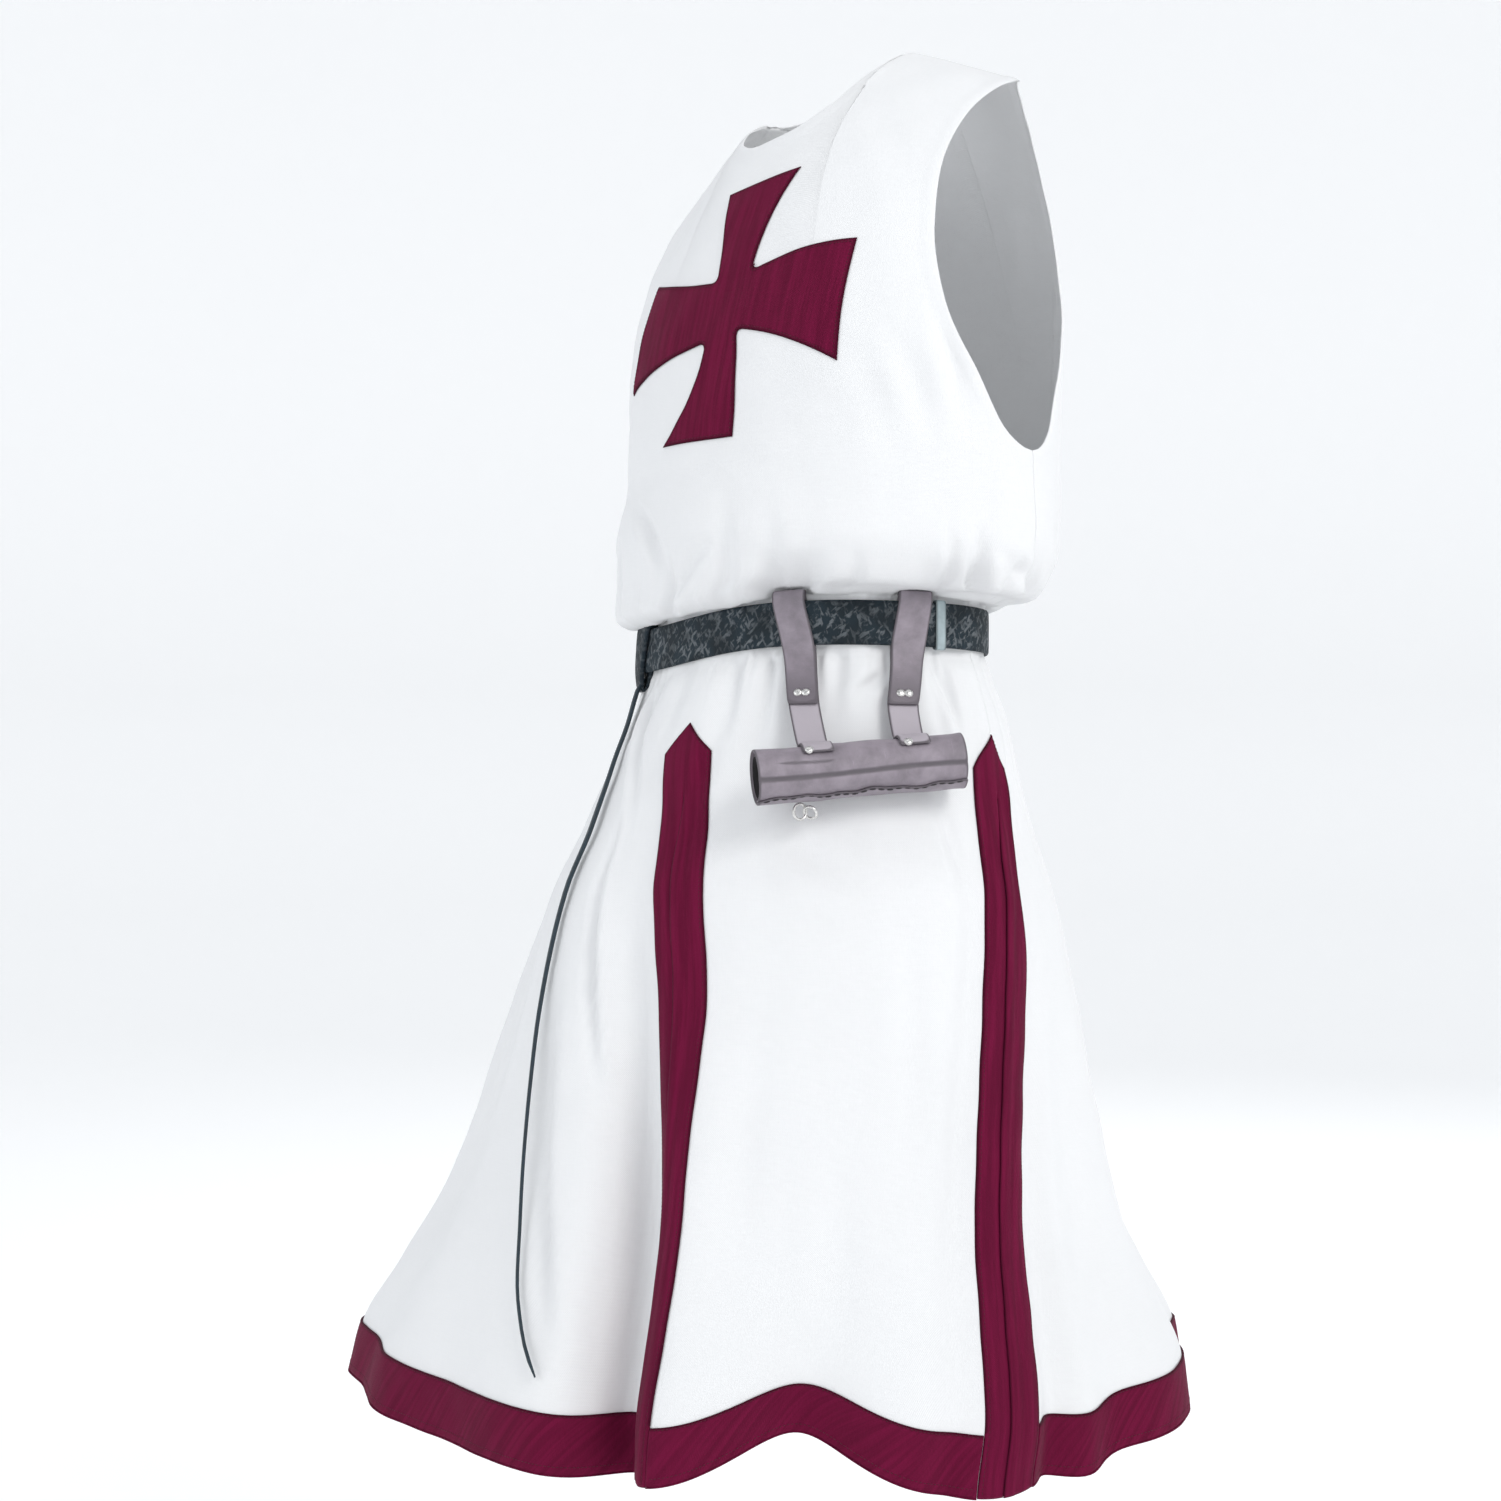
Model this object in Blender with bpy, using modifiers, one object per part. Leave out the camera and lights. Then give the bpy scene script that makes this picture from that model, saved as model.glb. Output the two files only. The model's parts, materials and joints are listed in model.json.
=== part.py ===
"""Knight tunic with its belt: a white sleeveless surcoat with a dark red cross, vents and hem band.

Metres, +Z up. The front faces -Y and the wearer's left is +X. The origin lies between the two
shoulder points beside the neck, where the wearer holds the tunic up. Cloth is a wall that follows
a worn body form: rings from hem to underarm, and a front and back yoke above them. The rings are
worked out upright first, and posed() then gives them the wearer's stance.
"""

import math
from collections import namedtuple

import bpy
import numpy as np
from mathutils import Matrix, Vector

# Driving dimensions

HEM = -1.149
UNDERARM = -0.335
CLOTH_THICKNESS = 0.0016
BAND_THICKNESS = 0.0012
LAY_GAP = 0.0003
SEAM_GAP = 0.0007
SHOULDER_GAP = 0.0013
END_GAP = 0.0012
CLOTH_GAP = 0.0009

VENT_BAND_WIDTH = 0.054
VENT_TIP = -0.552
VENT_TOP = -0.615
VENT_SPREAD = {"front": 0.0050, "left": 0.0030, "right": 0.0040}
HEM_BAND_WIDTH = 0.045

SHOULDER_HALF_WIDTH = 0.208
NECK_HALF_WIDTH = 0.090
SHOULDER_HEIGHT = 0.003
SHOULDER_SLOPE = 0.514
CHEST_SQUARE = 0.35

CROSS_CENTRE = (-0.0035, -0.2015)
CROSS_LEAN = 0.09
CROSS_ROWS = 7
CROSS_COLUMNS = 4

BELT_HEIGHT = -0.475
BELT_WIDTH = 0.038
BELT_THICKNESS = 0.0035
BELT_EDGE = 0.0008
BELT_SEGMENTS = 60
BELT_HALF_WIDTH = 0.1670
BELT_FRONT = 0.1220
BELT_BACK = 0.1180
SAG = 0.0200
SAG_TURN = -52.0
SAG_SPREAD = 55.0
WRAP_TURN = -46.0
WRAP_WIDTH = 0.026
WRAP_THICKNESS = 0.0026
WRAP_SLANT = 0.45
KEEPER_TURN = 74.0
KEEPER_WIDTH = 0.010
KEEPER_THICKNESS = 0.0016
LOOP_SPARE = 0.0004

HANGER_WIDTH = 0.0295
HANGER_TAPER = 0.90
HANGER_THICKNESS = 0.0020
LEAF_GAP = 0.0006
FRONT_LEAF_HEIGHTS = (-0.545, -0.527, -0.509)
BACK_LEAF_HEIGHTS = (-0.508, -0.522, -0.536, -0.546)
TUBE_LAP_ANGLES = (125.0, 105.0, 85.0, 65.0, 45.0)
TUBE_LAP_GAP = 0.0005
TUBE_LENGTH = 0.176
TUBE_RADIUS = 0.0230
TUBE_WALL = 0.0030
TUBE_TURN = 41.0
TUBE_HEIGHT = -0.595
TUBE_RISE = math.radians(4.4)
TUBE_SWING = math.radians(15.0)
TUBE_REST_GAP = 0.0012
RIVET_RADIUS = 0.0038
RIVET_HEIGHT = 0.0014
RING_RADIUS = 0.0065
RING_WIRE = 0.0013
RING_INSET = 0.036

TAIL_TOP_RADIUS = 0.0046
TAIL_END_RADIUS = 0.0028
TAIL_REST_GAP = 0.0012
TAIL_POINTS = 58

# Stance: how far each level leans from upright

# Outline of the cross on the chest: places sideways and up from its centre, as the photograph
# shows them. Looking out along an arm, one side is its left and the other its right.

Arm = namedtuple("Arm", "left_root left_middle left_end right_root right_middle right_end")
ROOT_TOP_LEFT = (-0.0147, 0.0288)
ROOT_TOP_RIGHT = (0.0265, 0.0314)
ROOT_LOW_RIGHT = (0.0234, -0.0172)
ROOT_LOW_LEFT = (-0.0130, -0.0235)
CROSS_ARMS = [
    Arm(ROOT_TOP_LEFT, (-0.0256, 0.0732), (-0.0392, 0.1134), ROOT_TOP_RIGHT, (0.0316, 0.0768), (0.0451, 0.1135)),
    Arm(ROOT_TOP_RIGHT, (0.0669, 0.0386), (0.1257, 0.0393), ROOT_LOW_RIGHT, (0.0766, -0.0319), (0.1301, -0.0585)),
    Arm(ROOT_LOW_RIGHT, (0.0320, -0.0585), (0.0356, -0.1118), ROOT_LOW_LEFT, (-0.0208, -0.0620), (-0.0563, -0.1109)),
    Arm(ROOT_LOW_LEFT, (-0.0544, -0.0300), (-0.1311, -0.0527), ROOT_TOP_LEFT, (-0.0607, 0.0358), (-0.1213, 0.0497)),
]


Stance = namedtuple("Stance", "height shift_x shift_y lift rise twist")
STANCE = [
    Stance(0.030, 0.000, 0.000, 0.25, 0.00, -8.0),
    Stance(-0.100, 0.006, 0.000, 0.18, 0.00, -8.0),
    Stance(-0.200, 0.008, 0.000, 0.09, 0.00, -8.0),
    Stance(-0.335, 0.006, -0.001, 0.05, 0.02, -6.0),
    Stance(-0.390, 0.001, -0.002, -0.02, 0.05, -3.0),
    Stance(-0.430, -0.011, -0.004, -0.06, 0.07, -0.5),
    Stance(-0.450, -0.025, -0.006, 0.02, 0.07, 0.0),
    Stance(-0.500, -0.025, -0.006, 0.02, 0.07, 0.0),
    Stance(-0.600, -0.027, -0.008, 0.02, 0.04, 0.0),
    Stance(-0.800, -0.040, -0.014, 0.00, 0.00, 0.0),
    Stance(-1.149, -0.060, -0.028, 0.00, 0.00, 0.0),
]

# Rings: half width, and depth to front and back, at each level

Ring = namedtuple("Ring", "height half_width front back")
RINGS = [
    Ring(-0.3350, 0.216, 0.162, 0.138),
    Ring(-0.3650, 0.215, 0.165, 0.142),
    Ring(-0.3950, 0.215, 0.168, 0.146),
    Ring(-0.4180, 0.2090, 0.1630, 0.1450),
    Ring(-0.4360, 0.1980, 0.1535, 0.1395),
    Ring(-0.4440, 0.1890, 0.1440, 0.1325),
    Ring(-0.4480, 0.1790, 0.1335, 0.1255),
    Ring(-0.4515, 0.1665, 0.1215, 0.1175),
    Ring(-0.4960, 0.1665, 0.1215, 0.1175),
    Ring(-0.5120, 0.172, 0.128, 0.124),
    Ring(-0.5520, 0.184, 0.144, 0.139),
    Ring(-0.6000, 0.195, 0.159, 0.154),
    Ring(-0.6500, 0.213, 0.178, 0.174),
    Ring(-0.7000, 0.234, 0.203, 0.198),
    Ring(-0.8000, 0.263, 0.234, 0.231),
    Ring(-0.8600, 0.279, 0.251, 0.250),
    Ring(-0.9700, 0.314, 0.285, 0.287),
    Ring(-1.0350, 0.346, 0.315, 0.318),
    Ring(-1.1040, 0.381, 0.349, 0.352),
    Ring(-1.1490, 0.391, 0.359, 0.362),
]

# Where the front centre, the side seams and the back centre lie round each ring, in degrees
# from the front toward the wearer's left

Seams = namedtuple("Seams", "height front left back right")
SEAMS = [
    Seams(-0.335, 0.0, 90.0, 180.0, 270.0),
    Seams(-0.420, -1.0, 91.0, 180.0, 270.0),
    Seams(-0.475, -5.0, 93.0, 180.0, 269.0),
    Seams(-0.552, -6.0, 93.5, 180.0, 268.0),
    Seams(-0.650, 1.5, 87.5, 179.0, 266.0),
    Seams(-0.800, 13.0, 80.0, 178.0, 264.0),
    Seams(-0.970, 18.5, 72.5, 177.0, 262.0),
    Seams(-1.149, 20.0, 66.4, 176.0, 262.0),
]

# Large folds of the skirt. A turn counts seams: 0 front centre, 1 left, 2 back centre, 3 right.
# Depth is outward, so a trough's is negative; reach is the half width.

Fold = namedtuple("Fold", "turn_top turn_hem top full depth_top depth_hem reach_top reach_hem")
FOLDS = [
    Fold(-0.25, -0.038, -0.540, -0.93, -0.008, -0.062, 0.020, 0.035),
    Fold(-0.45, -0.300, -0.750, -1.10, 0.000, -0.028, 0.050, 0.110),
    Fold(-0.60, -0.520, -0.560, -1.00, -0.006, -0.016, 0.018, 0.055),
    Fold(-0.85, -0.800, -0.600, -1.05, -0.005, -0.020, 0.020, 0.060),
    Fold(0.44, 0.440, -0.880, -1.14, -0.001, -0.055, 0.040, 0.058),
    Fold(0.20, 0.160, -0.700, -1.00, 0.003, 0.007, 0.020, 0.030),
    Fold(0.90, 0.830, -0.560, -0.80, -0.008, -0.010, 0.012, 0.020),
    Fold(1.13, 1.090, -0.600, -0.95, -0.006, -0.032, 0.014, 0.030),
    Fold(1.22, 1.200, -0.600, -1.00, -0.007, -0.024, 0.018, 0.045),
    Fold(1.55, 1.500, -0.560, -1.00, -0.006, -0.022, 0.020, 0.060),
    Fold(1.85, 1.800, -0.600, -1.05, -0.005, -0.020, 0.018, 0.055),
    Fold(2.18, 2.200, -0.560, -1.00, -0.007, -0.024, 0.020, 0.060),
    Fold(2.55, 2.520, -0.600, -1.05, -0.005, -0.020, 0.018, 0.055),
    Fold(2.86, 2.850, -0.560, -1.00, -0.006, -0.020, 0.018, 0.050),
]

# Where the hem swings up or down, by turn, rise and half width

FOLD_OVER = 0.015
FOLD_OVER_RISE = 0.008
FOLD_OVER_TOP = -0.740
FOLD_OVER_FULL = -0.930
FOLD_OVER_REACH = 0.200

HEM_SWING_TOP = -0.980
Swing = namedtuple("Swing", "turn rise reach")
HEM_SWINGS = [
    Swing(0.42, 0.036, 0.060),
    Swing(0.95, -0.012, 0.060),
    Swing(1.55, 0.020, 0.160),
    Swing(2.60, 0.008, 0.140),
    Swing(-0.05, -0.006, 0.050),
    Swing(-0.58, 0.011, 0.130),
    Swing(1.14, -0.012, 0.045),
]

# Gathers that the belt draws in, and the places where a strap presses the cloth behind the belt

GATHER_COUNT = 26
GATHER_DEPTH = 0.0065
GATHER_DEPTH_AT_BELT = 0.0022
GATHER_REACH = 0.010
GATHER_LENGTH_ABOVE = 0.042
GATHER_LENGTH_BELOW = 0.085
SEAM_CALM = 0.022
STRAP_PRESS = 0.0040
STRAP_PRESS_REACH = 0.030

Hanger = namedtuple("Hanger", "name turn drift rivet_aside")
HANGERS = [
    Hanger("left", 22.0, 0.029, -0.008),
    Hanger("right", 64.0, -0.0200, -0.006),
]

# Lattice of the panels: levels below the underarm, steps above it, and columns in each quarter

LEVELS = [
    -1.149, -1.1265, -1.104, -1.060, -1.010, -0.955, -0.900, -0.850, -0.800, -0.750, -0.700,
    -0.655, -0.615, -0.580, -0.566, -0.552, -0.532, -0.512, -0.496, -0.475, -0.4515, -0.448,
    -0.444, -0.435, -0.418, -0.395, -0.365, -0.335,
]
YOKE_SHARES = [0.04, 0.14, 0.27, 0.41, 0.55, 0.69, 0.82, 0.94, 1.0]
VENT_COLUMNS = 2

Quarter = namedtuple("Quarter", "start end columns close_start close_end")
FRONT_QUARTERS = [
    Quarter("right", "front", 21, 0, 5),
    Quarter("front", "left", 19, 0, 0),
]
BACK_QUARTERS = [
    Quarter("left", "back", 19, 3, 0),
    Quarter("back", "right", 17, 0, 0),
]
CLOSE_COLUMN = 0.015

# Armhole: half width of the yoke at each part of the way from underarm to shoulder

Armhole = namedtuple("Armhole", "height half_width")
ARMHOLE = [
    Armhole(0.00, 0.216),
    Armhole(0.04, 0.212),
    Armhole(0.14, 0.205),
    Armhole(0.27, 0.192),
    Armhole(0.41, 0.180),
    Armhole(0.55, 0.176),
    Armhole(0.69, 0.182),
    Armhole(0.82, 0.192),
    Armhole(0.94, 0.203),
    Armhole(1.00, SHOULDER_HALF_WIDTH),
]

Yoke = namedtuple("Yoke", "side depth round neck_angle")
FRONT_YOKE = Yoke(-1.0, RINGS[0].front, 1.30, 53.0)
BACK_YOKE = Yoke(1.0, RINGS[0].back, 1.05, 70.0)

# Route of the tail over the skirt: height and degrees round the ring

TailPoint = namedtuple("TailPoint", "height turn")
TAIL = [
    TailPoint(-0.5000, -48.0),
    TailPoint(-0.560, -41.5),
    TailPoint(-0.630, -35.0),
    TailPoint(-0.700, -30.0),
    TailPoint(-0.780, -24.5),
    TailPoint(-0.870, -18.0),
    TailPoint(-0.950, -12.5),
    TailPoint(-1.010, -7.0),
    TailPoint(-1.050, -1.5),
    TailPoint(-1.078, 3.5),
]


def eased(table, name, height):
    """One named column of a table at a height, as a monotone cubic through its rows."""
    rows = sorted(table, key=lambda row: row.height)
    x = np.array([row.height for row in rows])
    y = np.array([getattr(row, name) for row in rows])
    gap = np.diff(x)
    slope = np.diff(y) / gap
    tangent = np.zeros_like(y)
    tangent[0], tangent[-1] = slope[0], slope[-1]
    product = slope[:-1] * slope[1:]
    total = np.where(product > 0, slope[:-1] + slope[1:], 1.0)
    tangent[1:-1] = np.where(product > 0, 2.0 * product / total, 0.0)
    height = np.clip(height, x[0], x[-1])
    i = np.clip(np.searchsorted(x, height, side="right") - 1, 0, len(gap) - 1)
    t = (height - x[i]) / gap[i]
    return (
        y[i] * (1 + 2 * t) * (1 - t) ** 2
        + tangent[i] * gap[i] * t * (1 - t) ** 2
        + y[i + 1] * t * t * (3 - 2 * t)
        - tangent[i + 1] * gap[i] * t * t * (1 - t)
    )


def smoothstep(low, high, value):
    """0 below low, 1 above high, with a soft change between."""
    t = np.clip((value - low) / (high - low), 0.0, 1.0)
    return t * t * (3.0 - 2.0 * t)


def posed(points):
    """Upright points given the wearer's stance."""
    points = np.asarray(points, dtype=float)
    x, y, z = points[..., 0], points[..., 1], points[..., 2]
    lift = eased(STANCE, "lift", z)
    rise = eased(STANCE, "rise", z)
    sag = belt_sag(x, y, z)
    twist = np.radians(eased(STANCE, "twist", z))
    x, y = x * np.cos(twist) - y * np.sin(twist), x * np.sin(twist) + y * np.cos(twist)
    return np.stack([
        x + eased(STANCE, "shift_x", z),
        y + eased(STANCE, "shift_y", z),
        z + lift * x - rise * y - sag,
    ], axis=-1)


def belt_sag(x, y, height):
    """How far belt and cloth sink at the wearer's right front, under the knot and the tail."""
    turn = np.degrees(np.arctan2(x, -y))
    near = np.exp(-(((turn - SAG_TURN) / SAG_SPREAD) ** 2))
    return SAG * near * smoothstep(-0.640, -0.520, height) * (1.0 - smoothstep(-0.440, -0.370, height))


def ring_axes(turn, height):
    """Half width and depth of the ring on the side that a turn, in radians, lies on."""
    front = np.cos(turn) > 0
    depth = np.where(front, eased(RINGS, "front", height), eased(RINGS, "back", height))
    return eased(RINGS, "half_width", height), depth


def ring_arcs(height):
    """Arc length round the ring at a height, from the front, as a table over one turn."""
    turns = np.linspace(-math.pi, 3.0 * math.pi, 1441)
    width, depth = ring_axes(turns, height)
    points = np.stack([width * np.sin(turns), -depth * np.cos(turns)], axis=-1)
    steps = np.linalg.norm(np.diff(points, axis=0), axis=1)
    return turns, np.concatenate([[0.0], np.cumsum(steps)])


def seam_turn(name, height):
    """Turn of a seam, in radians."""
    return np.radians(eased(SEAMS, name, height))


def turn_at(seams_passed, height):
    """Turn in radians of a place counted in seams: 0 front, 1 left, 2 back, 3 right."""
    whole = math.floor(seams_passed / 4.0) * 4.0
    stations = [seam_turn(name, height) for name in ("front", "left", "back", "right")]
    stations.append(stations[0] + 2.0 * math.pi)
    spread = np.interp(seams_passed - whole, [0, 1, 2, 3, 4], np.array(stations, dtype=float))
    return spread + whole * math.pi / 2.0


def arc_between(turns, centre, table):
    """Signed arc length from a centre to each turn, the short way round."""
    angles, arcs = table
    total = np.interp(3.0 * math.pi, angles, arcs) - np.interp(math.pi, angles, arcs)
    there = np.interp(np.mod(turns, 2.0 * math.pi), angles, arcs)
    here = np.interp(np.mod(centre, 2.0 * math.pi), angles, arcs)
    return np.mod(there - here + total / 2.0, total) - total / 2.0


def bump(arc, reach):
    """Soft rise and fall across a fold of the given half width."""
    return np.exp(-((arc / reach) ** 2))


def skirt_folds(turns, height, table):
    """Outward shift from the large folds."""
    shift = np.zeros_like(turns)
    if height > VENT_TIP + 0.03:
        return shift
    for fold in FOLDS:
        down = np.clip((fold.top - height) / (fold.top - HEM), 0.0, 1.0)
        grown = smoothstep(fold.top, fold.full, height)
        depth = (fold.depth_top + (fold.depth_hem - fold.depth_top) * down) * grown
        reach = fold.reach_top + (fold.reach_hem - fold.reach_top) * down
        centre = turn_at(fold.turn_top + (fold.turn_hem - fold.turn_top) * down ** 0.4, height)
        shift += depth * bump(arc_between(turns, centre, table), reach)
    return shift


def gather_shift(turns, height, table):
    """Inward troughs of the gathers above and below the belt, each of its own depth and length."""
    shift = np.zeros_like(turns)
    above = height > BELT_HEIGHT
    away = max(abs(height - BELT_HEIGHT) - BELT_WIDTH / 2.0, 0.0)
    for k in range(GATHER_COUNT):
        vary = math.sin(2.4 * k + 0.7)
        other = math.sin(5.1 * k + 1.9)
        length = (GATHER_LENGTH_ABOVE if above else GATHER_LENGTH_BELOW) * (1.0 + 0.4 * other)
        free = GATHER_DEPTH * (1.0 + 0.45 * vary) * smoothstep(0.0, 0.014, away)
        fade = math.exp(-((away / length) ** 2))
        depth = (GATHER_DEPTH_AT_BELT + free) * fade
        centre = 2.0 * math.pi * (k + 0.28 * other) / GATHER_COUNT
        shift -= depth * bump(arc_between(turns, centre, table), GATHER_REACH)
    for seam in ("left", "right"):
        shift *= 1.0 - bump(arc_between(turns, seam_turn(seam, height), table), SEAM_CALM)
    return shift


def strap_press(turns, height, table):
    """Inward shift where a strap runs behind the belt."""
    shift = np.zeros_like(turns)
    away = max(abs(height - BELT_HEIGHT) - BELT_WIDTH / 2.0, 0.0)
    fade = math.exp(-((away / 0.02) ** 2))
    for turn in [hanger.turn for hanger in HANGERS] + [WRAP_TURN, KEEPER_TURN]:
        arc = np.abs(arc_between(turns, math.radians(turn), table))
        plateau = 1.0 - smoothstep(STRAP_PRESS_REACH * 0.8, STRAP_PRESS_REACH * 1.5, arc)
        shift = np.minimum(shift, -STRAP_PRESS * fade * plateau)
    return shift


def vent_fold(turns, height, table):
    """The fold that the front's left half makes over the front vent: turn and outward shift."""
    arc = arc_between(turns, seam_turn("front", height), table)
    grown = smoothstep(FOLD_OVER_TOP, FOLD_OVER_FULL, height)
    side = VENT_BAND_WIDTH / 2.0
    over = smoothstep(-side, side, arc) * (1.0 - smoothstep(1.5 * side, FOLD_OVER_REACH, arc))
    width, depth = ring_axes(turns, height)
    stretch = np.hypot(width * np.cos(turns), depth * np.sin(turns))
    return -FOLD_OVER * grown * over / stretch, FOLD_OVER_RISE * grown * bump(arc - side, side)


def ring_points(turns, height, out=0.0):
    """Upright points on the cloth's outer side at a height below the underarm."""
    turns = np.asarray(turns, dtype=float)
    width, depth = ring_axes(turns, height)
    table = ring_arcs(height)
    shift = skirt_folds(turns, height, table)
    if height < UNDERARM - 0.01:
        gathers = gather_shift(turns, height, table)
        shift = shift + np.minimum(gathers, strap_press(turns, height, table))
    hem = hem_rise(turns, height, table)
    across, rise = vent_fold(turns, height, table)
    shift = shift + rise
    turns = turns + across
    width, depth = ring_axes(turns, height)
    normal = np.stack([depth * np.sin(turns), -width * np.cos(turns)], axis=-1)
    normal /= np.linalg.norm(normal, axis=-1, keepdims=True)
    flat = np.stack([width * np.sin(turns), -depth * np.cos(turns)], axis=-1)
    flat = flat + normal * (shift + out)[..., None]
    risen = height + hem
    return np.concatenate([flat, risen[..., None]], axis=-1)


def hem_rise(turns, height, table):
    """Upward and downward swings of the hem."""
    rise = np.zeros_like(turns)
    grown = smoothstep(HEM_SWING_TOP, HEM, height)
    for swing in HEM_SWINGS:
        arc = arc_between(turns, turn_at(swing.turn, height), table)
        rise += swing.rise * grown * bump(arc, swing.reach)
    return rise


def quarter_turns(quarter, height):
    """Turn of each column of a quarter at a height, with vent columns at fixed distances."""
    start = seam_turn(quarter.start, height)
    end = seam_turn(quarter.end, height)
    if end < start:
        start -= 2.0 * math.pi
    angles, arcs = ring_arcs(height)
    first, last = np.interp([start, end], angles, arcs)
    count = quarter.columns
    even = np.linspace(first, last, count + 1)
    step = VENT_BAND_WIDTH / 2.0 / VENT_COLUMNS
    near_start = VENT_COLUMNS if quarter.start != "back" else 0
    near_end = VENT_COLUMNS if quarter.end != "back" else 0
    ahead = [step] * near_start + [CLOSE_COLUMN] * quarter.close_start
    behind = [CLOSE_COLUMN] * quarter.close_end + [step] * near_end
    free = count - len(ahead) - len(behind)
    rest = (last - first - sum(ahead) - sum(behind)) / free
    steps = ahead + [rest] * free + behind
    placed = first + np.concatenate([[0.0], np.cumsum(steps)])
    share = 1.0 - smoothstep(VENT_TIP, BELT_HEIGHT, height)
    return np.interp(even + (placed - even) * share, arcs, angles)


def vent_gap(seam, height):
    """Distance between the two edges of the cloth at a seam."""
    return SEAM_GAP + (VENT_SPREAD[seam] - SEAM_GAP) * smoothstep(VENT_TOP, HEM, height)


def shoulder_top(x):
    """Height of the shoulder line, carried on smoothly over the neck."""
    x = np.abs(x)
    bend = SHOULDER_SLOPE / (2.0 * NECK_HALF_WIDTH)
    over_neck = SHOULDER_HEIGHT + bend * (NECK_HALF_WIDTH ** 2 - x * x)
    along = SHOULDER_HEIGHT - SHOULDER_SLOPE * (x - NECK_HALF_WIDTH)
    return np.where(x < NECK_HALF_WIDTH, over_neck, along)


def yoke_depth(yoke, x, angle):
    """Distance of the yoke from the shoulder line's plane, at a sideways place and an angle."""
    power = 2.0 + CHEST_SQUARE * smoothstep(0.0, 1.0, 2.0 * angle)
    across = np.clip(1.0 - np.abs(x / RINGS[0].half_width) ** power, 0.0, 1.0) ** (1.0 / power)
    return yoke.depth * across * np.clip(np.cos(angle), 0.0, 1.0) ** yoke.round


def yoke_point(yoke, x, angle):
    """Upright point of the yoke: the angle runs from 0 at the underarm to 90 on the shoulder."""
    height = UNDERARM + (shoulder_top(x) - UNDERARM) * np.sin(angle)
    depth = yoke_depth(yoke, x, angle) + SHOULDER_GAP / 2.0
    return np.stack([x, yoke.side * depth, height], axis=-1)


def shoulder_places(count, neck_share):
    """Column places from the centre to the shoulder's end, closer together toward the neck's side."""
    neck = round(neck_share * count)
    under_neck = neck_share * np.sin(np.linspace(0.0, math.pi / 2.0, neck + 1))
    return np.concatenate([under_neck, np.linspace(neck_share, 1.0, count - neck + 1)[1:]])


def yoke_row(yoke, quarters, share):
    """Points of one yoke row, a share of the way from underarm to neck and shoulder."""
    before, after = quarters[0].columns, quarters[1].columns
    neck_share = NECK_HALF_WIDTH / SHOULDER_HALF_WIDTH
    even = np.concatenate([np.linspace(-1.0, 0.0, before + 1), np.linspace(0.0, 1.0, after + 1)[1:]])
    to_right = -shoulder_places(before, neck_share)[::-1]
    place = np.concatenate([to_right, shoulder_places(after, neck_share)[1:]])
    spread = smoothstep(0.0, 0.6, share)
    across = (1.0 - spread) * np.sin(even * math.pi / 2.0) + spread * place
    x = across * eased(ARMHOLE, "half_width", share) * -yoke.side
    inside = np.clip(np.abs(place) / neck_share, 0.0, 1.0)
    dip = (90.0 - yoke.neck_angle) * np.sqrt(1.0 - inside ** 2.4)
    angle = np.radians(share * (90.0 - dip))
    return yoke_point(yoke, x, angle)


def panel_lattice(quarters, yoke):
    """Posed points of a panel: rows from hem to shoulder, columns from seam to seam."""
    rows = []
    for height in LEVELS:
        turns = np.concatenate([quarter_turns(quarters[0], height), quarter_turns(quarters[1], height)[1:]])
        rows.append(ring_points(turns, height))
    for share in YOKE_SHARES:
        rows.append(yoke_row(yoke, quarters, share))
    return posed(np.array(rows))


def outward(lattice):
    """Outward unit normals of a lattice of posed points."""
    along = np.gradient(lattice, axis=1)
    up = np.gradient(lattice, axis=0)
    normal = np.cross(along, up)
    return normal / np.linalg.norm(normal, axis=-1, keepdims=True)


def raised(lattice, distance):
    """A lattice moved out along its normals."""
    return lattice + outward(lattice) * distance


def level_index(height):
    """Row of the lattice at a named height."""
    return LEVELS.index(height)


def front_lattice():
    """Front panel's points, columns from the right seam over the front centre to the left seam."""
    return panel_lattice(FRONT_QUARTERS, FRONT_YOKE)


def back_lattice():
    """Back panel's points, columns from the left seam over the back centre to the right seam."""
    return panel_lattice(BACK_QUARTERS, BACK_YOKE)


# Mesh building

PART = None


def material(name, colour, roughness, metallic=0.0):
    """A Principled material."""
    made = bpy.data.materials.new(name)
    made.use_nodes = True
    shader = made.node_tree.nodes["Principled BSDF"]
    shader.inputs["Base Color"].default_value = (*colour, 1.0)
    shader.inputs["Roughness"].default_value = roughness
    shader.inputs["Metallic"].default_value = metallic
    made.diffuse_color = (*colour, 1.0)
    return made


def add_object(name, data, skin):
    """A named object in the part's collection."""
    made = bpy.data.objects.new(name, data)
    made.data.materials.append(skin)
    PART.objects.link(made)
    return made


def adopted(name, skin):
    """Names the primitive just added, gives it its material and moves it into the collection."""
    made = bpy.context.object
    made.name = made.data.name = name
    made.data.materials.append(skin)
    for holder in list(made.users_collection):
        holder.objects.unlink(made)
    PART.objects.link(made)
    return made


def surface_object(name, points, faces, skin, thickness):
    """An open surface given a wall on its inner side."""
    mesh = bpy.data.meshes.new(name)
    mesh.from_pydata([tuple(point) for point in points], [], faces)
    mesh.validate()
    made = add_object(name, mesh, skin)
    wall = made.modifiers.new("Wall", "SOLIDIFY")
    wall.thickness = thickness
    wall.offset = -1.0
    return made


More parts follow.
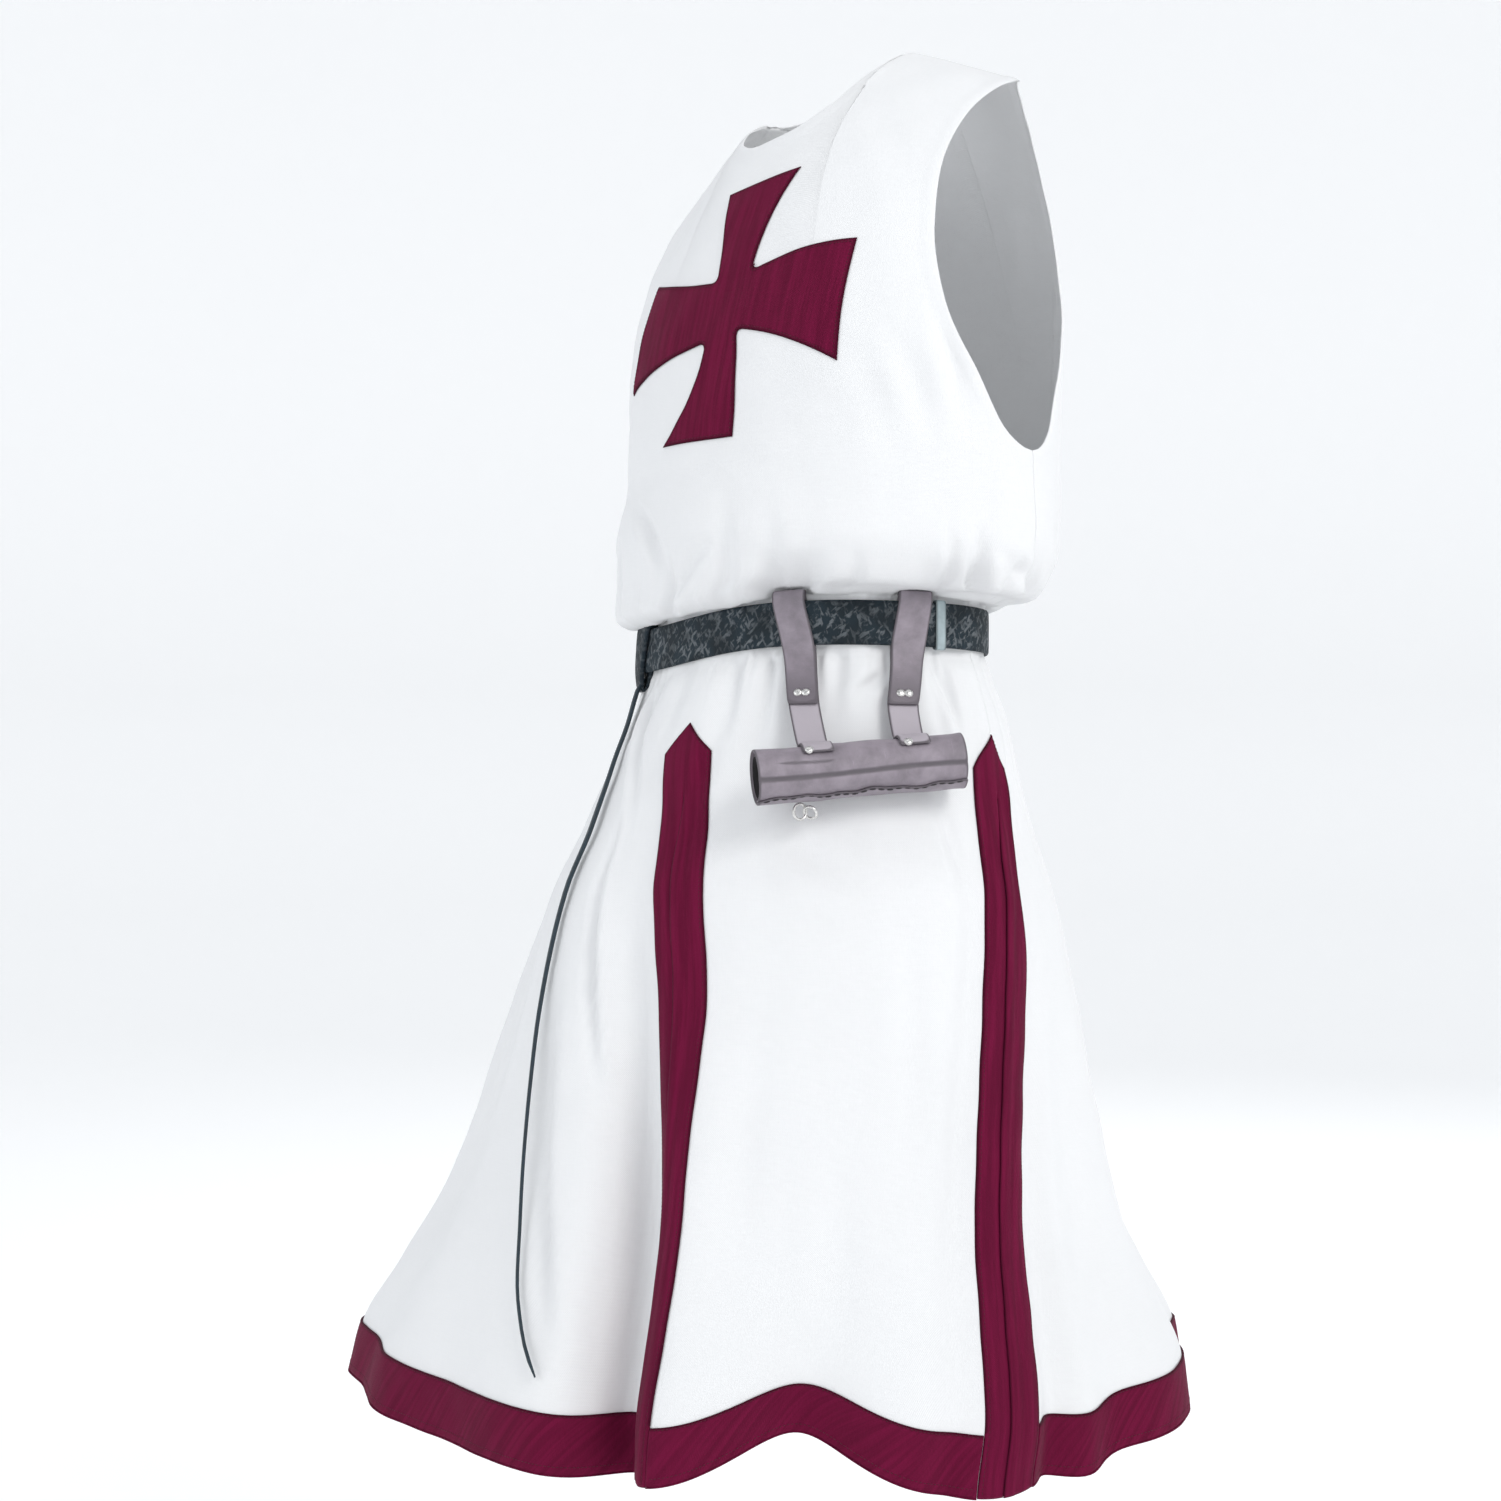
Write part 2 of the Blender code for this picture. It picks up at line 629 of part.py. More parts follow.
class Patchwork:
    """Points and faces gathered from lattices, each lattice point used once."""

    def __init__(self):
        self.points = []
        self.faces = []
        self.numbers = {}

    def number(self, key, point):
        if key not in self.numbers:
            self.numbers[key] = len(self.points)
            self.points.append(point)
        return self.numbers[key]

    def face(self, *corners):
        self.faces.append([self.number(key, point) for key, point in corners])


def along_row(lattice, row, column, distance):
    """A lattice point shifted along its row by a distance, toward higher columns if positive."""
    other = column + (1 if distance > 0 else -1)
    step = lattice[row, other] - lattice[row, column]
    return lattice[row, column] + step * abs(distance) / np.linalg.norm(step)


def panel_object(name, lattice, skin, slit_column=None, slit_seam=None):
    """A cloth panel, with an open slit below the vent top at one column."""
    patch = Patchwork()
    vent_row = level_index(VENT_TOP)

    def corner(row, column, side):
        if column != slit_column or row >= vent_row:
            return (row, column), lattice[row, column]
        half = vent_gap(slit_seam, LEVELS[row]) / 2.0
        return (row, column, side), along_row(lattice, row, column, side * half)

    rows, columns = lattice.shape[:2]
    for row in range(rows - 1):
        for column in range(columns - 1):
            patch.face(
                corner(row, column, 1),
                corner(row, column + 1, -1),
                corner(row + 1, column + 1, -1),
                corner(row + 1, column, 1),
            )
    return surface_object(name, patch.points, patch.faces, skin, CLOTH_THICKNESS)


def open_seam(lattice, column, seam):
    """Moves a panel's edge column back from its seam by half of the seam's gap."""
    inward = 1 if column == 0 else -1
    column = column % lattice.shape[1]
    moved = lattice.copy()
    for row in range(lattice.shape[0]):
        if row < len(LEVELS):
            half = vent_gap(seam, LEVELS[row]) / 2.0
            moved[row, column] = along_row(lattice, row, column, inward * half)
    return moved


def vent_band(name, left_strip, right_strip, skin):
    """Vent binding: a pointed head over the vent and a leg down each edge.

    Each strip holds the columns from the vent out to the band's edge, the vent's column first.
    """
    patch = Patchwork()
    tip_row = level_index(VENT_TIP)
    vent_row = level_index(VENT_TOP)
    for side, strip in ((-1, left_strip), (1, right_strip)):
        other = right_strip if side < 0 else left_strip

        def corner(row, column, side=side, strip=strip, other=other):
            if column > 0:
                return (row, column, side), strip[row, column]
            if row >= vent_row:
                return (row, 0), (strip[row, 0] + other[row, 0]) / 2.0
            return (row, 0, side), strip[row, 0]

        for row in range(tip_row):
            full = min(VENT_COLUMNS, tip_row - 1 - row)
            for column in range(full):
                corners = [
                    corner(row, column),
                    corner(row, column + 1),
                    corner(row + 1, column + 1),
                    corner(row + 1, column),
                ]
                patch.face(*(corners if side > 0 else corners[::-1]))
            if full < VENT_COLUMNS:
                corners = [corner(row, full), corner(row, full + 1), corner(row + 1, full)]
                patch.face(*(corners if side > 0 else corners[::-1]))
    return surface_object(name, patch.points, patch.faces, skin, BAND_THICKNESS)


def hem_band(name, lattice, first, last, skin):
    """Band along the hem between two columns, its ends just clear of the vent bands."""
    top = level_index(HEM + HEM_BAND_WIDTH)
    strip = lattice[: top + 1, first : last + 1].copy()
    for row in range(top + 1):
        strip[row, 0] = along_row(strip, row, 0, END_GAP)
        strip[row, -1] = along_row(strip, row, strip.shape[1] - 1, -END_GAP)
    patch = Patchwork()
    for row in range(top):
        for column in range(strip.shape[1] - 1):
            corners = [(row, column), (row, column + 1), (row + 1, column + 1), (row + 1, column)]
            patch.face(*[(corner, strip[corner]) for corner in corners])
    return surface_object(name, patch.points, patch.faces, skin, BAND_THICKNESS)


# Cross


def arm_side(root, middle, end, share):
    """Place on the curved side of an arm, at a share of the way from its root to its end."""
    root, middle, end = np.array(root), np.array(middle), np.array(end)
    first = np.linalg.norm(middle - root)
    half = first / (first + np.linalg.norm(end - middle))
    share = np.asarray(share, dtype=float)[..., None]
    return (
        root * (share - half) * (share - 1.0) / half
        + middle * share * (share - 1.0) / (half * (half - 1.0))
        + end * share * (share - half) / (1.0 - half)
    )


def chest_point(x, height, out):
    """Posed point over the front yoke at an upright sideways place and height."""

    def on_yoke(x, height):
        sine = np.clip((height - UNDERARM) / (shoulder_top(x) - UNDERARM), 0.0, 1.0)
        return posed(yoke_point(FRONT_YOKE, x, np.arcsin(sine)))

    small = 0.001
    centre = on_yoke(x, height)
    across = on_yoke(x + small, height) - on_yoke(x - small, height)
    up = on_yoke(x, height + small) - on_yoke(x, height - small)
    normal = np.cross(across, up)
    return centre + normal / np.linalg.norm(normal) * out


def cross_object(skin):
    """Applied cross with four flared arms, laid on the chest."""
    patch = Patchwork()
    out = CLOTH_GAP + BAND_THICKNESS
    ticks = np.linspace(0.0, 1.0, CROSS_COLUMNS + 1)

    def corner(sideways, upward):
        key = (round(sideways, 6), round(upward, 6))
        x = CROSS_CENTRE[0] + sideways + CROSS_LEAN * upward
        return key, chest_point(x, CROSS_CENTRE[1] + upward, out)

    def grid(place, rows, columns):
        for row in range(rows):
            for column in range(columns):
                cells = [(row, column), (row, column + 1), (row + 1, column + 1), (row + 1, column)]
                patch.face(*[corner(*place(*cell)) for cell in cells])

    def between(first, second, share):
        return np.array(first) * (1.0 - share) + np.array(second) * share

    def middle(row, column):
        low = between(ROOT_LOW_LEFT, ROOT_LOW_RIGHT, ticks[column])
        top = between(ROOT_TOP_LEFT, ROOT_TOP_RIGHT, ticks[column])
        return between(low, top, ticks[row])

    grid(middle, CROSS_COLUMNS, CROSS_COLUMNS)
    for arm in CROSS_ARMS:

        def place(row, column, arm=arm):
            along = row / CROSS_ROWS
            left = arm_side(arm.left_root, arm.left_middle, arm.left_end, along)
            right = arm_side(arm.right_root, arm.right_middle, arm.right_end, along)
            return between(left, right, ticks[column])

        grid(place, CROSS_ROWS, CROSS_COLUMNS)
    return surface_object("cross", patch.points, patch.faces, skin, BAND_THICKNESS)


# Belt and what it carries


def belt_point(turn, out, height, sideways=0.0):
    """Posed point by the belt: out from its inner side, and sideways along it."""
    depth = np.where(np.cos(turn) > 0, BELT_FRONT, BELT_BACK)
    stretch = np.hypot(BELT_HALF_WIDTH * np.cos(turn), depth * np.sin(turn))
    turn = turn + sideways / stretch
    depth = np.where(np.cos(turn) > 0, BELT_FRONT, BELT_BACK)
    flat = np.array([BELT_HALF_WIDTH * np.sin(turn), -depth * np.cos(turn)])
    normal = np.array([depth * np.sin(turn), -BELT_HALF_WIDTH * np.cos(turn)])
    flat = flat + normal / np.linalg.norm(normal) * out
    return posed(np.array([flat[0], flat[1], height]))


def belt_object(skin):
    """Closed belt strip with eased edges."""
    half = BELT_WIDTH / 2.0
    ease = BELT_EDGE
    profile = [
        (0.0, -half + ease), (ease, -half), (BELT_THICKNESS - ease, -half), (BELT_THICKNESS, -half + ease),
        (BELT_THICKNESS, half - ease), (BELT_THICKNESS - ease, half), (ease, half), (0.0, half - ease),
    ]
    points = []
    faces = []
    count = len(profile)
    for segment in range(BELT_SEGMENTS):
        turn = 2.0 * math.pi * segment / BELT_SEGMENTS
        following = (segment + 1) % BELT_SEGMENTS
        for k, (out, height) in enumerate(profile):
            points.append(belt_point(turn, out, BELT_HEIGHT + height))
            after = (k + 1) % count
            faces.append([
                segment * count + k,
                following * count + k,
                following * count + after,
                segment * count + after,
            ])
    mesh = bpy.data.meshes.new("belt")
    mesh.from_pydata([tuple(point) for point in points], [], faces)
    mesh.validate()
    return add_object("belt", mesh, skin)


def loop_path(thickness):
    """Path round the belt's section for a strap's middle: pairs of out and height."""
    gap = LAY_GAP + thickness / 2.0
    spare = LOOP_SPARE
    half = BELT_WIDTH / 2.0
    outer = BELT_THICKNESS + gap
    return [
        (-gap, -half), (-gap, 0.0), (-gap, half), (-gap * 0.3, half + gap + spare),
        (outer - gap * 0.7, half + gap + spare), (outer, half), (outer, 0.0), (outer, -half),
        (outer - gap * 0.7, -half - gap - spare), (-gap * 0.3, -half - gap - spare),
    ]


def closed_loop(name, turn, width, thickness, slant, skin):
    """A strap closed round the belt."""
    path = loop_path(thickness)
    columns = np.linspace(-width / 2.0, width / 2.0, 4)
    points = []
    faces = []
    for out, height in path:
        for sideways in columns:
            place = sideways + slant * height
            points.append(belt_point(math.radians(turn), out, BELT_HEIGHT + height, place))
    across = len(columns)
    for step in range(len(path)):
        following = (step + 1) % len(path)
        for k in range(across - 1):
            faces.append([
                step * across + k,
                step * across + k + 1,
                following * across + k + 1,
                following * across + k,
            ])
    made = surface_object(name, points, faces, skin, thickness)
    made.modifiers["Wall"].offset = 0.0
    return made


def cloth_out(turn, height, sideways):
    """How far out from the belt's inner side the skirt lies below it."""
    base = belt_point(turn, 0.0, height, sideways)
    far = belt_point(turn, 0.1, height, sideways)
    direction = (far - base) / np.linalg.norm(far - base)
    turns = np.linspace(-math.pi, math.pi, 721)
    ring = posed(ring_points(turns, height))
    offset = ring[:, :2] - base[:2]
    beside = np.abs(offset[:, 0] * direction[1] - offset[:, 1] * direction[0])
    beside[offset @ direction[:2] < -0.05] = 1.0
    return float(offset[beside.argmin()] @ direction[:2])


def tube_frame():
    """Centre, direction, outward and upward of the frog's tube, which rests on the skirt."""
    turn = math.radians(TUBE_TURN)
    start = belt_point(turn, 0.0, TUBE_HEIGHT)
    facing = belt_point(turn, 0.1, TUBE_HEIGHT) - start
    bearing = math.atan2(facing[0], -facing[1]) + TUBE_SWING
    facing = np.array([math.sin(bearing), -math.cos(bearing), 0.0])
    level = np.cross([0.0, 0.0, 1.0], facing)
    along = level * math.cos(TUBE_RISE) + np.array([0.0, 0.0, 1.0]) * math.sin(TUBE_RISE)
    upward = np.cross(facing, along)
    turns = np.linspace(0.0, math.pi / 2.0, 181)
    heights = TUBE_HEIGHT + TUBE_RADIUS * np.linspace(-1.6, 1.6, 17)
    cloth = np.concatenate([posed(ring_points(turns, height)) for height in heights]) - start
    high = cloth @ upward
    near = (np.abs(cloth @ along) < TUBE_LENGTH / 2.0) & (np.abs(high) < TUBE_RADIUS)
    out = ((cloth @ facing) + np.sqrt(np.clip(TUBE_RADIUS ** 2 - high ** 2, 0.0, None)))[near].max()
    return start + facing * (out + TUBE_REST_GAP), along, facing, upward


def tube_object(skin):
    """Rolled leather tube of the sword frog, open at both ends."""
    centre, along, facing, upward = tube_frame()
    bpy.ops.mesh.primitive_cylinder_add(
        vertices=28, radius=TUBE_RADIUS, depth=TUBE_LENGTH, end_fill_type="NOTHING"
    )
    made = adopted("frog_tube", skin)
    turned = Matrix([facing, upward, along]).transposed().to_4x4()
    turned.translation = Vector(centre)
    made.matrix_world = turned
    wall = made.modifiers.new("Wall", "SOLIDIFY")
    wall.thickness = TUBE_WALL
    wall.offset = -1.0
    return made


def hanger_path(hanger):
    """Middle line of a hanger strap: rows of points across its width, from front leaf to tube."""
    turn = math.radians(hanger.turn)
    gap = LAY_GAP + HANGER_THICKNESS / 2.0
    half = BELT_WIDTH / 2.0
    columns = np.linspace(-HANGER_WIDTH / 2.0, HANGER_WIDTH / 2.0, 4)
    centre, along, facing, upward = tube_frame()
    lap = math.radians(TUBE_LAP_ANGLES[0])
    lap_radius = TUBE_RADIUS + gap + TUBE_LAP_GAP

    def fallen(height):
        share = (BELT_HEIGHT + half - height) / (BELT_HEIGHT + half - TUBE_HEIGHT - TUBE_RADIUS)
        return float(np.clip(share, 0.0, 1.0))

    def drift(height):
        return hanger.drift * fallen(height)

    low = belt_point(turn, 0.0, TUBE_HEIGHT, hanger.drift)
    behind = centre + along * float((low - centre) @ along)
    behind = behind + (facing * math.cos(lap) + upward * math.sin(lap)) * lap_radius - low
    strap_end = float(np.hypot(behind[0], behind[1])), TUBE_HEIGHT + float(behind[2])

    def leaf(height, lift):
        outs = [cloth_out(turn, height, drift(height) + sideways) for sideways in columns]
        hung = (BELT_HEIGHT - half - height) / (BELT_HEIGHT - half - strap_end[1])
        out = max(max(outs) + gap + LEAF_GAP, -gap + hung * strap_end[0])
        first, middle, last = (belt_point(turn, out + lift, height, drift(height) + s) for s in (-0.01, 0.0, 0.01))
        across = (last - first) / np.linalg.norm(last - first)
        across = across * (1.0 - (1.0 - HANGER_TAPER) * fallen(height))
        return [middle + across * s for s in columns]

    def belt_row(out, height):
        shifted = drift(BELT_HEIGHT + height)
        return [belt_point(turn, out, BELT_HEIGHT + height, shifted + s) for s in columns]

    rows = []
    doubled = HANGER_THICKNESS + LAY_GAP
    for height in FRONT_LEAF_HEIGHTS:
        rows.append(leaf(height, doubled + LEAF_GAP))
    outer = BELT_THICKNESS + gap
    for out, height in [
        (outer, -half), (outer, 0.0), (outer, half), (outer - gap * 0.7, half + gap + LOOP_SPARE),
        (-gap * 0.3, half + gap + LOOP_SPARE), (-gap, half), (-gap, 0.0), (-gap, -half),
    ]:
        rows.append(belt_row(out, height))
    for height in BACK_LEAF_HEIGHTS:
        rows.append(leaf(height, 0.0))
    last = np.mean(rows[-1], axis=0)
    offset = float((last - centre) @ along)
    for angle in TUBE_LAP_ANGLES:
        lean = math.radians(angle)
        radial = facing * math.cos(lean) + upward * math.sin(lean)
        middle = centre + radial * lap_radius + along * offset
        rows.append([middle + along * (s * HANGER_TAPER) for s in columns])
    return rows


def hanger_object(hanger, skin):
    """A hanger strap looped over the belt and laid on the tube."""
    rows = hanger_path(hanger)
    across = len(rows[0])
    points = [point for row in rows for point in row]
    faces = []
    for step in range(len(rows) - 1):
        for k in range(across - 1):
            faces.append([
                step * across + k,
                step * across + k + 1,
                (step + 1) * across + k + 1,
                (step + 1) * across + k,
            ])
    made = surface_object("frog_hanger_" + hanger.name, points, faces, skin, HANGER_THICKNESS)
    made.modifiers["Wall"].offset = 0.0
    return made


def rivet_object(name, place, facing, skin):
    """A flat rivet head."""
    bpy.ops.mesh.primitive_cylinder_add(vertices=16, radius=RIVET_RADIUS, depth=RIVET_HEIGHT)
    made = adopted(name, skin)
    made.rotation_mode = "QUATERNION"
    made.rotation_quaternion = Vector(facing).to_track_quat("Z", "Y")
    made.location = Vector(place + facing * (RIVET_HEIGHT / 2.0 + LAY_GAP + HANGER_THICKNESS / 2.0))
    return made


def rivet_objects(skin):
    """Two rivets through each hanger's leaves and one where it meets the tube."""
    for hanger in HANGERS:
        rows = hanger_path(hanger)
        for k, column in enumerate((1, 2)):
            place = rows[0][column] * 0.45 + rows[1][column] * 0.55
            across = rows[0][column] - rows[0][column - 1]
            up = rows[1][column] - rows[0][column]
            facing = np.cross(across, up)
            facing /= np.linalg.norm(facing)
            rivet_object(f"frog_rivet_{hanger.name}_{k + 1}", place, facing, skin)
        centre, along, facing, upward = tube_frame()
        place = (rows[-1][1] + rows[-1][2] + rows[-2][1] + rows[-2][2]) / 4.0
        place = place + along * hanger.rivet_aside
        outer = place - centre
        outer -= along * (outer @ along)
        rivet_object(f"frog_rivet_{hanger.name}_3", place, outer / np.linalg.norm(outer), skin)


def ring_object(skin):
    """Small metal ring that hangs under the tube's end."""
    centre, along, facing, upward = tube_frame()
    drop = TUBE_RADIUS + LAY_GAP + RING_RADIUS + RING_WIRE
    place = centre - along * (TUBE_LENGTH / 2.0 - RING_INSET) - upward * drop
    bpy.ops.mesh.primitive_torus_add(
        major_radius=RING_RADIUS, minor_radius=RING_WIRE, major_segments=20, minor_segments=6
    )
    made = adopted("frog_ring", skin)
    made.rotation_mode = "QUATERNION"
    made.rotation_quaternion = Vector(facing + along * 0.5).to_track_quat("Z", "Y")
    made.location = Vector(place)
    return made


def tail_route():
    """Centre line of the tail: a smooth curve down the skirt's outer side."""
    heights = np.linspace(TAIL[0].height, TAIL[-1].height, TAIL_POINTS)
    points = []
    for height in heights:
        turn = math.radians(float(eased(TAIL, "turn", height)))
        points.append(posed(ring_points(np.array([turn]), height, TAIL_TOP_RADIUS + TAIL_REST_GAP))[0])
    return points


def tail_object(skin):
    """Long thin tail of the belt, hanging free."""
    points = tail_route()
    curve = bpy.data.curves.new("belt_tail", "CURVE")
    curve.dimensions = "3D"
    curve.bevel_depth = 1.0
    curve.bevel_resolution = 2
    curve.use_fill_caps = True
    spline = curve.splines.new("POLY")
    spline.points.add(len(points) - 1)
    for k, point in enumerate(points):
        spline.points[k].co = (*point, 1.0)
        share = k / (len(points) - 1)
        spline.points[k].radius = TAIL_TOP_RADIUS + (TAIL_END_RADIUS - TAIL_TOP_RADIUS) * share
    return add_object("belt_tail", curve, skin)


def build():
    """Builds every piece of the tunic."""
    global PART
    for old in list(bpy.data.objects):
        bpy.data.objects.remove(old, do_unlink=True)
    PART = bpy.data.collections.new("knight_tunic")
    bpy.context.scene.collection.children.link(PART)

    white = material("white_cloth", (0.86, 0.87, 0.88), 0.85)
    red = material("red_cloth", (0.17, 0.010, 0.040), 0.75)
    belt_leather = material("belt_leather", (0.018, 0.028, 0.036), 0.45)
    frog_leather = material("frog_leather", (0.13, 0.11, 0.13), 0.50)
    pale_leather = material("pale_leather", (0.50, 0.52, 0.52), 0.55)
    metal = material("rivet_metal", (0.75, 0.73, 0.70), 0.30, 1.0)

    front = front_lattice()
    back = back_lattice()
    front_centre = FRONT_QUARTERS[0].columns
    front = open_seam(open_seam(front, 0, "right"), -1, "left")
    back = open_seam(open_seam(back, 0, "left"), -1, "right")
    panel_object("tunic_front", front, white, front_centre, "front")
    panel_object("tunic_back", back, white)

    out = CLOTH_GAP + BAND_THICKNESS
    front_out = raised(front, out)
    back_out = raised(back, out)
    reach = VENT_COLUMNS + 1
    centre_left = front_out[:, front_centre::-1][:, :reach].copy()
    centre_right = front_out[:, front_centre:][:, :reach].copy()
    for row in range(level_index(VENT_TOP)):
        half = vent_gap("front", LEVELS[row]) / 2.0
        centre_left[row, 0] = along_row(front_out, row, front_centre, -half)
        centre_right[row, 0] = along_row(front_out, row, front_centre, half)
    vent_band("vent_band_front", centre_left, centre_right, red)
    vent_band("vent_band_left", front_out[:, ::-1][:, :reach], back_out[:, :reach], red)
    vent_band("vent_band_right", back_out[:, ::-1][:, :reach], front_out[:, :reach], red)

    last = front_out.shape[1] - 1
    hem_band("hem_band_front_right", front_out, VENT_COLUMNS, front_centre - VENT_COLUMNS, red)
    hem_band("hem_band_front_left", front_out, front_centre + VENT_COLUMNS, last - VENT_COLUMNS, red)
    hem_band("hem_band_back", back_out, VENT_COLUMNS, back_out.shape[1] - 1 - VENT_COLUMNS, red)
    cross_object(red)

    belt_object(belt_leather)
    closed_loop("belt_wrap", WRAP_TURN, WRAP_WIDTH, WRAP_THICKNESS, WRAP_SLANT, belt_leather)
    closed_loop("belt_keeper", KEEPER_TURN, KEEPER_WIDTH, KEEPER_THICKNESS, 0.0, pale_leather)
    tail_object(belt_leather)
    for hanger in HANGERS:
        hanger_object(hanger, frog_leather)
    tube_object(frog_leather)
    rivet_objects(metal)
    ring_object(metal)


build()
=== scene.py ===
"""Looks of the knight tunic: cloth, red bands and cross, leather belt with tail, and sword frog.

Metres, +Z up, in the CAD frame: the front faces -Y and the wearer's left is +X. Cloth is worked out
upright on rings and a yoke, as the solids are, and posed() then gives it the wearer's stance.
"""

import json
import math
from collections import namedtuple

import bmesh
import bpy
import numpy as np
from mathutils import Matrix, Vector

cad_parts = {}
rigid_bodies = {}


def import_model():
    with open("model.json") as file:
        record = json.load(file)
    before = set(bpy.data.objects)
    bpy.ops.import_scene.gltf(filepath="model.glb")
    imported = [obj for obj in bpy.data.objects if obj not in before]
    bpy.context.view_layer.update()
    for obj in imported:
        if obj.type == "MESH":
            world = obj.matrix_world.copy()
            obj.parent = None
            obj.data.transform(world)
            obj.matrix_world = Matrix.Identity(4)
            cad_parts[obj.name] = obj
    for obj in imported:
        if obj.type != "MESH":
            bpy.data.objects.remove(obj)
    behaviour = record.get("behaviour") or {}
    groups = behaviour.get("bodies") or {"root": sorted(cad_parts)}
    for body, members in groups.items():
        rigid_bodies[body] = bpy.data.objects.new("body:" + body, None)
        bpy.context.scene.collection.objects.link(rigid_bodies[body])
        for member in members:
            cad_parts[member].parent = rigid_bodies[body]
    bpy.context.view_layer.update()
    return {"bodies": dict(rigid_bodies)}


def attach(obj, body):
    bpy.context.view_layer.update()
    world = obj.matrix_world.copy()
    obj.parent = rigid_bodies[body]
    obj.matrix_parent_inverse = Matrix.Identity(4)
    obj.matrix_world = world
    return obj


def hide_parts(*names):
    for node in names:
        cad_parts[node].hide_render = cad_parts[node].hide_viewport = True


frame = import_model()
BODY = next(iter(frame["bodies"]))

bl_info = {
    "name": "Knight tunic",
    "version": (1, 0, 0),
    "blender": (4, 5, 0),
    "location": "View3D > Sidebar > Tunic",
    "description": "Builds a white surcoat with red bands and cross, its belt and sword frog",
    "category": "Add Mesh",
}


def named_rows(name, columns, *rows):
    """Rows of numbers as named tuples."""
    return [namedtuple(name, columns)(*row) for row in rows]


# Sizes of the cloth, as the solids have them

HEM = -1.149
UNDERARM = -0.335
VENT_BAND_WIDTH = 0.054
VENT_TIP = -0.552
VENT_SHOULDER = -0.580
VENT_TOP = -0.615
VENT_LAP = 0.0060
VENT_LOWER = {"front": 0.0, "left": 0.014, "right": 0.0}
VENT_SPREAD = {"front": 0.0050, "left": 0.0030, "right": 0.0040}
HEM_BAND_WIDTH = 0.045
SHOULDER_HALF_WIDTH = 0.208
NECK_HALF_WIDTH = 0.090
SHOULDER_HEIGHT = 0.003
SHOULDER_SLOPE = 0.514
CHEST_SQUARE = 0.35

CROSS_CENTRE = (-0.0035, -0.2015)
CROSS_LEAN = 0.09
CROSS_CORNER = 0.008

# Outline of the cross: places sideways and up from its centre, as the photograph shows them.
# Looking out along an arm, one side is its left and the other its right, each with a root, a
# middle and an end.

ROOTS = [(-0.0147, 0.0288), (0.0265, 0.0314), (0.0234, -0.0172), (-0.0130, -0.0235)]
CROSS_ARMS = named_rows(
    "Arm", "left right",
    ((ROOTS[0], (-0.0256, 0.0732), (-0.0392, 0.1134)),
     (ROOTS[1], (0.0316, 0.0768), (0.0451, 0.1135))),
    ((ROOTS[1], (0.0669, 0.0386), (0.1257, 0.0393)),
     (ROOTS[2], (0.0766, -0.0319), (0.1301, -0.0585))),
    ((ROOTS[2], (0.0320, -0.0585), (0.0356, -0.1118)),
     (ROOTS[3], (-0.0208, -0.0620), (-0.0563, -0.1109))),
    ((ROOTS[3], (-0.0544, -0.0300), (-0.1311, -0.0527)),
     (ROOTS[0], (-0.0607, 0.0358), (-0.1213, 0.0497))),
)

BELT_HEIGHT = -0.475
BELT_WIDTH = 0.038
BELT_THICKNESS = 0.0035
BELT_HALF_WIDTH = 0.1670
BELT_FRONT = 0.1220
BELT_BACK = 0.1180
SAG = 0.0200
SAG_TURN = -52.0
SAG_SPREAD = 55.0
SAG_BELOW = (-0.640, -0.520)
SAG_ABOVE = (-0.440, -0.370)
WRAP_TURN = -46.0
KEEPER_TURN = 74.0

HANGER_WIDTH = 0.0295
HANGER_TAPER = 0.90
HANGER_THICKNESS = 0.0020
TUBE_LENGTH = 0.176
TUBE_RADIUS = 0.0230
TUBE_TURN = 41.0
TUBE_HEIGHT = -0.595
TUBE_RISE = math.radians(4.4)
TUBE_SWING = math.radians(15.0)
RIVET_RADIUS = 0.0038
RING_RADIUS = 0.0065
RING_WIRE = 0.0013
RING_INSET = 0.036

STANCE = named_rows(
    "Stance", "height shift_x shift_y lift rise twist",
    (0.030, 0.000, 0.000, 0.25, 0.00, -8.0),
    (-0.100, 0.006, 0.000, 0.18, 0.00, -8.0),
    (-0.200, 0.008, 0.000, 0.09, 0.00, -8.0),
    (-0.335, 0.006, -0.001, 0.05, 0.02, -6.0),
    (-0.390, 0.001, -0.002, -0.02, 0.05, -3.0),
    (-0.430, -0.011, -0.004, -0.06, 0.07, -0.5),
    (-0.450, -0.025, -0.006, 0.02, 0.07, 0.0),
    (-0.500, -0.025, -0.006, 0.02, 0.07, 0.0),
    (-0.600, -0.027, -0.008, 0.02, 0.04, 0.0),
    (-0.800, -0.040, -0.014, 0.00, 0.00, 0.0),
    (-1.149, -0.060, -0.028, 0.00, 0.00, 0.0),
)

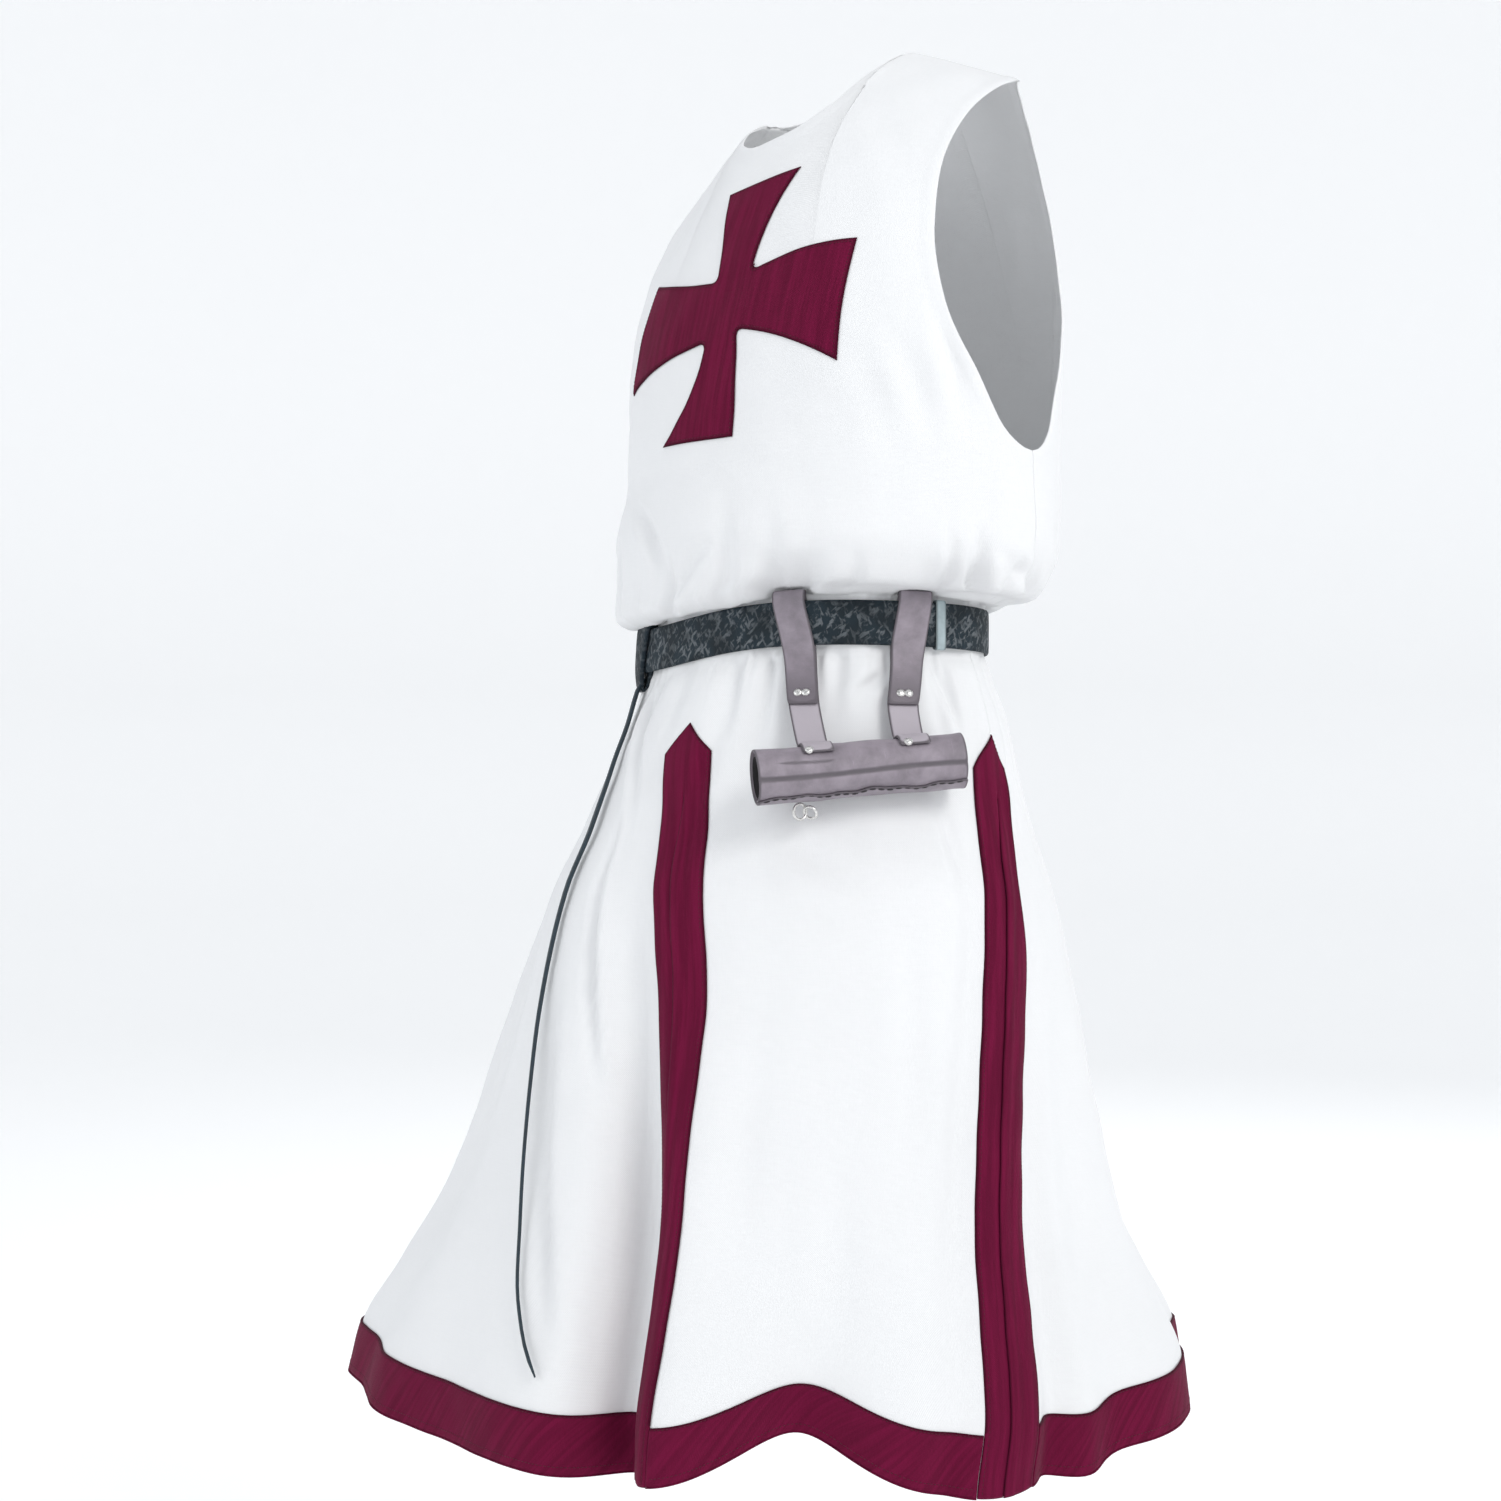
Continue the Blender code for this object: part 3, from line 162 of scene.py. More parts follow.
RINGS = named_rows(
    "Ring", "height half_width front back",
    (-0.3350, 0.216, 0.162, 0.138),
    (-0.3650, 0.215, 0.165, 0.142),
    (-0.3950, 0.215, 0.168, 0.146),
    (-0.4180, 0.2090, 0.1630, 0.1450),
    (-0.4360, 0.1980, 0.1535, 0.1395),
    (-0.4440, 0.1890, 0.1440, 0.1325),
    (-0.4480, 0.1790, 0.1335, 0.1255),
    (-0.4515, 0.1665, 0.1215, 0.1175),
    (-0.4960, 0.1665, 0.1215, 0.1175),
    (-0.5120, 0.172, 0.128, 0.124),
    (-0.5520, 0.184, 0.144, 0.139),
    (-0.6000, 0.195, 0.159, 0.154),
    (-0.6500, 0.213, 0.178, 0.174),
    (-0.7000, 0.234, 0.203, 0.198),
    (-0.8000, 0.263, 0.234, 0.231),
    (-0.8600, 0.279, 0.251, 0.250),
    (-0.9700, 0.314, 0.285, 0.287),
    (-1.0350, 0.346, 0.315, 0.318),
    (-1.1040, 0.381, 0.349, 0.352),
    (-1.1490, 0.391, 0.359, 0.362),
)

SEAMS = named_rows(
    "Seams", "height front left back right",
    (-0.335, 0.0, 90.0, 180.0, 270.0),
    (-0.420, -1.0, 91.0, 180.0, 270.0),
    (-0.475, -5.0, 93.0, 180.0, 269.0),
    (-0.552, -6.0, 93.5, 180.0, 268.0),
    (-0.650, 1.5, 87.5, 179.0, 266.0),
    (-0.800, 13.0, 80.0, 178.0, 264.0),
    (-0.970, 18.5, 72.5, 177.0, 262.0),
    (-1.149, 20.0, 66.4, 176.0, 262.0),
)

# Large folds of the skirt. A turn counts seams: 0 front centre, 1 left, 2 back centre, 3 right.

FOLDS = named_rows(
    "Fold", "turn_top turn_hem top full depth_top depth_hem reach_top reach_hem",
    (-0.25, -0.038, -0.540, -0.93, -0.008, -0.062, 0.020, 0.035),
    (-0.45, -0.300, -0.750, -1.10, 0.000, -0.028, 0.050, 0.110),
    (-0.60, -0.520, -0.560, -1.00, -0.006, -0.016, 0.018, 0.055),
    (-0.85, -0.800, -0.600, -1.05, -0.005, -0.020, 0.020, 0.060),
    (0.44, 0.440, -0.880, -1.14, -0.001, -0.055, 0.040, 0.058),
    (0.20, 0.160, -0.700, -1.00, 0.003, 0.007, 0.020, 0.030),
    (0.90, 0.830, -0.560, -0.80, -0.008, -0.010, 0.012, 0.020),
    (1.13, 1.090, -0.600, -0.95, -0.006, -0.032, 0.014, 0.030),
    (1.22, 1.200, -0.600, -1.00, -0.007, -0.024, 0.018, 0.045),
    (1.55, 1.500, -0.560, -1.00, -0.006, -0.022, 0.020, 0.060),
    (1.85, 1.800, -0.600, -1.05, -0.005, -0.020, 0.018, 0.055),
    (2.18, 2.200, -0.560, -1.00, -0.007, -0.024, 0.020, 0.060),
    (2.55, 2.520, -0.600, -1.05, -0.005, -0.020, 0.018, 0.055),
    (2.86, 2.850, -0.560, -1.00, -0.006, -0.020, 0.018, 0.050),
)

FOLD_OVER = 0.015
FOLD_OVER_RISE = 0.008
FOLD_OVER_TOP = -0.740
FOLD_OVER_FULL = -0.930
FOLD_OVER_REACH = 0.200

HEM_SWING_TOP = -0.980
HEM_SWINGS = named_rows(
    "Swing", "turn rise reach",
    (0.42, 0.036, 0.060),
    (0.95, -0.012, 0.060),
    (1.55, 0.020, 0.160),
    (2.60, 0.008, 0.140),
    (-0.05, -0.006, 0.050),
    (-0.58, 0.011, 0.130),
    (1.14, -0.012, 0.045),
)

GATHER_COUNT = 26
GATHER_DEPTH = 0.0065
GATHER_DEPTH_AT_BELT = 0.0022
GATHER_REACH = 0.010
GATHER_LENGTH_ABOVE = 0.042
GATHER_LENGTH_BELOW = 0.085
SEAM_CALM = 0.022
STRAP_PRESS = 0.0040
STRAP_PRESS_REACH = 0.030
STRAP_PRESS_LENGTH = 0.020
NOTCH_DEPTH = 0.0240
NOTCH_REACH = 0.135
DROOP_REACH = 0.16
PUCKER_DEPTH = 0.0013
PUCKER_LENGTH = 0.024

HANGERS = named_rows(
    "Hanger", "name turn drift rivet_aside",
    ("left", 22.0, 0.029, -0.008),
    ("right", 64.0, -0.0200, -0.006),
)

ARMHOLE = named_rows(
    "Armhole", "height half_width",
    (0.00, 0.216),
    (0.04, 0.212),
    (0.14, 0.205),
    (0.27, 0.192),
    (0.41, 0.180),
    (0.55, 0.176),
    (0.69, 0.182),
    (0.82, 0.192),
    (0.94, 0.203),
    (1.00, SHOULDER_HALF_WIDTH),
)

Yoke = namedtuple("Yoke", "side depth round neck_angle")
FRONT_YOKE = Yoke(-1.0, RINGS[0].front, 1.30, 53.0)
BACK_YOKE = Yoke(1.0, RINGS[0].back, 1.05, 70.0)

TAIL = named_rows(
    "TailPoint", "height turn",
    (-0.5000, -48.0),
    (-0.560, -41.5),
    (-0.630, -35.0),
    (-0.700, -30.0),
    (-0.780, -24.5),
    (-0.870, -18.0),
    (-0.950, -12.5),
    (-1.010, -7.0),
    (-1.050, -1.5),
    (-1.078, 3.5),
)
TAIL_REST = 0.0058

# Creases, given one by one. On the skirt and waist a place is a turn counted in seams; on the chest
# and upper back it is metres sideways. Depth is that of the trough, width its half width, lean
# tips it to one side, and peak says how far along it is deepest.

Crease = namedtuple("Crease", "where x1 z1 x2 z2 bend depth width lean peak")
CHEST_CREASES = [
    # underarm, wearer's left
    (0.180, -0.195, 0.196, -0.330, 0.006, 0.0034, 0.012, 0.4, 0.55),
    (0.150, -0.215, 0.178, -0.345, 0.008, 0.0026, 0.017, 0.5, 0.60),
    (0.120, -0.235, 0.165, -0.372, 0.010, 0.0015, 0.020, 0.3, 0.50),
    # underarm, wearer's right
    (-0.182, -0.200, -0.198, -0.325, -0.006, 0.0030, 0.013, -0.4, 0.50),
    (-0.150, -0.230, -0.182, -0.360, -0.010, 0.0022, 0.018, -0.3, 0.55),
    # chest
    (0.070, -0.030, 0.150, -0.120, 0.010, 0.0012, 0.018, 0.2, 0.40),
    (-0.078, -0.045, -0.140, -0.150, -0.012, 0.0014, 0.020, -0.2, 0.45),
    (0.060, -0.325, 0.155, -0.300, 0.012, 0.0012, 0.022, 0.3, 0.60),
]
BLOUSE_CREASES = [
    # blouse over the belt, front
    (3.60, -0.362, 3.83, -0.438, 0.03, 0.0048, 0.011, 0.5, 0.45),
    (4.06, -0.398, 3.88, -0.445, -0.05, 0.0040, 0.010, -0.5, 0.60),
    (3.82, -0.400, 3.86, -0.448, 0.00, 0.0042, 0.007, 0.2, 0.85),
    (4.15, -0.420, 4.20, -0.449, 0.00, 0.0030, 0.008, 0.3, 0.80),
    (4.69, -0.401, 4.89, -0.447, 0.01, 0.0034, 0.007, 0.4, 0.60),
    (4.75, -0.397, 5.24, -0.446, 0.04, 0.0032, 0.008, 0.3, 0.55),
    (4.90, -0.428, 4.97, -0.407, 0.00, 0.0030, 0.006, -0.3, 0.50),
    (3.48, -0.385, 3.52, -0.448, 0.02, 0.0046, 0.010, -0.3, 0.70),
    (3.27, -0.370, 3.36, -0.448, 0.02, 0.0040, 0.012, 0.4, 0.70),
    (4.66, -0.378, 4.70, -0.449, 0.01, 0.0044, 0.008, 0.3, 0.75),
    (4.76, -0.372, 4.86, -0.449, -0.02, 0.0048, 0.009, -0.4, 0.75),
    (4.87, -0.395, 4.93, -0.449, 0.01, 0.0036, 0.007, 0.3, 0.80),
    (4.96, -0.378, 5.08, -0.448, 0.02, 0.0040, 0.009, 0.4, 0.70),
    (4.40, -0.402, 4.44, -0.449, 0.01, 0.0026, 0.009, -0.2, 0.80),
    # blouse, back
    (1.16, -0.372, 1.24, -0.448, 0.02, 0.0042, 0.010, 0.4, 0.70),
    (1.34, -0.396, 1.36, -0.449, 0.01, 0.0036, 0.008, -0.3, 0.80),
    (1.50, -0.362, 1.57, -0.448, -0.02, 0.0046, 0.011, 0.3, 0.70),
    (1.72, -0.390, 1.70, -0.449, 0.01, 0.0034, 0.008, -0.3, 0.80),
    (1.90, -0.372, 1.86, -0.448, 0.02, 0.0044, 0.010, 0.4, 0.72),
    (2.08, -0.398, 2.11, -0.449, 0.00, 0.0034, 0.008, 0.2, 0.80),
    (2.27, -0.366, 2.22, -0.448, -0.02, 0.0046, 0.011, -0.4, 0.70),
    (2.46, -0.392, 2.48, -0.449, 0.01, 0.0036, 0.009, 0.3, 0.80),
    (2.66, -0.376, 2.60, -0.448, 0.02, 0.0040, 0.010, -0.3, 0.72),
    (2.83, -0.396, 2.86, -0.449, 0.00, 0.0034, 0.008, 0.3, 0.80),
]
BACK_CREASES = [
    # upper back
    (0.185, -0.180, 0.172, -0.330, -0.010, 0.0030, 0.014, -0.4, 0.50),
    (-0.182, -0.190, -0.176, -0.335, 0.010, 0.0028, 0.014, 0.4, 0.50),
    (0.130, -0.110, 0.060, -0.230, 0.015, 0.0016, 0.022, 0.3, 0.45),
    (-0.120, -0.130, -0.050, -0.250, -0.015, 0.0018, 0.022, -0.3, 0.50),
    (0.100, -0.300, -0.020, -0.380, 0.020, 0.0018, 0.020, 0.4, 0.55),
    (-0.140, -0.310, -0.060, -0.395, -0.015, 0.0016, 0.018, -0.4, 0.60),
]
SKIRT_CREASES = [
    # skirt front, from the belt down
    (3.60, -0.498, 3.80, -0.700, 0.05, 0.0040, 0.009, 0.5, 0.15),
    (3.74, -0.610, 3.90, -0.930, -0.03, 0.0050, 0.009, -0.6, 0.40),
    (3.66, -0.740, 3.76, -1.000, 0.02, 0.0050, 0.020, -0.5, 0.50),
    (3.73, -0.850, 3.89, -1.088, -0.02, 0.0050, 0.013, -0.5, 0.55),
    (4.10, -0.497, 4.13, -0.600, 0.01, 0.0022, 0.008, 0.3, 0.15),
    (4.22, -0.497, 4.25, -0.575, 0.00, 0.0030, 0.006, -0.3, 0.12),
    (4.62, -0.508, 4.48, -0.548, -0.02, 0.0026, 0.009, 0.4, 0.50),
    (4.51, -0.534, 4.61, -0.519, 0.00, 0.0024, 0.007, 0.3, 0.50),
    (4.36, -0.497, 4.40, -0.560, 0.00, 0.0024, 0.007, 0.2, 0.15),
    (4.77, -0.498, 4.88, -0.600, 0.01, 0.0036, 0.007, 0.4, 0.30),
    (4.83, -0.498, 4.86, -0.570, 0.00, 0.0028, 0.006, -0.3, 0.25),
    (4.72, -0.600, 4.84, -0.720, 0.02, 0.0034, 0.012, 0.4, 0.45),
    (4.30, -0.640, 4.56, -0.700, -0.04, 0.0022, 0.016, 0.2, 0.50),
    (4.64, -0.700, 4.66, -0.960, 0.01, 0.0024, 0.020, 0.3, 0.45),
    (4.24, -0.760, 4.22, -1.040, 0.01, 0.0022, 0.022, -0.3, 0.50),
    (4.46, -0.860, 4.50, -1.080, 0.01, 0.0030, 0.024, 0.3, 0.60),
    (3.36, -0.500, 3.40, -0.760, 0.02, 0.0050, 0.012, 0.4, 0.25),
    (3.48, -0.620, 3.55, -0.980, 0.02, 0.0050, 0.018, -0.4, 0.45),
    (3.18, -0.500, 3.24, -0.740, 0.02, 0.0044, 0.011, -0.3, 0.22),
    (3.22, -0.760, 3.26, -1.080, 0.01, 0.0050, 0.022, 0.4, 0.55),
    # skirt back
    (1.14, -0.560, 1.10, -0.690, -0.01, 0.0060, 0.010, 0.6, 0.45),
    (1.10, -0.497, 1.18, -0.680, 0.01, 0.0038, 0.009, 0.3, 0.20),
    (1.24, -0.498, 1.32, -0.760, -0.02, 0.0046, 0.011, -0.4, 0.22),
    (1.30, -0.700, 1.40, -1.040, 0.02, 0.0050, 0.020, 0.4, 0.50),
    (1.44, -0.498, 1.42, -0.680, 0.01, 0.0040, 0.009, 0.3, 0.20),
    (1.62, -0.498, 1.68, -0.820, 0.02, 0.0048, 0.013, -0.4, 0.25),
    (1.70, -0.780, 1.66, -1.080, 0.02, 0.0054, 0.022, 0.3, 0.50),
    (1.80, -0.498, 1.76, -0.640, 0.01, 0.0036, 0.008, 0.3, 0.20),
    (1.98, -0.498, 2.02, -0.780, -0.02, 0.0046, 0.012, 0.4, 0.22),
    (2.02, -0.800, 1.98, -1.090, 0.02, 0.0052, 0.022, -0.3, 0.50),
    (2.14, -0.498, 2.12, -0.660, 0.01, 0.0038, 0.009, -0.3, 0.20),
    (2.34, -0.498, 2.40, -0.800, 0.02, 0.0048, 0.012, 0.4, 0.25),
    (2.38, -0.780, 2.36, -1.060, 0.01, 0.0050, 0.022, -0.4, 0.50),
    (2.52, -0.498, 2.48, -0.650, 0.01, 0.0038, 0.009, 0.3, 0.20),
    (2.70, -0.498, 2.74, -0.790, -0.02, 0.0046, 0.012, -0.4, 0.24),
    (2.68, -0.800, 2.72, -1.080, 0.02, 0.0050, 0.020, 0.4, 0.55),
    (2.88, -0.498, 2.86, -0.700, 0.01, 0.0040, 0.010, 0.3, 0.22),
]
CREASES = [
    Crease(where, *row)
    for where, rows in (
        ("front", CHEST_CREASES), ("skirt", BLOUSE_CREASES),
        ("back", BACK_CREASES), ("skirt", SKIRT_CREASES),
    )
    for row in rows
]

CREASE_POINTS = 11
CREASE_FORCE = 1.6
BAND_RISE = 0.0019
BAND_EDGE_RISE = 0.0003
EDGE_COLUMNS = (0.0, 0.0012, 0.0028, 0.0055, 0.0090, 0.0130, 0.0175, 0.0225, 0.0275, 0.0330)


def eased(table, name, height):
    """One named column of a table at a height, as a monotone cubic through its rows."""
    rows = sorted(table, key=lambda row: row.height)
    x = np.array([row.height for row in rows])
    y = np.array([getattr(row, name) for row in rows])
    gap = np.diff(x)
    slope = np.diff(y) / gap
    tangent = np.zeros_like(y)
    tangent[0], tangent[-1] = slope[0], slope[-1]
    product = slope[:-1] * slope[1:]
    total = np.where(product > 0, slope[:-1] + slope[1:], 1.0)
    tangent[1:-1] = np.where(product > 0, 2.0 * product / total, 0.0)
    height = np.clip(height, x[0], x[-1])
    i = np.clip(np.searchsorted(x, height, side="right") - 1, 0, len(gap) - 1)
    t = (height - x[i]) / gap[i]
    return (
        y[i] * (1 + 2 * t) * (1 - t) ** 2
        + tangent[i] * gap[i] * t * (1 - t) ** 2
        + y[i + 1] * t * t * (3 - 2 * t)
        - tangent[i + 1] * gap[i] * t * t * (1 - t)
    )


def smoothstep(low, high, value):
    """0 below low, 1 above high, with a soft change between."""
    t = np.clip((value - low) / (high - low), 0.0, 1.0)
    return t * t * (3.0 - 2.0 * t)


def posed(points):
    """Upright points given the wearer's stance."""
    points = np.asarray(points, dtype=float)
    x, y, z = points[..., 0], points[..., 1], points[..., 2]
    lift = eased(STANCE, "lift", z)
    rise = eased(STANCE, "rise", z)
    sag = belt_sag(x, y, z)
    twist = np.radians(eased(STANCE, "twist", z))
    x, y = x * np.cos(twist) - y * np.sin(twist), x * np.sin(twist) + y * np.cos(twist)
    return np.stack([
        x + eased(STANCE, "shift_x", z),
        y + eased(STANCE, "shift_y", z),
        z + lift * x - rise * y - sag,
    ], axis=-1)


def belt_sag(x, y, height):
    """How far belt and cloth sink at the wearer's right front, under the knot and the tail."""
    turn = np.degrees(np.arctan2(x, -y))
    sag = SAG * bump(turn - SAG_TURN, SAG_SPREAD) * smoothstep(*SAG_BELOW, height)
    return sag * (1.0 - smoothstep(*SAG_ABOVE, height))


def ring_axes(turn, height):
    """Half width and depth of the ring on the side that a turn, in radians, lies on."""
    front = np.cos(turn) > 0
    depth = np.where(front, eased(RINGS, "front", height), eased(RINGS, "back", height))
    return eased(RINGS, "half_width", height), depth


def ring_arcs(height):
    """Arc length round the ring at a height, from the front, as a table over two turns."""
    turns = np.linspace(-math.pi, 3.0 * math.pi, 1441)
    width, depth = ring_axes(turns, height)
    points = np.stack([width * np.sin(turns), -depth * np.cos(turns)], axis=-1)
    return turns, run_length(points)


def seam_turn(name, height):
    """Turn of a seam, in radians."""
    return np.radians(eased(SEAMS, name, height))


def turn_at(seams_passed, height):
    """Turn in radians of a place counted in seams: 0 front, 1 left, 2 back, 3 right."""
    whole = math.floor(seams_passed / 4.0) * 4.0
    stations = [seam_turn(name, height) for name in ("front", "left", "back", "right")]
    stations.append(stations[0] + 2.0 * math.pi)
    spread = np.interp(seams_passed - whole, [0, 1, 2, 3, 4], np.array(stations, dtype=float))
    return spread + whole * math.pi / 2.0


def arc_between(turns, centre, table):
    """Signed arc length from a centre to each turn, the short way round."""
    angles, arcs = table
    total = np.interp(3.0 * math.pi, angles, arcs) - np.interp(math.pi, angles, arcs)
    there = np.interp(np.mod(turns, 2.0 * math.pi), angles, arcs)
    here = np.interp(np.mod(centre, 2.0 * math.pi), angles, arcs)
    return np.mod(there - here + total / 2.0, total) - total / 2.0


def bump(arc, reach):
    """Soft rise and fall across a fold of the given half width."""
    return np.exp(-((arc / reach) ** 2))


def skirt_folds(turns, height, table):
    """Outward shift from the large folds."""
    shift = np.zeros_like(turns)
    if height > VENT_TIP + 0.03:
        return shift
    for fold in FOLDS:
        down = np.clip((fold.top - height) / (fold.top - HEM), 0.0, 1.0)
        grown = smoothstep(fold.top, fold.full, height)
        depth = (fold.depth_top + (fold.depth_hem - fold.depth_top) * down) * grown
        reach = fold.reach_top + (fold.reach_hem - fold.reach_top) * down
        centre = turn_at(fold.turn_top + (fold.turn_hem - fold.turn_top) * down ** 0.4, height)
        shift += depth * bump(arc_between(turns, centre, table), reach)
    return shift


def gather_shift(turns, height, table):
    """Inward troughs of the gathers above and below the belt, each of its own depth and length."""
    shift = np.zeros_like(turns)
    above = height > BELT_HEIGHT
    away = max(abs(height - BELT_HEIGHT) - BELT_WIDTH / 2.0, 0.0)
    for k in range(GATHER_COUNT):
        vary = math.sin(2.4 * k + 0.7)
        other = math.sin(5.1 * k + 1.9)
        length = (GATHER_LENGTH_ABOVE if above else GATHER_LENGTH_BELOW) * (1.0 + 0.4 * other)
        free = GATHER_DEPTH * (1.0 + 0.45 * vary) * smoothstep(0.0, 0.014, away)
        free *= 1.0 if above else 0.62
        depth = (GATHER_DEPTH_AT_BELT + free) * bump(away, length)
        centre = 2.0 * math.pi * (k + 0.28 * other) / GATHER_COUNT
        shift -= depth * bump(arc_between(turns, centre, table), GATHER_REACH)
    for seam in ("left", "right"):
        shift *= 1.0 - bump(arc_between(turns, seam_turn(seam, height), table), SEAM_CALM)
    return shift


def strap_press(turns, height, table):
    """Inward shift where a strap runs behind the belt."""
    shift = np.zeros_like(turns)
    away = max(abs(height - BELT_HEIGHT) - BELT_WIDTH / 2.0, 0.0)
    fade = bump(away, STRAP_PRESS_LENGTH)
    for turn in [hanger.turn for hanger in HANGERS] + [WRAP_TURN, KEEPER_TURN]:
        arc = np.abs(arc_between(turns, math.radians(turn), table))
        plateau = 1.0 - smoothstep(STRAP_PRESS_REACH * 0.8, STRAP_PRESS_REACH * 1.5, arc)
        shift = np.minimum(shift, -STRAP_PRESS * fade * plateau)
    return shift


def hem_rise(turns, height, table):
    """Upward and downward swings of the hem."""
    rise = np.zeros_like(turns)
    grown = smoothstep(HEM_SWING_TOP, HEM, height)
    for swing in HEM_SWINGS:
        arc = arc_between(turns, turn_at(swing.turn, height), table)
        rise += swing.rise * grown * bump(arc, swing.reach)
    return rise


def vent_fold(turns, height, table):
    """The fold that the front's left half makes over the front vent: turn and outward shift."""
    arc = arc_between(turns, seam_turn("front", height), table)
    grown = smoothstep(FOLD_OVER_TOP, FOLD_OVER_FULL, height)
    side = VENT_BAND_WIDTH / 2.0
    over = smoothstep(-side, side, arc) * (1.0 - smoothstep(1.5 * side, FOLD_OVER_REACH, arc))
    width, depth = ring_axes(turns, height)
    stretch = np.hypot(width * np.cos(turns), depth * np.sin(turns))
    return -FOLD_OVER * grown * over / stretch, FOLD_OVER_RISE * grown * bump(arc - side, side)


def ring_points(turns, height, out=0.0):
    """Upright points on the cloth's outer side at a height below the underarm."""
    turns = np.asarray(turns, dtype=float)
    width, depth = ring_axes(turns, height)
    table = ring_arcs(height)
    shift = skirt_folds(turns, height, table)
    if height < UNDERARM - 0.01:
        gathers = gather_shift(turns, height, table)
        shift = shift + np.minimum(gathers, strap_press(turns, height, table))
    risen = height + hem_rise(turns, height, table)
    across, rise = vent_fold(turns, height, table)
    shift = shift + rise
    turns = turns + across
    width, depth = ring_axes(turns, height)
    normal = np.stack([depth * np.sin(turns), -width * np.cos(turns)], axis=-1)
    normal /= np.linalg.norm(normal, axis=-1, keepdims=True)
    flat = np.stack([width * np.sin(turns), -depth * np.cos(turns)], axis=-1)
    flat = flat + normal * (shift + out)[..., None]
    return np.concatenate([flat, risen[..., None]], axis=-1)


def vent_gap(seam, height):
    """Distance between the two edges of the cloth at a seam, nothing where it is sewn."""
    return VENT_SPREAD[seam] * smoothstep(VENT_TOP, HEM, height)


def shoulder_top(x):
    """Height of the shoulder line, carried on smoothly over the neck."""
    x = np.abs(x)
    bend = SHOULDER_SLOPE / (2.0 * NECK_HALF_WIDTH)
    over_neck = SHOULDER_HEIGHT + bend * (NECK_HALF_WIDTH ** 2 - x * x)
    along = SHOULDER_HEIGHT - SHOULDER_SLOPE * (x - NECK_HALF_WIDTH)
    return np.where(x < NECK_HALF_WIDTH, over_neck, along)


def yoke_point(yoke, x, angle):
    """Upright point of the yoke: the angle runs from 0 at the underarm to 90 on the shoulder."""
    power = 2.0 + CHEST_SQUARE * smoothstep(0.0, 1.0, 2.0 * angle)
    across = np.clip(1.0 - np.abs(x / RINGS[0].half_width) ** power, 0.0, 1.0) ** (1.0 / power)
    depth = yoke.depth * across * np.clip(np.cos(angle), 0.0, 1.0) ** yoke.round
    height = UNDERARM + (shoulder_top(x) - UNDERARM) * np.sin(angle)
    return np.stack([x, yoke.side * depth, height], axis=-1)


def body_place(yoke, x, height):
    """Upright point of the cloth at a sideways place and a height, above or below the underarm."""
    if height > UNDERARM:
        sine = (height - UNDERARM) / (shoulder_top(x) - UNDERARM)
        return yoke_point(yoke, x, np.arcsin(np.clip(sine, 0.0, 1.0)))
    turn = math.asin(np.clip(x / eased(RINGS, "half_width", height), -1.0, 1.0))
    if yoke is BACK_YOKE:
        turn = math.pi - turn
    return ring_points(np.array([turn]), height)[0]


def unit(vectors):
    """Vectors of length one."""
    return vectors / np.maximum(np.linalg.norm(vectors, axis=-1, keepdims=True), 1e-12)


def run_length(points):
    """Distance of each point from the start of its path, or of its row in a lattice."""
    steps = np.linalg.norm(np.diff(points, axis=-2), axis=-1)
    return np.concatenate([np.zeros((*steps.shape[:-1], 1)), np.cumsum(steps, axis=-1)], axis=-1)


def outward(lattice, spread=0):
    """Outward unit normals of a lattice of posed points, evened out over some columns."""
    facing = np.cross(np.gradient(lattice, axis=1), np.gradient(lattice, axis=0))
    padded = np.pad(facing, ((0, 0), (spread, spread), (0, 0)), mode="edge")
    return unit(sum(padded[:, k:k + facing.shape[1]] for k in range(2 * spread + 1)))


def nearest(points, path):
    """Vector from a path to each point, its length, and the segment and share where it starts."""
    step = np.diff(path, axis=0)
    apart = points[:, None] - path[:-1]
    share = np.clip((apart * step).sum(-1) / np.maximum((step ** 2).sum(-1), 1e-18), 0.0, 1.0)
    away = apart - step * share[..., None]
    length = np.linalg.norm(away, axis=-1)
    segment = length.argmin(axis=1)
    row = np.arange(len(points))
    return away[row, segment], length[row, segment], segment, share[row, segment]


def crease_path(crease):
    """Upright points that a crease follows."""
    share = np.linspace(0.0, 1.0, CREASE_POINTS)
    across = crease.x1 + (crease.x2 - crease.x1) * share + crease.bend * np.sin(math.pi * share)
    heights = crease.z1 + (crease.z2 - crease.z1) * share
    if crease.where == "skirt":
        return np.array([
            ring_points(np.array([turn_at(place, height)]), height)[0]
            for place, height in zip(across, heights)
        ])
    yoke = FRONT_YOKE if crease.where == "front" else BACK_YOKE
    return np.array([body_place(yoke, x, height) for x, height in zip(across, heights)])


CREASE_PATHS = [(crease, crease_path(crease)) for crease in CREASES]


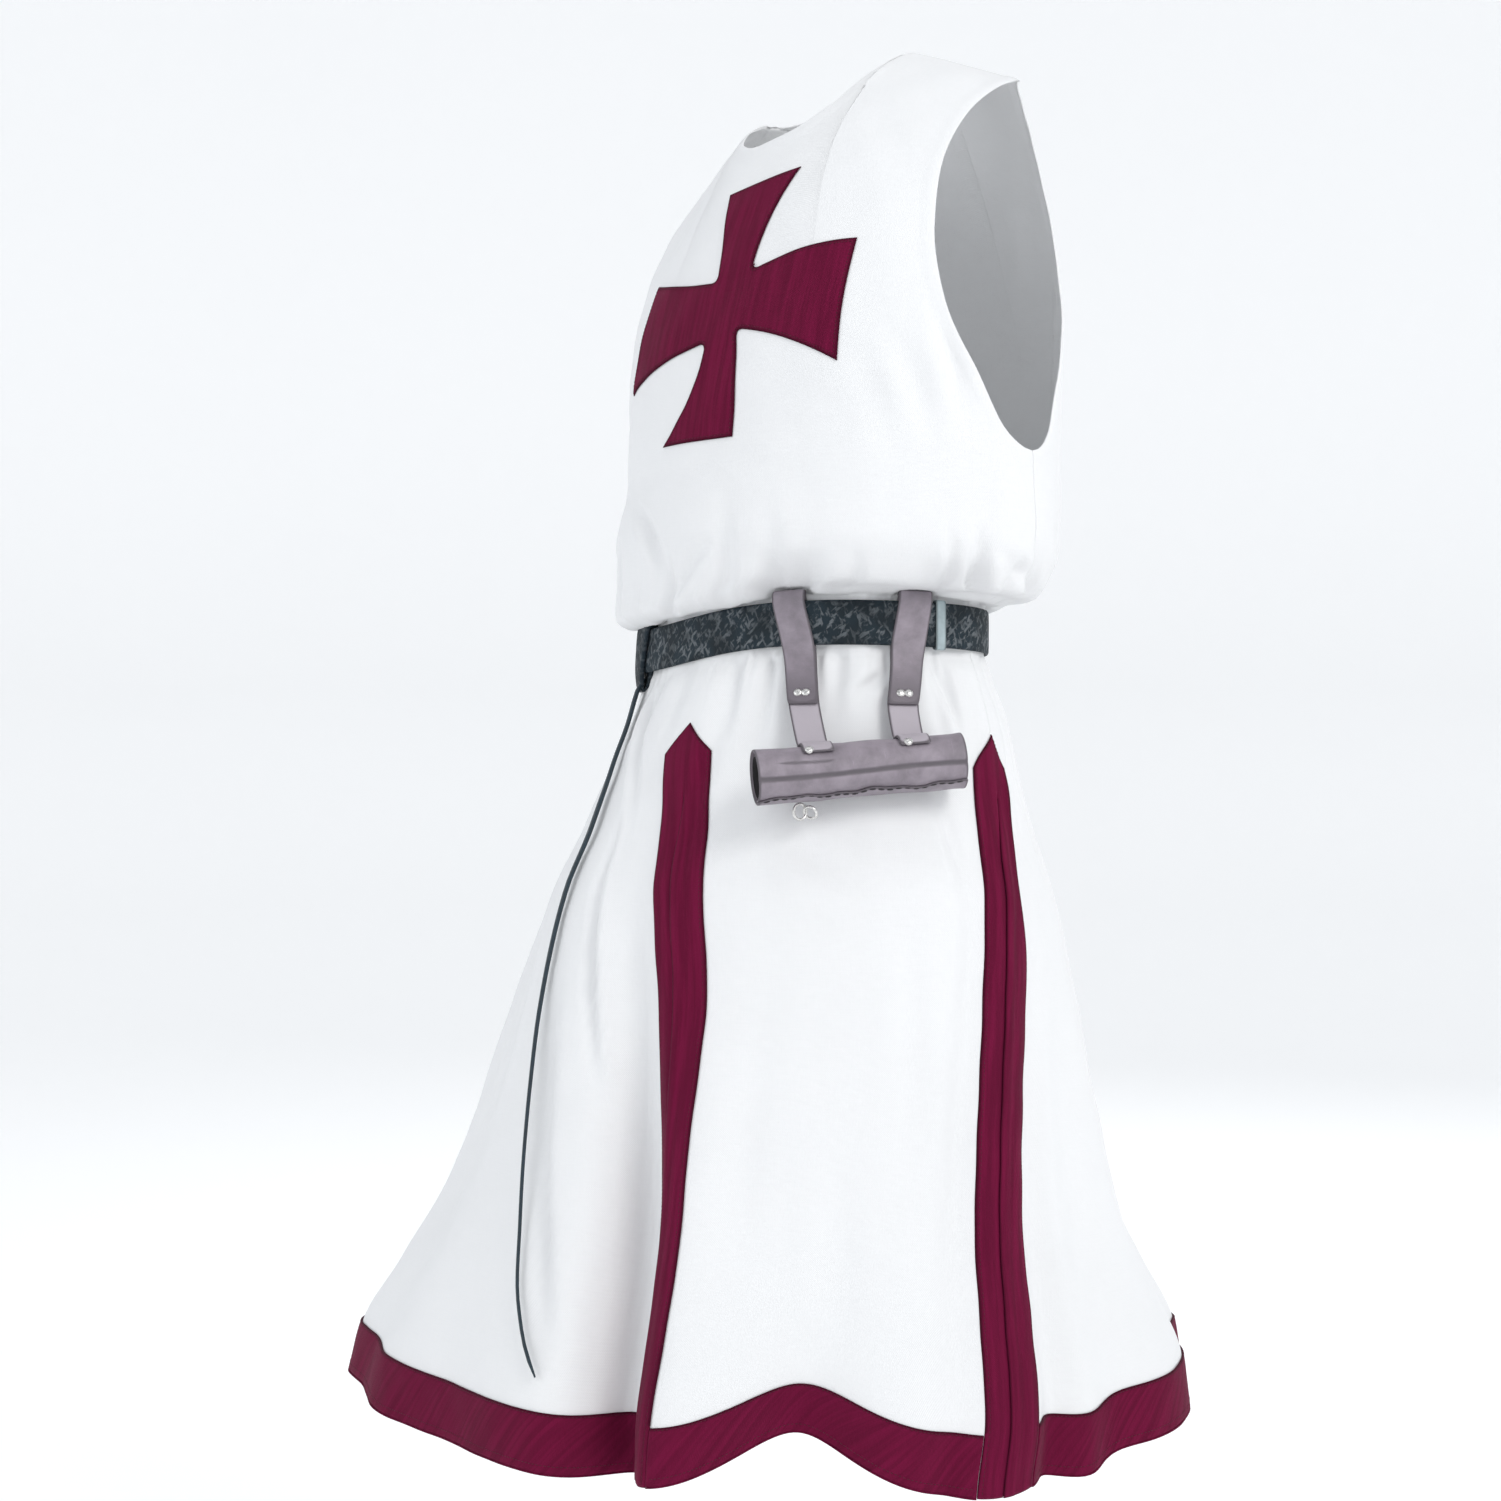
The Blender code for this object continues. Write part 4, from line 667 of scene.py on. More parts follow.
def crease_shift(points, normals):
    """Outward shift of upright points from the creases: a soft trough, one side of it fuller."""
    points = points.reshape(-1, 3)
    normals = normals.reshape(-1, 3)
    shift = np.zeros(len(points))
    for crease, path in CREASE_PATHS:
        reach = 3.5 * crease.width
        inside = (points > path.min(axis=0) - reach) & (points < path.max(axis=0) + reach)
        near = np.flatnonzero(inside.all(axis=1))
        if not len(near):
            continue
        away, distance, segment, share = nearest(points[near], path)
        side = np.cross(np.diff(path, axis=0)[segment], normals[near])
        along = (segment + share) / (len(path) - 1)
        q = np.sign((away * side).sum(axis=-1)) * distance / (crease.width * (0.75 + 0.5 * along))
        taper = smoothstep(0.0, crease.peak, along) * (1.0 - smoothstep(crease.peak, 1.0, along))
        form = (1.6 * crease.lean * q - 1.0 + 1.1 * q * q) * np.exp(-q * q)
        shift[near] += CREASE_FORCE * crease.depth * taper * form
    return shift


def unevenness(points):
    """Slight outward shift that keeps loose cloth from lying quite smooth."""
    x, y, z = np.moveaxis(points.reshape(-1, 3), -1, 0)
    broad = np.sin(23 * x + 11 * z + 1.1) * np.sin(19 * y - 17 * z + 0.4)
    small = np.sin(71 * x - 37 * z + 2.0) * np.sin(63 * y + 49 * z + 5.1)
    fine = np.sin(113 * x + 83 * z) * np.sin(131 * y - 71 * z + 1.7)
    return 0.0014 * broad + 0.0006 * small + 0.0003 * fine


def puckers(turns, height):
    """Small upright wrinkles next to the belt."""
    away = abs(height - BELT_HEIGHT) - BELT_WIDTH / 2.0
    depth = PUCKER_DEPTH * smoothstep(0.0, 0.004, away) * bump(away, PUCKER_LENGTH)
    waves = np.sin(83 * turns + 3.0 * np.sin(5 * turns)) + 0.6 * np.sin(131 * turns + 1.0)
    return depth * waves * (0.6 + 0.4 * np.sin(7 * turns + 0.5))


def hanger_notch(turns, height):
    """Inward shift of the blouse where a hanger's loop stands in front of it."""
    grown = smoothstep(-0.4512, -0.4475, height) * (1.0 - smoothstep(-0.4440, -0.4080, height))
    shift = np.zeros_like(turns)
    for hanger in HANGERS:
        beside = (turns - math.radians(hanger.turn)) / NOTCH_REACH
        shift -= NOTCH_DEPTH * grown * np.exp(-(beside ** 4))
    return shift


def droop(turns, height):
    """How far the blouse hangs down over the belt's top edge: most at the sides."""
    grown = smoothstep(-0.4512, -0.4472, height) * (1.0 - smoothstep(-0.4435, -0.4100, height))
    uneven = 0.0060 + 0.0030 * np.sin(turns * 2.0 + 2.2) + 0.0018 * np.sin(turns * 5.0 + 0.4)
    for hanger in HANGERS:
        uneven = uneven * (1.0 - bump(turns - math.radians(hanger.turn), DROOP_REACH))
    return grown * np.clip(uneven, 0.0, None)


def ring_normal(turns, height):
    """Level outward normals of the ring."""
    turns = turns + vent_fold(turns, height, ring_arcs(height))[0]
    width, depth = ring_axes(turns, height)
    return unit(np.stack([depth * np.sin(turns), -width * np.cos(turns), 0.0 * turns], axis=-1))


def skirt_surface(rows, heights):
    """Upright points of the cloth at and below the underarm, with all its wrinkles."""
    lattice = np.array([ring_points(turns, height) for turns, height in zip(rows, heights)])
    normals = np.array([ring_normal(turns, height) for turns, height in zip(rows, heights)])
    shift = (crease_shift(lattice, normals) + unevenness(lattice)).reshape(lattice.shape[:2])
    away = np.abs(np.array(heights) - BELT_HEIGHT) - BELT_WIDTH / 2.0
    shift *= smoothstep(0.0, 0.012, away)[:, None]
    shift += np.array([
        puckers(turns, height) + hanger_notch(turns, height) for turns, height in zip(rows, heights)
    ])
    lattice += normals * shift[..., None]
    lattice[..., 2] -= np.array([droop(turns, height) for turns, height in zip(rows, heights)])
    return lattice


def yoke_surface(yoke, x, angle):
    """Upright points of the cloth above the underarm, with all its wrinkles."""
    small = 0.0008
    base = yoke_point(yoke, x, angle)
    across = yoke_point(yoke, x + small, angle) - yoke_point(yoke, x - small, angle)
    up = yoke_point(yoke, x, angle + small) - yoke_point(yoke, x, angle - small)
    normals = unit(np.cross(across, up)) * -yoke.side
    near_edge = np.clip(1.0 - np.abs(x) / RINGS[0].half_width, 0.0, 1.0)
    calm = smoothstep(0.0, 0.03, near_edge) * smoothstep(0.0, 0.12, np.cos(angle))
    shift = (crease_shift(base, normals) + unevenness(base)).reshape(x.shape)
    return base + normals * (shift * (0.25 + 0.75 * calm))[..., None]


# Panels: levels below the underarm and shares above it, with columns in two quarters

LEVEL_RUNS = [
    (-1.149, 0.0020), (-1.145, 0.0045), (-1.131, 0.0066), (-0.615, 0.0050), (-0.530, 0.0030),
    (-0.500, 0.0060), (-0.4545, 0.0013), (-0.4340, 0.0028), (-0.4000, 0.0050), (-0.335, 0.0),
]
NECK_DISTANCES = (0.0035, 0.0075, 0.0130, 0.0200, 0.0290, 0.0400)
QUARTER_COLUMNS = 92
NECK_COLUMNS = 38
HEM_TURN = 0.0095
HEM_TURN_RISE = 0.0009
HEM_TURN_ROWS = 8


def level_heights():
    """Heights of the rows below the underarm."""
    heights = []
    for (start, step), (end, _) in zip(LEVEL_RUNS, LEVEL_RUNS[1:]):
        count = max(round((end - start) / step), 1)
        heights.extend(np.linspace(start, end, count + 1)[:-1])
    return np.array(heights + [UNDERARM])


def yoke_shares():
    """Shares of the way from underarm to neck and shoulder, close together at both ends."""
    low = [0.004, 0.010, 0.018, 0.028, 0.040, 0.056, 0.076]
    top = [1.0 - distance for distance in NECK_DISTANCES[::-1]]
    middle = np.linspace(low[-1], top[0], 42)[1:-1]
    return np.array([*low, *middle, *top, 1.0])


def quarter_turns(start, end, height):
    """Turns of a quarter's columns: at fixed distances beside its two seams, even between."""
    first, last = seam_turn(start, height), seam_turn(end, height)
    if last < first:
        first -= 2.0 * math.pi
    angles, arcs = ring_arcs(height)
    first, last = np.interp([first, last], angles, arcs)
    first += vent_gap(start, height) / 2.0 if start != "back" else 0.0
    last -= vent_gap(end, height) / 2.0 if end != "back" else 0.0
    edge = np.array(EDGE_COLUMNS)
    count = QUARTER_COLUMNS - 2 * (len(edge) - 1)
    middle = np.linspace(first + edge[-1], last - edge[-1], count + 1)[1:-1]
    return np.interp(np.concatenate([first + edge, middle, (last - edge)[::-1]]), arcs, angles)


def yoke_places():
    """Column places from the centre out to the armhole, as shares of the yoke's half width."""
    neck = NECK_HALF_WIDTH / SHOULDER_HALF_WIDTH
    edge = 1.0 - np.array(EDGE_COLUMNS)[::-1] / SHOULDER_HALF_WIDTH
    even = np.linspace(0.0, 1.0, NECK_COLUMNS + 1)
    under_neck = neck * (0.6 * even + 0.4 * np.sin(even * math.pi / 2.0))
    rest = np.linspace(neck, edge[0], QUARTER_COLUMNS - NECK_COLUMNS - len(edge) + 2)
    return np.concatenate([under_neck, rest[1:-1], edge])


def yoke_rows(yoke, turns, side):
    """Sideways places and angles of half a yoke, its columns from the centre out."""
    half = RINGS[0].half_width
    start = np.abs(np.sin(turns))
    place = yoke_places()
    inside = np.clip(place / (NECK_HALF_WIDTH / SHOULDER_HALF_WIDTH), 0.0, 1.0)
    dip = (90.0 - yoke.neck_angle) * np.sqrt(1.0 - inside ** 2.4)
    shares = yoke_shares()[:, None]
    spread = smoothstep(0.0, 0.6, shares)
    across = (1.0 - spread) * start + spread * place
    x = side * across * eased(ARMHOLE, "half_width", shares)
    return np.clip(x, -half, half), np.radians(shares * (90.0 - dip))


PANELS = named_rows(
    "Panel", "name yoke first middle last",
    ("tunic_front", FRONT_YOKE, "right", "front", "left"),
    ("tunic_back", BACK_YOKE, "left", "back", "right"),
)


def panel_halves(panel):
    """Upright lattices of a panel's two halves, columns running with the turn."""
    heights = level_heights()
    halves = []
    for k, (start, end) in enumerate([(panel.first, panel.middle), (panel.middle, panel.last)]):
        rows = [quarter_turns(start, end, height) for height in heights]
        below = skirt_surface(rows, heights)
        side = panel.yoke.side * (1.0 if k == 0 else -1.0)
        turns = rows[-1][::-1] if k == 0 else rows[-1]
        x, angle = yoke_rows(panel.yoke, turns, side)
        above = yoke_surface(panel.yoke, x, angle)
        if k == 0:
            above = above[:, ::-1]
        halves.append(np.concatenate([below, above]))
    return halves


def sewn_row(heights):
    """First row of the sewn part above the vents."""
    return int(np.searchsorted(heights, VENT_TOP - 1e-6))


def raise_turned_hem(lattice, start, openings):
    """Raises the cloth over its turned hem, from a row up, but not at the neck's two points."""
    top = lattice[start:]
    flat = top.reshape(-1, 3)
    x, y, z = flat.T
    normals = outward(posed(top), 2).reshape(-1, 3)
    edge = np.min([nearest(flat, path)[1] for path in openings], axis=0)
    corner = np.hypot(np.hypot(np.abs(x) - NECK_HALF_WIDTH, y), z - SHOULDER_HEIGHT)
    rise = 1.0 - smoothstep(HEM_TURN - 0.0012, HEM_TURN + 0.0016, edge)
    rise -= bump(edge, 0.0012) * smoothstep(0.035, 0.085, corner)
    rise *= HEM_TURN_RISE * smoothstep(0.010, 0.050, corner)
    lattice[start:] = (flat + normals * rise[:, None]).reshape(top.shape)


def panel_lattices():
    """Upright lattices of both panels, their sewn seams closed and their turned hems raised."""
    first = len(level_heights())
    sewn = sewn_row(level_heights())
    pairs = [panel_halves(panel) for panel in PANELS]
    (front_right, front_left), (back_left, back_right) = pairs
    sides = ((front_left, back_left), (back_right, front_right))
    for one, other in sides:
        seam = (one[sewn:first, -1] + other[sewn:first, 0]) / 2.0
        one[sewn:first, -1] = seam
        other[sewn:first, 0] = seam
    for before, after in pairs:
        join = (before[:, -1] + after[:, 0]) / 2.0
        before[sewn:, -1] = join[sewn:]
        after[sewn:, 0] = join[sewn:]
    openings = [
        np.concatenate([one[first - 1:, -1][::-1], other[first:, 0]]) for one, other in sides
    ]
    at_neck = QUARTER_COLUMNS - NECK_COLUMNS
    openings += [
        np.concatenate([before[-1, at_neck:], after[-1, 1:NECK_COLUMNS + 1]])
        for before, after in pairs
    ]
    for pair in pairs:
        for lattice in pair:
            raise_turned_hem(lattice, first - HEM_TURN_ROWS, openings)
    return pairs


# Meshes


def mesh_object(name, points, faces, skin, uvs=None, edge=None):
    """A smooth mesh object with the cloth's or leather's own measure as UVs, in metres."""
    mesh = bpy.data.meshes.new(name)
    places = [tuple(point) for point in np.reshape(points, (-1, 3))]
    mesh.from_pydata(places, [], [list(face) for face in faces])
    if uvs is not None:
        layer = mesh.uv_layers.new(name="measure")
        corners = np.zeros(len(mesh.loops), dtype=np.int32)
        mesh.loops.foreach_get("vertex_index", corners)
        uvs = np.asarray(uvs, dtype=np.float32).reshape(-1, 2)
        layer.data.foreach_set("uv", uvs[corners].ravel())
    if edge is not None:
        mesh.attributes.new("edge", "FLOAT", "POINT").data.foreach_set(
            "value", np.asarray(edge, dtype=np.float32).ravel()
        )
    mesh.shade_smooth()
    made = bpy.data.objects.new(name, mesh)
    mesh.materials.append(skin)
    bpy.context.scene.collection.objects.link(made)
    return made


def numbered(lattice, start=0):
    """Point numbers of a lattice."""
    rows, columns = lattice.shape[:2]
    return np.arange(start, start + rows * columns).reshape(rows, columns)


def grid_faces(index):
    """Quads over a grid of point numbers, facing out where columns run with the turn."""
    corners = [index[:-1, :-1], index[:-1, 1:], index[1:, 1:], index[1:, :-1]]
    return np.stack(corners, axis=-1).reshape(-1, 4)


def lattice_object(name, lattice, skin, uvs=None, edge=None):
    """A mesh object over a whole lattice."""
    return mesh_object(name, lattice, grid_faces(numbered(lattice)), skin, uvs, edge)


def weld(made, distance=0.00001):
    """Joins points that lie in the same place."""
    mesh = bmesh.new()
    mesh.from_mesh(made.data)
    bmesh.ops.remove_doubles(mesh, verts=mesh.verts, dist=distance)
    bmesh.ops.recalc_face_normals(mesh, faces=mesh.faces)
    mesh.to_mesh(made.data)
    mesh.free()
    return made


def settled(made):
    """Turns an object's modifiers into plain mesh."""
    bpy.context.view_layer.update()
    graph = bpy.context.evaluated_depsgraph_get()
    mesh = bpy.data.meshes.new_from_object(
        made.evaluated_get(graph), preserve_all_data_layers=True, depsgraph=graph
    )
    made.modifiers.clear()
    old = made.data
    made.data = mesh
    if isinstance(old, bpy.types.Mesh):
        bpy.data.meshes.remove(old)
    mesh.name = made.name
    return made


def walled(made, thickness, offset=-1.0, rounds=0):
    """Gives an open surface its thickness, and rounds its edges where asked."""
    wall = made.modifiers.new("Wall", "SOLIDIFY")
    wall.thickness = thickness
    wall.offset = offset
    wall.use_even_offset = False
    if rounds:
        soft = made.modifiers.new("Soft edges", "SUBSURF")
        soft.levels = soft.render_levels = rounds
    return settled(made)


def finished(made, *nodes, slot=None):
    """Rides a piece on the tunic and puts it in place of its solids."""
    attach(made, BODY)
    if nodes:
        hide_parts(*nodes)


# Materials


class Wire:
    """An output socket; arithmetic on it adds Math nodes."""

    def __init__(self, wiring, socket):
        self.wiring = wiring
        self.socket = socket

    def math(self, operation, *values):
        return self.wiring.node("ShaderNodeMath", {"operation": operation}, dict(enumerate(values)))

    def __add__(self, other):
        return self.math("ADD", self, other)

    def __radd__(self, other):
        return self.math("ADD", other, self)

    def __sub__(self, other):
        return self.math("SUBTRACT", self, other)

    def __rsub__(self, other):
        return self.math("SUBTRACT", other, self)

    def __mul__(self, other):
        return self.math("MULTIPLY", self, other)

    def __rmul__(self, other):
        return self.math("MULTIPLY", other, self)

    def sine(self):
        return self.math("SINE", self)

    def size(self):
        return self.math("ABSOLUTE", self)


class Wiring:
    """Makes every node of one tree: its type, its settings, then its inputs."""

    def __init__(self, tree):
        self.tree = tree
        tree.nodes.clear()

    def node(self, kind, settings=None, inputs=None, output=0):
        made = self.tree.nodes.new(kind)
        for name, value in (settings or {}).items():
            setattr(made, name, value)
        for key, value in (inputs or {}).items():
            socket = made.inputs[key]
            if isinstance(value, Wire):
                self.tree.links.new(value.socket, socket)
            else:
                socket.default_value = value
        return Wire(self, made.outputs[output]) if len(made.outputs) else made

    def parts(self, vector):
        """X, Y and Z of a vector."""
        first = self.node("ShaderNodeSeparateXYZ", None, {0: vector})
        return [Wire(self, socket) for socket in first.socket.node.outputs]

    def vector(self, x, y, z=0.0):
        return self.node("ShaderNodeCombineXYZ", None, {0: x, 1: y, 2: z})

    def noise(self, vector, scale, detail=2.0, roughness=0.5):
        inputs = {"Vector": vector, "Scale": scale, "Detail": detail, "Roughness": roughness}
        return self.node("ShaderNodeTexNoise", None, inputs)

    def ramp(self, value, low, high, bottom=0.0, top=1.0):
        """A value carried softly from one span to another."""
        inputs = {0: value, 1: low, 2: high, 3: bottom, 4: top}
        return self.node("ShaderNodeMapRange", {"interpolation_type": "SMOOTHSTEP"}, inputs)

    def mix(self, factor, first, second):
        """A colour between two colours."""
        inputs = {0: factor}
        for key, colour in ((6, first), (7, second)):
            inputs[key] = colour if isinstance(colour, Wire) else (*colour, 1.0)
        return self.node("ShaderNodeMix", {"data_type": "RGBA"}, inputs, 2)

    def bump(self, height, distance, strength):
        inputs = {"Height": height, "Distance": distance, "Strength": strength}
        return self.node("ShaderNodeBump", None, inputs)


def finish_material(name, paint):
    """A material of the given name, painted by a function that returns its shader's inputs."""
    made = bpy.data.materials.get(name)
    if made:
        return made
    made = bpy.data.materials.new(name)
    made.use_nodes = True
    wiring = Wiring(made.node_tree)
    shader = wiring.node("ShaderNodeBsdfPrincipled", None, paint(wiring))
    wiring.node("ShaderNodeOutputMaterial", None, {"Surface": shader})
    return made


def measure(wiring):
    """The cloth's own width and length on its UV map, in metres."""
    return wiring.parts(wiring.node("ShaderNodeUVMap", {"uv_map": "measure"}))


def weave_height(u, v, pitch):
    """Threads over and under each other."""
    around = 2.0 * math.pi / pitch
    return (u * around).sine() * (v * around).sine()


def shade(colour, share):
    """A colour made darker or lighter."""
    return tuple(min(channel * share, 1.0) for channel in colour)


def paled_by_wear_and_light(colour, pale):
    """A colour made paler: by wear on the belt's scales, and as painted light on the frog's back
    leaf.
    """
    return tuple(1.2 * channel + pale for channel in colour)


def white_cloth(settings):
    """Matt white cotton with a plain weave and faint slubs."""

    def paint(w):
        u, v, _ = measure(w)
        slub = w.noise(w.vector(u * 60.0, v * 900.0), 1.0)
        slub = slub + w.noise(w.vector(u * 900.0, v * 60.0), 1.0)
        cloud = w.noise(w.node("ShaderNodeTexCoord", None, None, 3), 5.5, 3.0)
        tone = w.ramp(slub * 0.5, 0.35, 0.65) * 0.35 + w.ramp(cloud, 0.35, 0.70) * 0.45
        threads = weave_height(u, v, settings.thread_pitch)
        height = threads * 0.6 + slub * 0.5
        return {
            "Base Color": w.mix(tone, settings.cloth_colour, shade(settings.cloth_colour, 0.955)),
            "Roughness": w.ramp(slub * 0.5, 0.3, 0.7, 0.84, 0.93),
            "Normal": w.bump(height, 0.00022, 0.55),
            "Specular IOR Level": 0.25,
            "Sheen Weight": 0.12,
            "Sheen Roughness": 0.45,
        }

    return finish_material("white_cotton", paint)


def red_cloth(settings):
    """Dark red cloth, a little worn in streaks, with painted shade along its edges where it lies on
    the cloth beneath.
    """

    def paint(w):
        u, v, _ = measure(w)
        streak = w.noise(w.vector(u * 150.0, v * 9.0), 1.0, 3.0, 0.6)
        nap = w.noise(w.vector(u * 700.0, v * 700.0), 1.0, 2.0)
        edge = w.node("ShaderNodeAttribute", {"attribute_name": "edge"}, None, 2)
        # Painted shade: the red is darker near its edges, as the edge attribute gives them.
        dark = shade(settings.band_colour, 0.42)
        light = shade(settings.band_colour, 1.22)
        tone = w.ramp(streak, 0.36, 0.68)
        cloth = w.mix(tone, shade(settings.band_colour, 0.88), light)
        threads = weave_height(u, v, settings.thread_pitch * 0.8)
        height = threads * 0.5 + nap * 0.6 + w.ramp(edge, 0.0022, 0.0040) * 1.5
        return {
            "Base Color": w.mix(w.ramp(edge, 0.0006, 0.0034), dark, cloth),
            "Roughness": w.ramp(nap, 0.3, 0.7, 0.74, 0.86),
            "Normal": w.bump(height, 0.00020, 0.6),
            "Specular IOR Level": 0.08,
            "Sheen Weight": 0.03,
            "Sheen Roughness": 0.4,
        }

    return finish_material("red_cotton", paint)


def belt_leather(settings):
    """Dark embossed leather: raised scales, their tops rubbed pale here and there."""

    def paint(w):
        u, v, _ = measure(w)
        place = w.vector(u, v)
        warp = w.noise(place, 170.0, 2.0) * 0.0022
        strokes = []
        for lean, side in ((0.75, 1.0), (1.25, -1.0)):
            along = (u + warp) * math.cos(lean) + v * (side * math.sin(lean))
            across = v * math.cos(lean) - (u + warp) * (side * math.sin(lean))
            pattern = w.noise(w.vector(along * 0.42, across), settings.scale_count, 2.0, 0.55)
            strokes.append(w.ramp(pattern, 0.52, 0.64))
        mound = strokes[0].math("MAXIMUM", strokes[0], strokes[1] * 0.8)
        patch = w.noise(place, 38.0, 2.0)
        grain = w.noise(place, 1500.0, 3.0, 0.6)
        worn = mound * w.ramp(patch, 0.34, 0.62, 0.25, 1.0) * w.ramp(grain, 0.30, 0.62, 0.45, 1.0)
        to_edge = w.ramp(v.size(), 0.0150, 0.0190, 1.0, 0.35)
        colour = settings.belt_colour
        body = w.mix(w.ramp(patch, 0.35, 0.65), shade(colour, 0.45), shade(colour, 0.8))
        return {
            "Base Color": w.mix(worn * to_edge * 0.85, body, paled_by_wear_and_light(colour, 0.165)),
            "Roughness": w.ramp(mound, 0.0, 1.0, 0.70, 0.50),
            "Normal": w.bump(mound + grain * 0.15, 0.0008, 0.9),
            "Specular IOR Level": 0.30,
        }

    return finish_material("embossed_leather", paint)


def smooth_leather(name, colour, rough=0.5, painted_light_along=False):
    """Clouded leather with a fine grain and darker cut edges, painted shade in creases marked like
    edges, and, where asked, painted shade and light along a strap.
    """

    def paint(w):
        u, v, _ = measure(w)
        place = w.vector(u, v)
        cloud = w.noise(place, 38.0, 4.0, 0.6)
        inputs = {"Vector": place, "Scale": 1500.0}
        grain = w.node("ShaderNodeTexVoronoi", {"feature": "F1"}, inputs)
        scuff = w.noise(w.vector(u * 60.0, v * 600.0), 1.0, 3.0, 0.6)
        edge = w.node("ShaderNodeAttribute", {"attribute_name": "edge"}, None, 2)
        body = w.mix(w.ramp(cloud, 0.3, 0.7), shade(colour, 0.78), shade(colour, 1.18))
        if painted_light_along:
            # Painted shade: the front leaf darker towards its lower end. Painted light: the back
            # leaf paler.
            body = w.mix(w.ramp(v, 0.010, 0.050), shade(colour, 0.60), body)
            body = w.mix(w.ramp(v, 0.160, 0.190) * 0.8, body, paled_by_wear_and_light(colour, 0.16))
        body = w.mix(w.ramp(scuff, 0.62, 0.80) * 0.35, body, shade(colour, 1.75))
        # Darker at the cut edges, and painted shade along crease lines that a piece marks as edges.
        return {
            "Base Color": w.mix(w.ramp(edge, 0.0004, 0.0026), shade(colour, 0.42), body),
            "Roughness": w.ramp(cloud + scuff * 0.3, 0.3, 0.9, rough - 0.08, rough + 0.12),
            "Normal": w.bump(grain + cloud * 1.2, 0.00025, 0.6),
            "Specular IOR Level": 0.42,
        }

    return finish_material(name, paint)


def metal(name, colour, rough):
    """Metal with small scratches and duller hollows."""

    def paint(w):
        place = w.node("ShaderNodeTexCoord", None, None, 3)
        wear = w.noise(place, 900.0, 3.0, 0.6)
        return {
            "Base Color": w.mix(w.ramp(wear, 0.35, 0.65), shade(colour, 0.72), colour),
            "Roughness": w.ramp(wear, 0.3, 0.7, rough - 0.08, rough + 0.14),
            "Metallic": 1.0,
            "Normal": w.bump(wear, 0.0001, 0.5),
        }

    return finish_material(name, paint)


def thread(name, colour):
    """Twisted sewing thread."""

    def paint(w):
        place = w.node("ShaderNodeTexCoord", None, None, 3)
        twist = w.noise(place, 1800.0, 2.0)
        return {
            "Base Color": w.mix(w.ramp(twist, 0.35, 0.65), shade(colour, 0.75), colour),
            "Roughness": w.ramp(twist, 0.3, 0.7, 0.62, 0.82),
            "Specular IOR Level": 0.3,
        }

    return finish_material(name, paint)


def plain(name, colour, rough):
    """Plain finish for the stage."""

    def paint(w):
        place = w.node("ShaderNodeTexCoord", None, None, 3)
        soft = w.noise(place, 1.5, 2.0)
        return {
            "Base Color": w.mix(soft * 0.3, colour, shade(colour, 0.97)),
            "Roughness": rough,
            "Specular IOR Level": 0.1,
            "Emission Color": (*colour, 1.0),
            "Emission Strength": 0.245,
        }

    return finish_material(name, paint)


# Settings that a user would change


def colour_setting(name, description, default):
    return bpy.props.FloatVectorProperty(
        name=name, description=description, default=default, size=3, min=0.0, max=1.0,
        subtype="COLOR",
    )


def length_setting(name, description, default, low, high):
    return bpy.props.FloatProperty(
        name=name, description=description, default=default, min=low, max=high,
        precision=4, subtype="DISTANCE", unit="LENGTH",
    )


class ClothSettings(bpy.types.PropertyGroup):
    """Sizes and colours of the tunic's cloth."""

    cloth_colour: colour_setting("Cloth", "Colour of the white cloth", (0.825, 0.83, 0.838))
    band_colour: colour_setting("Bands", "Colour of bands and cross", (0.124, 0.0046, 0.031))
    thickness: length_setting("Thickness", "Thickness of the white cloth", 0.0014, 0.0005, 0.003)
    band_thickness: length_setting(
        "Band thickness", "Thickness of the red cloth", 0.0011, 0.0005, 0.003
    )
    thread_pitch: length_setting(
        "Thread pitch", "Distance over two threads of the weave", 0.0017, 0.0005, 0.005
    )


class LeatherSettings(bpy.types.PropertyGroup):
    """Finishes of the belt and the sword frog."""

    belt_colour: colour_setting("Belt", "Colour of the belt's raised scales", (0.012, 0.026, 0.037))
    frog_colour: colour_setting("Frog", "Colour of the frog's leather", (0.262, 0.228, 0.262))
    keeper_colour: colour_setting("Keeper", "Colour of the belt's keeper", (0.33, 0.40, 0.42))
    metal_colour: colour_setting("Metal", "Colour of rivets and ring", (0.80, 0.79, 0.77))
    scale_count: bpy.props.FloatProperty(
        name="Scales", description="Embossed scales in each metre of the belt",
        default=230.0, min=50.0, max=900.0,
    )
    tail_width: length_setting(
        "Tail width", "Width of the belt's tail at its top", 0.0112, 0.004, 0.012
    )


class StitchSettings(bpy.types.PropertyGroup):
    """Sewing on the red bands and the cross, and lacing on the leather."""

    pitch: length_setting("Pitch", "Distance from stitch to stitch", 0.0034, 0.001, 0.02)
    length: length_setting("Length", "Length of one stitch", 0.0026, 0.0005, 0.02)
    width: length_setting("Width", "Width of the thread", 0.0007, 0.0002, 0.003)
    red_thread: colour_setting("Red thread", "Thread in bands and cross", (0.085, 0.006, 0.022))
    leather_thread: colour_setting("Leather thread", "Thread in the leather", (0.045, 0.040, 0.045))


class StageSettings(bpy.types.PropertyGroup):
    """Floor, light and camera."""

    floor_height: length_setting("Floor", "Height of the floor", -1.50, -5.0, 0.0)
    floor_colour: colour_setting("Floor colour", "Floor and backdrop", (0.88, 0.885, 0.89))
    light: bpy.props.FloatProperty(
        name="Light", description="Strength of all lights", default=1.0, min=0.0, max=10.0
    )


# Stage

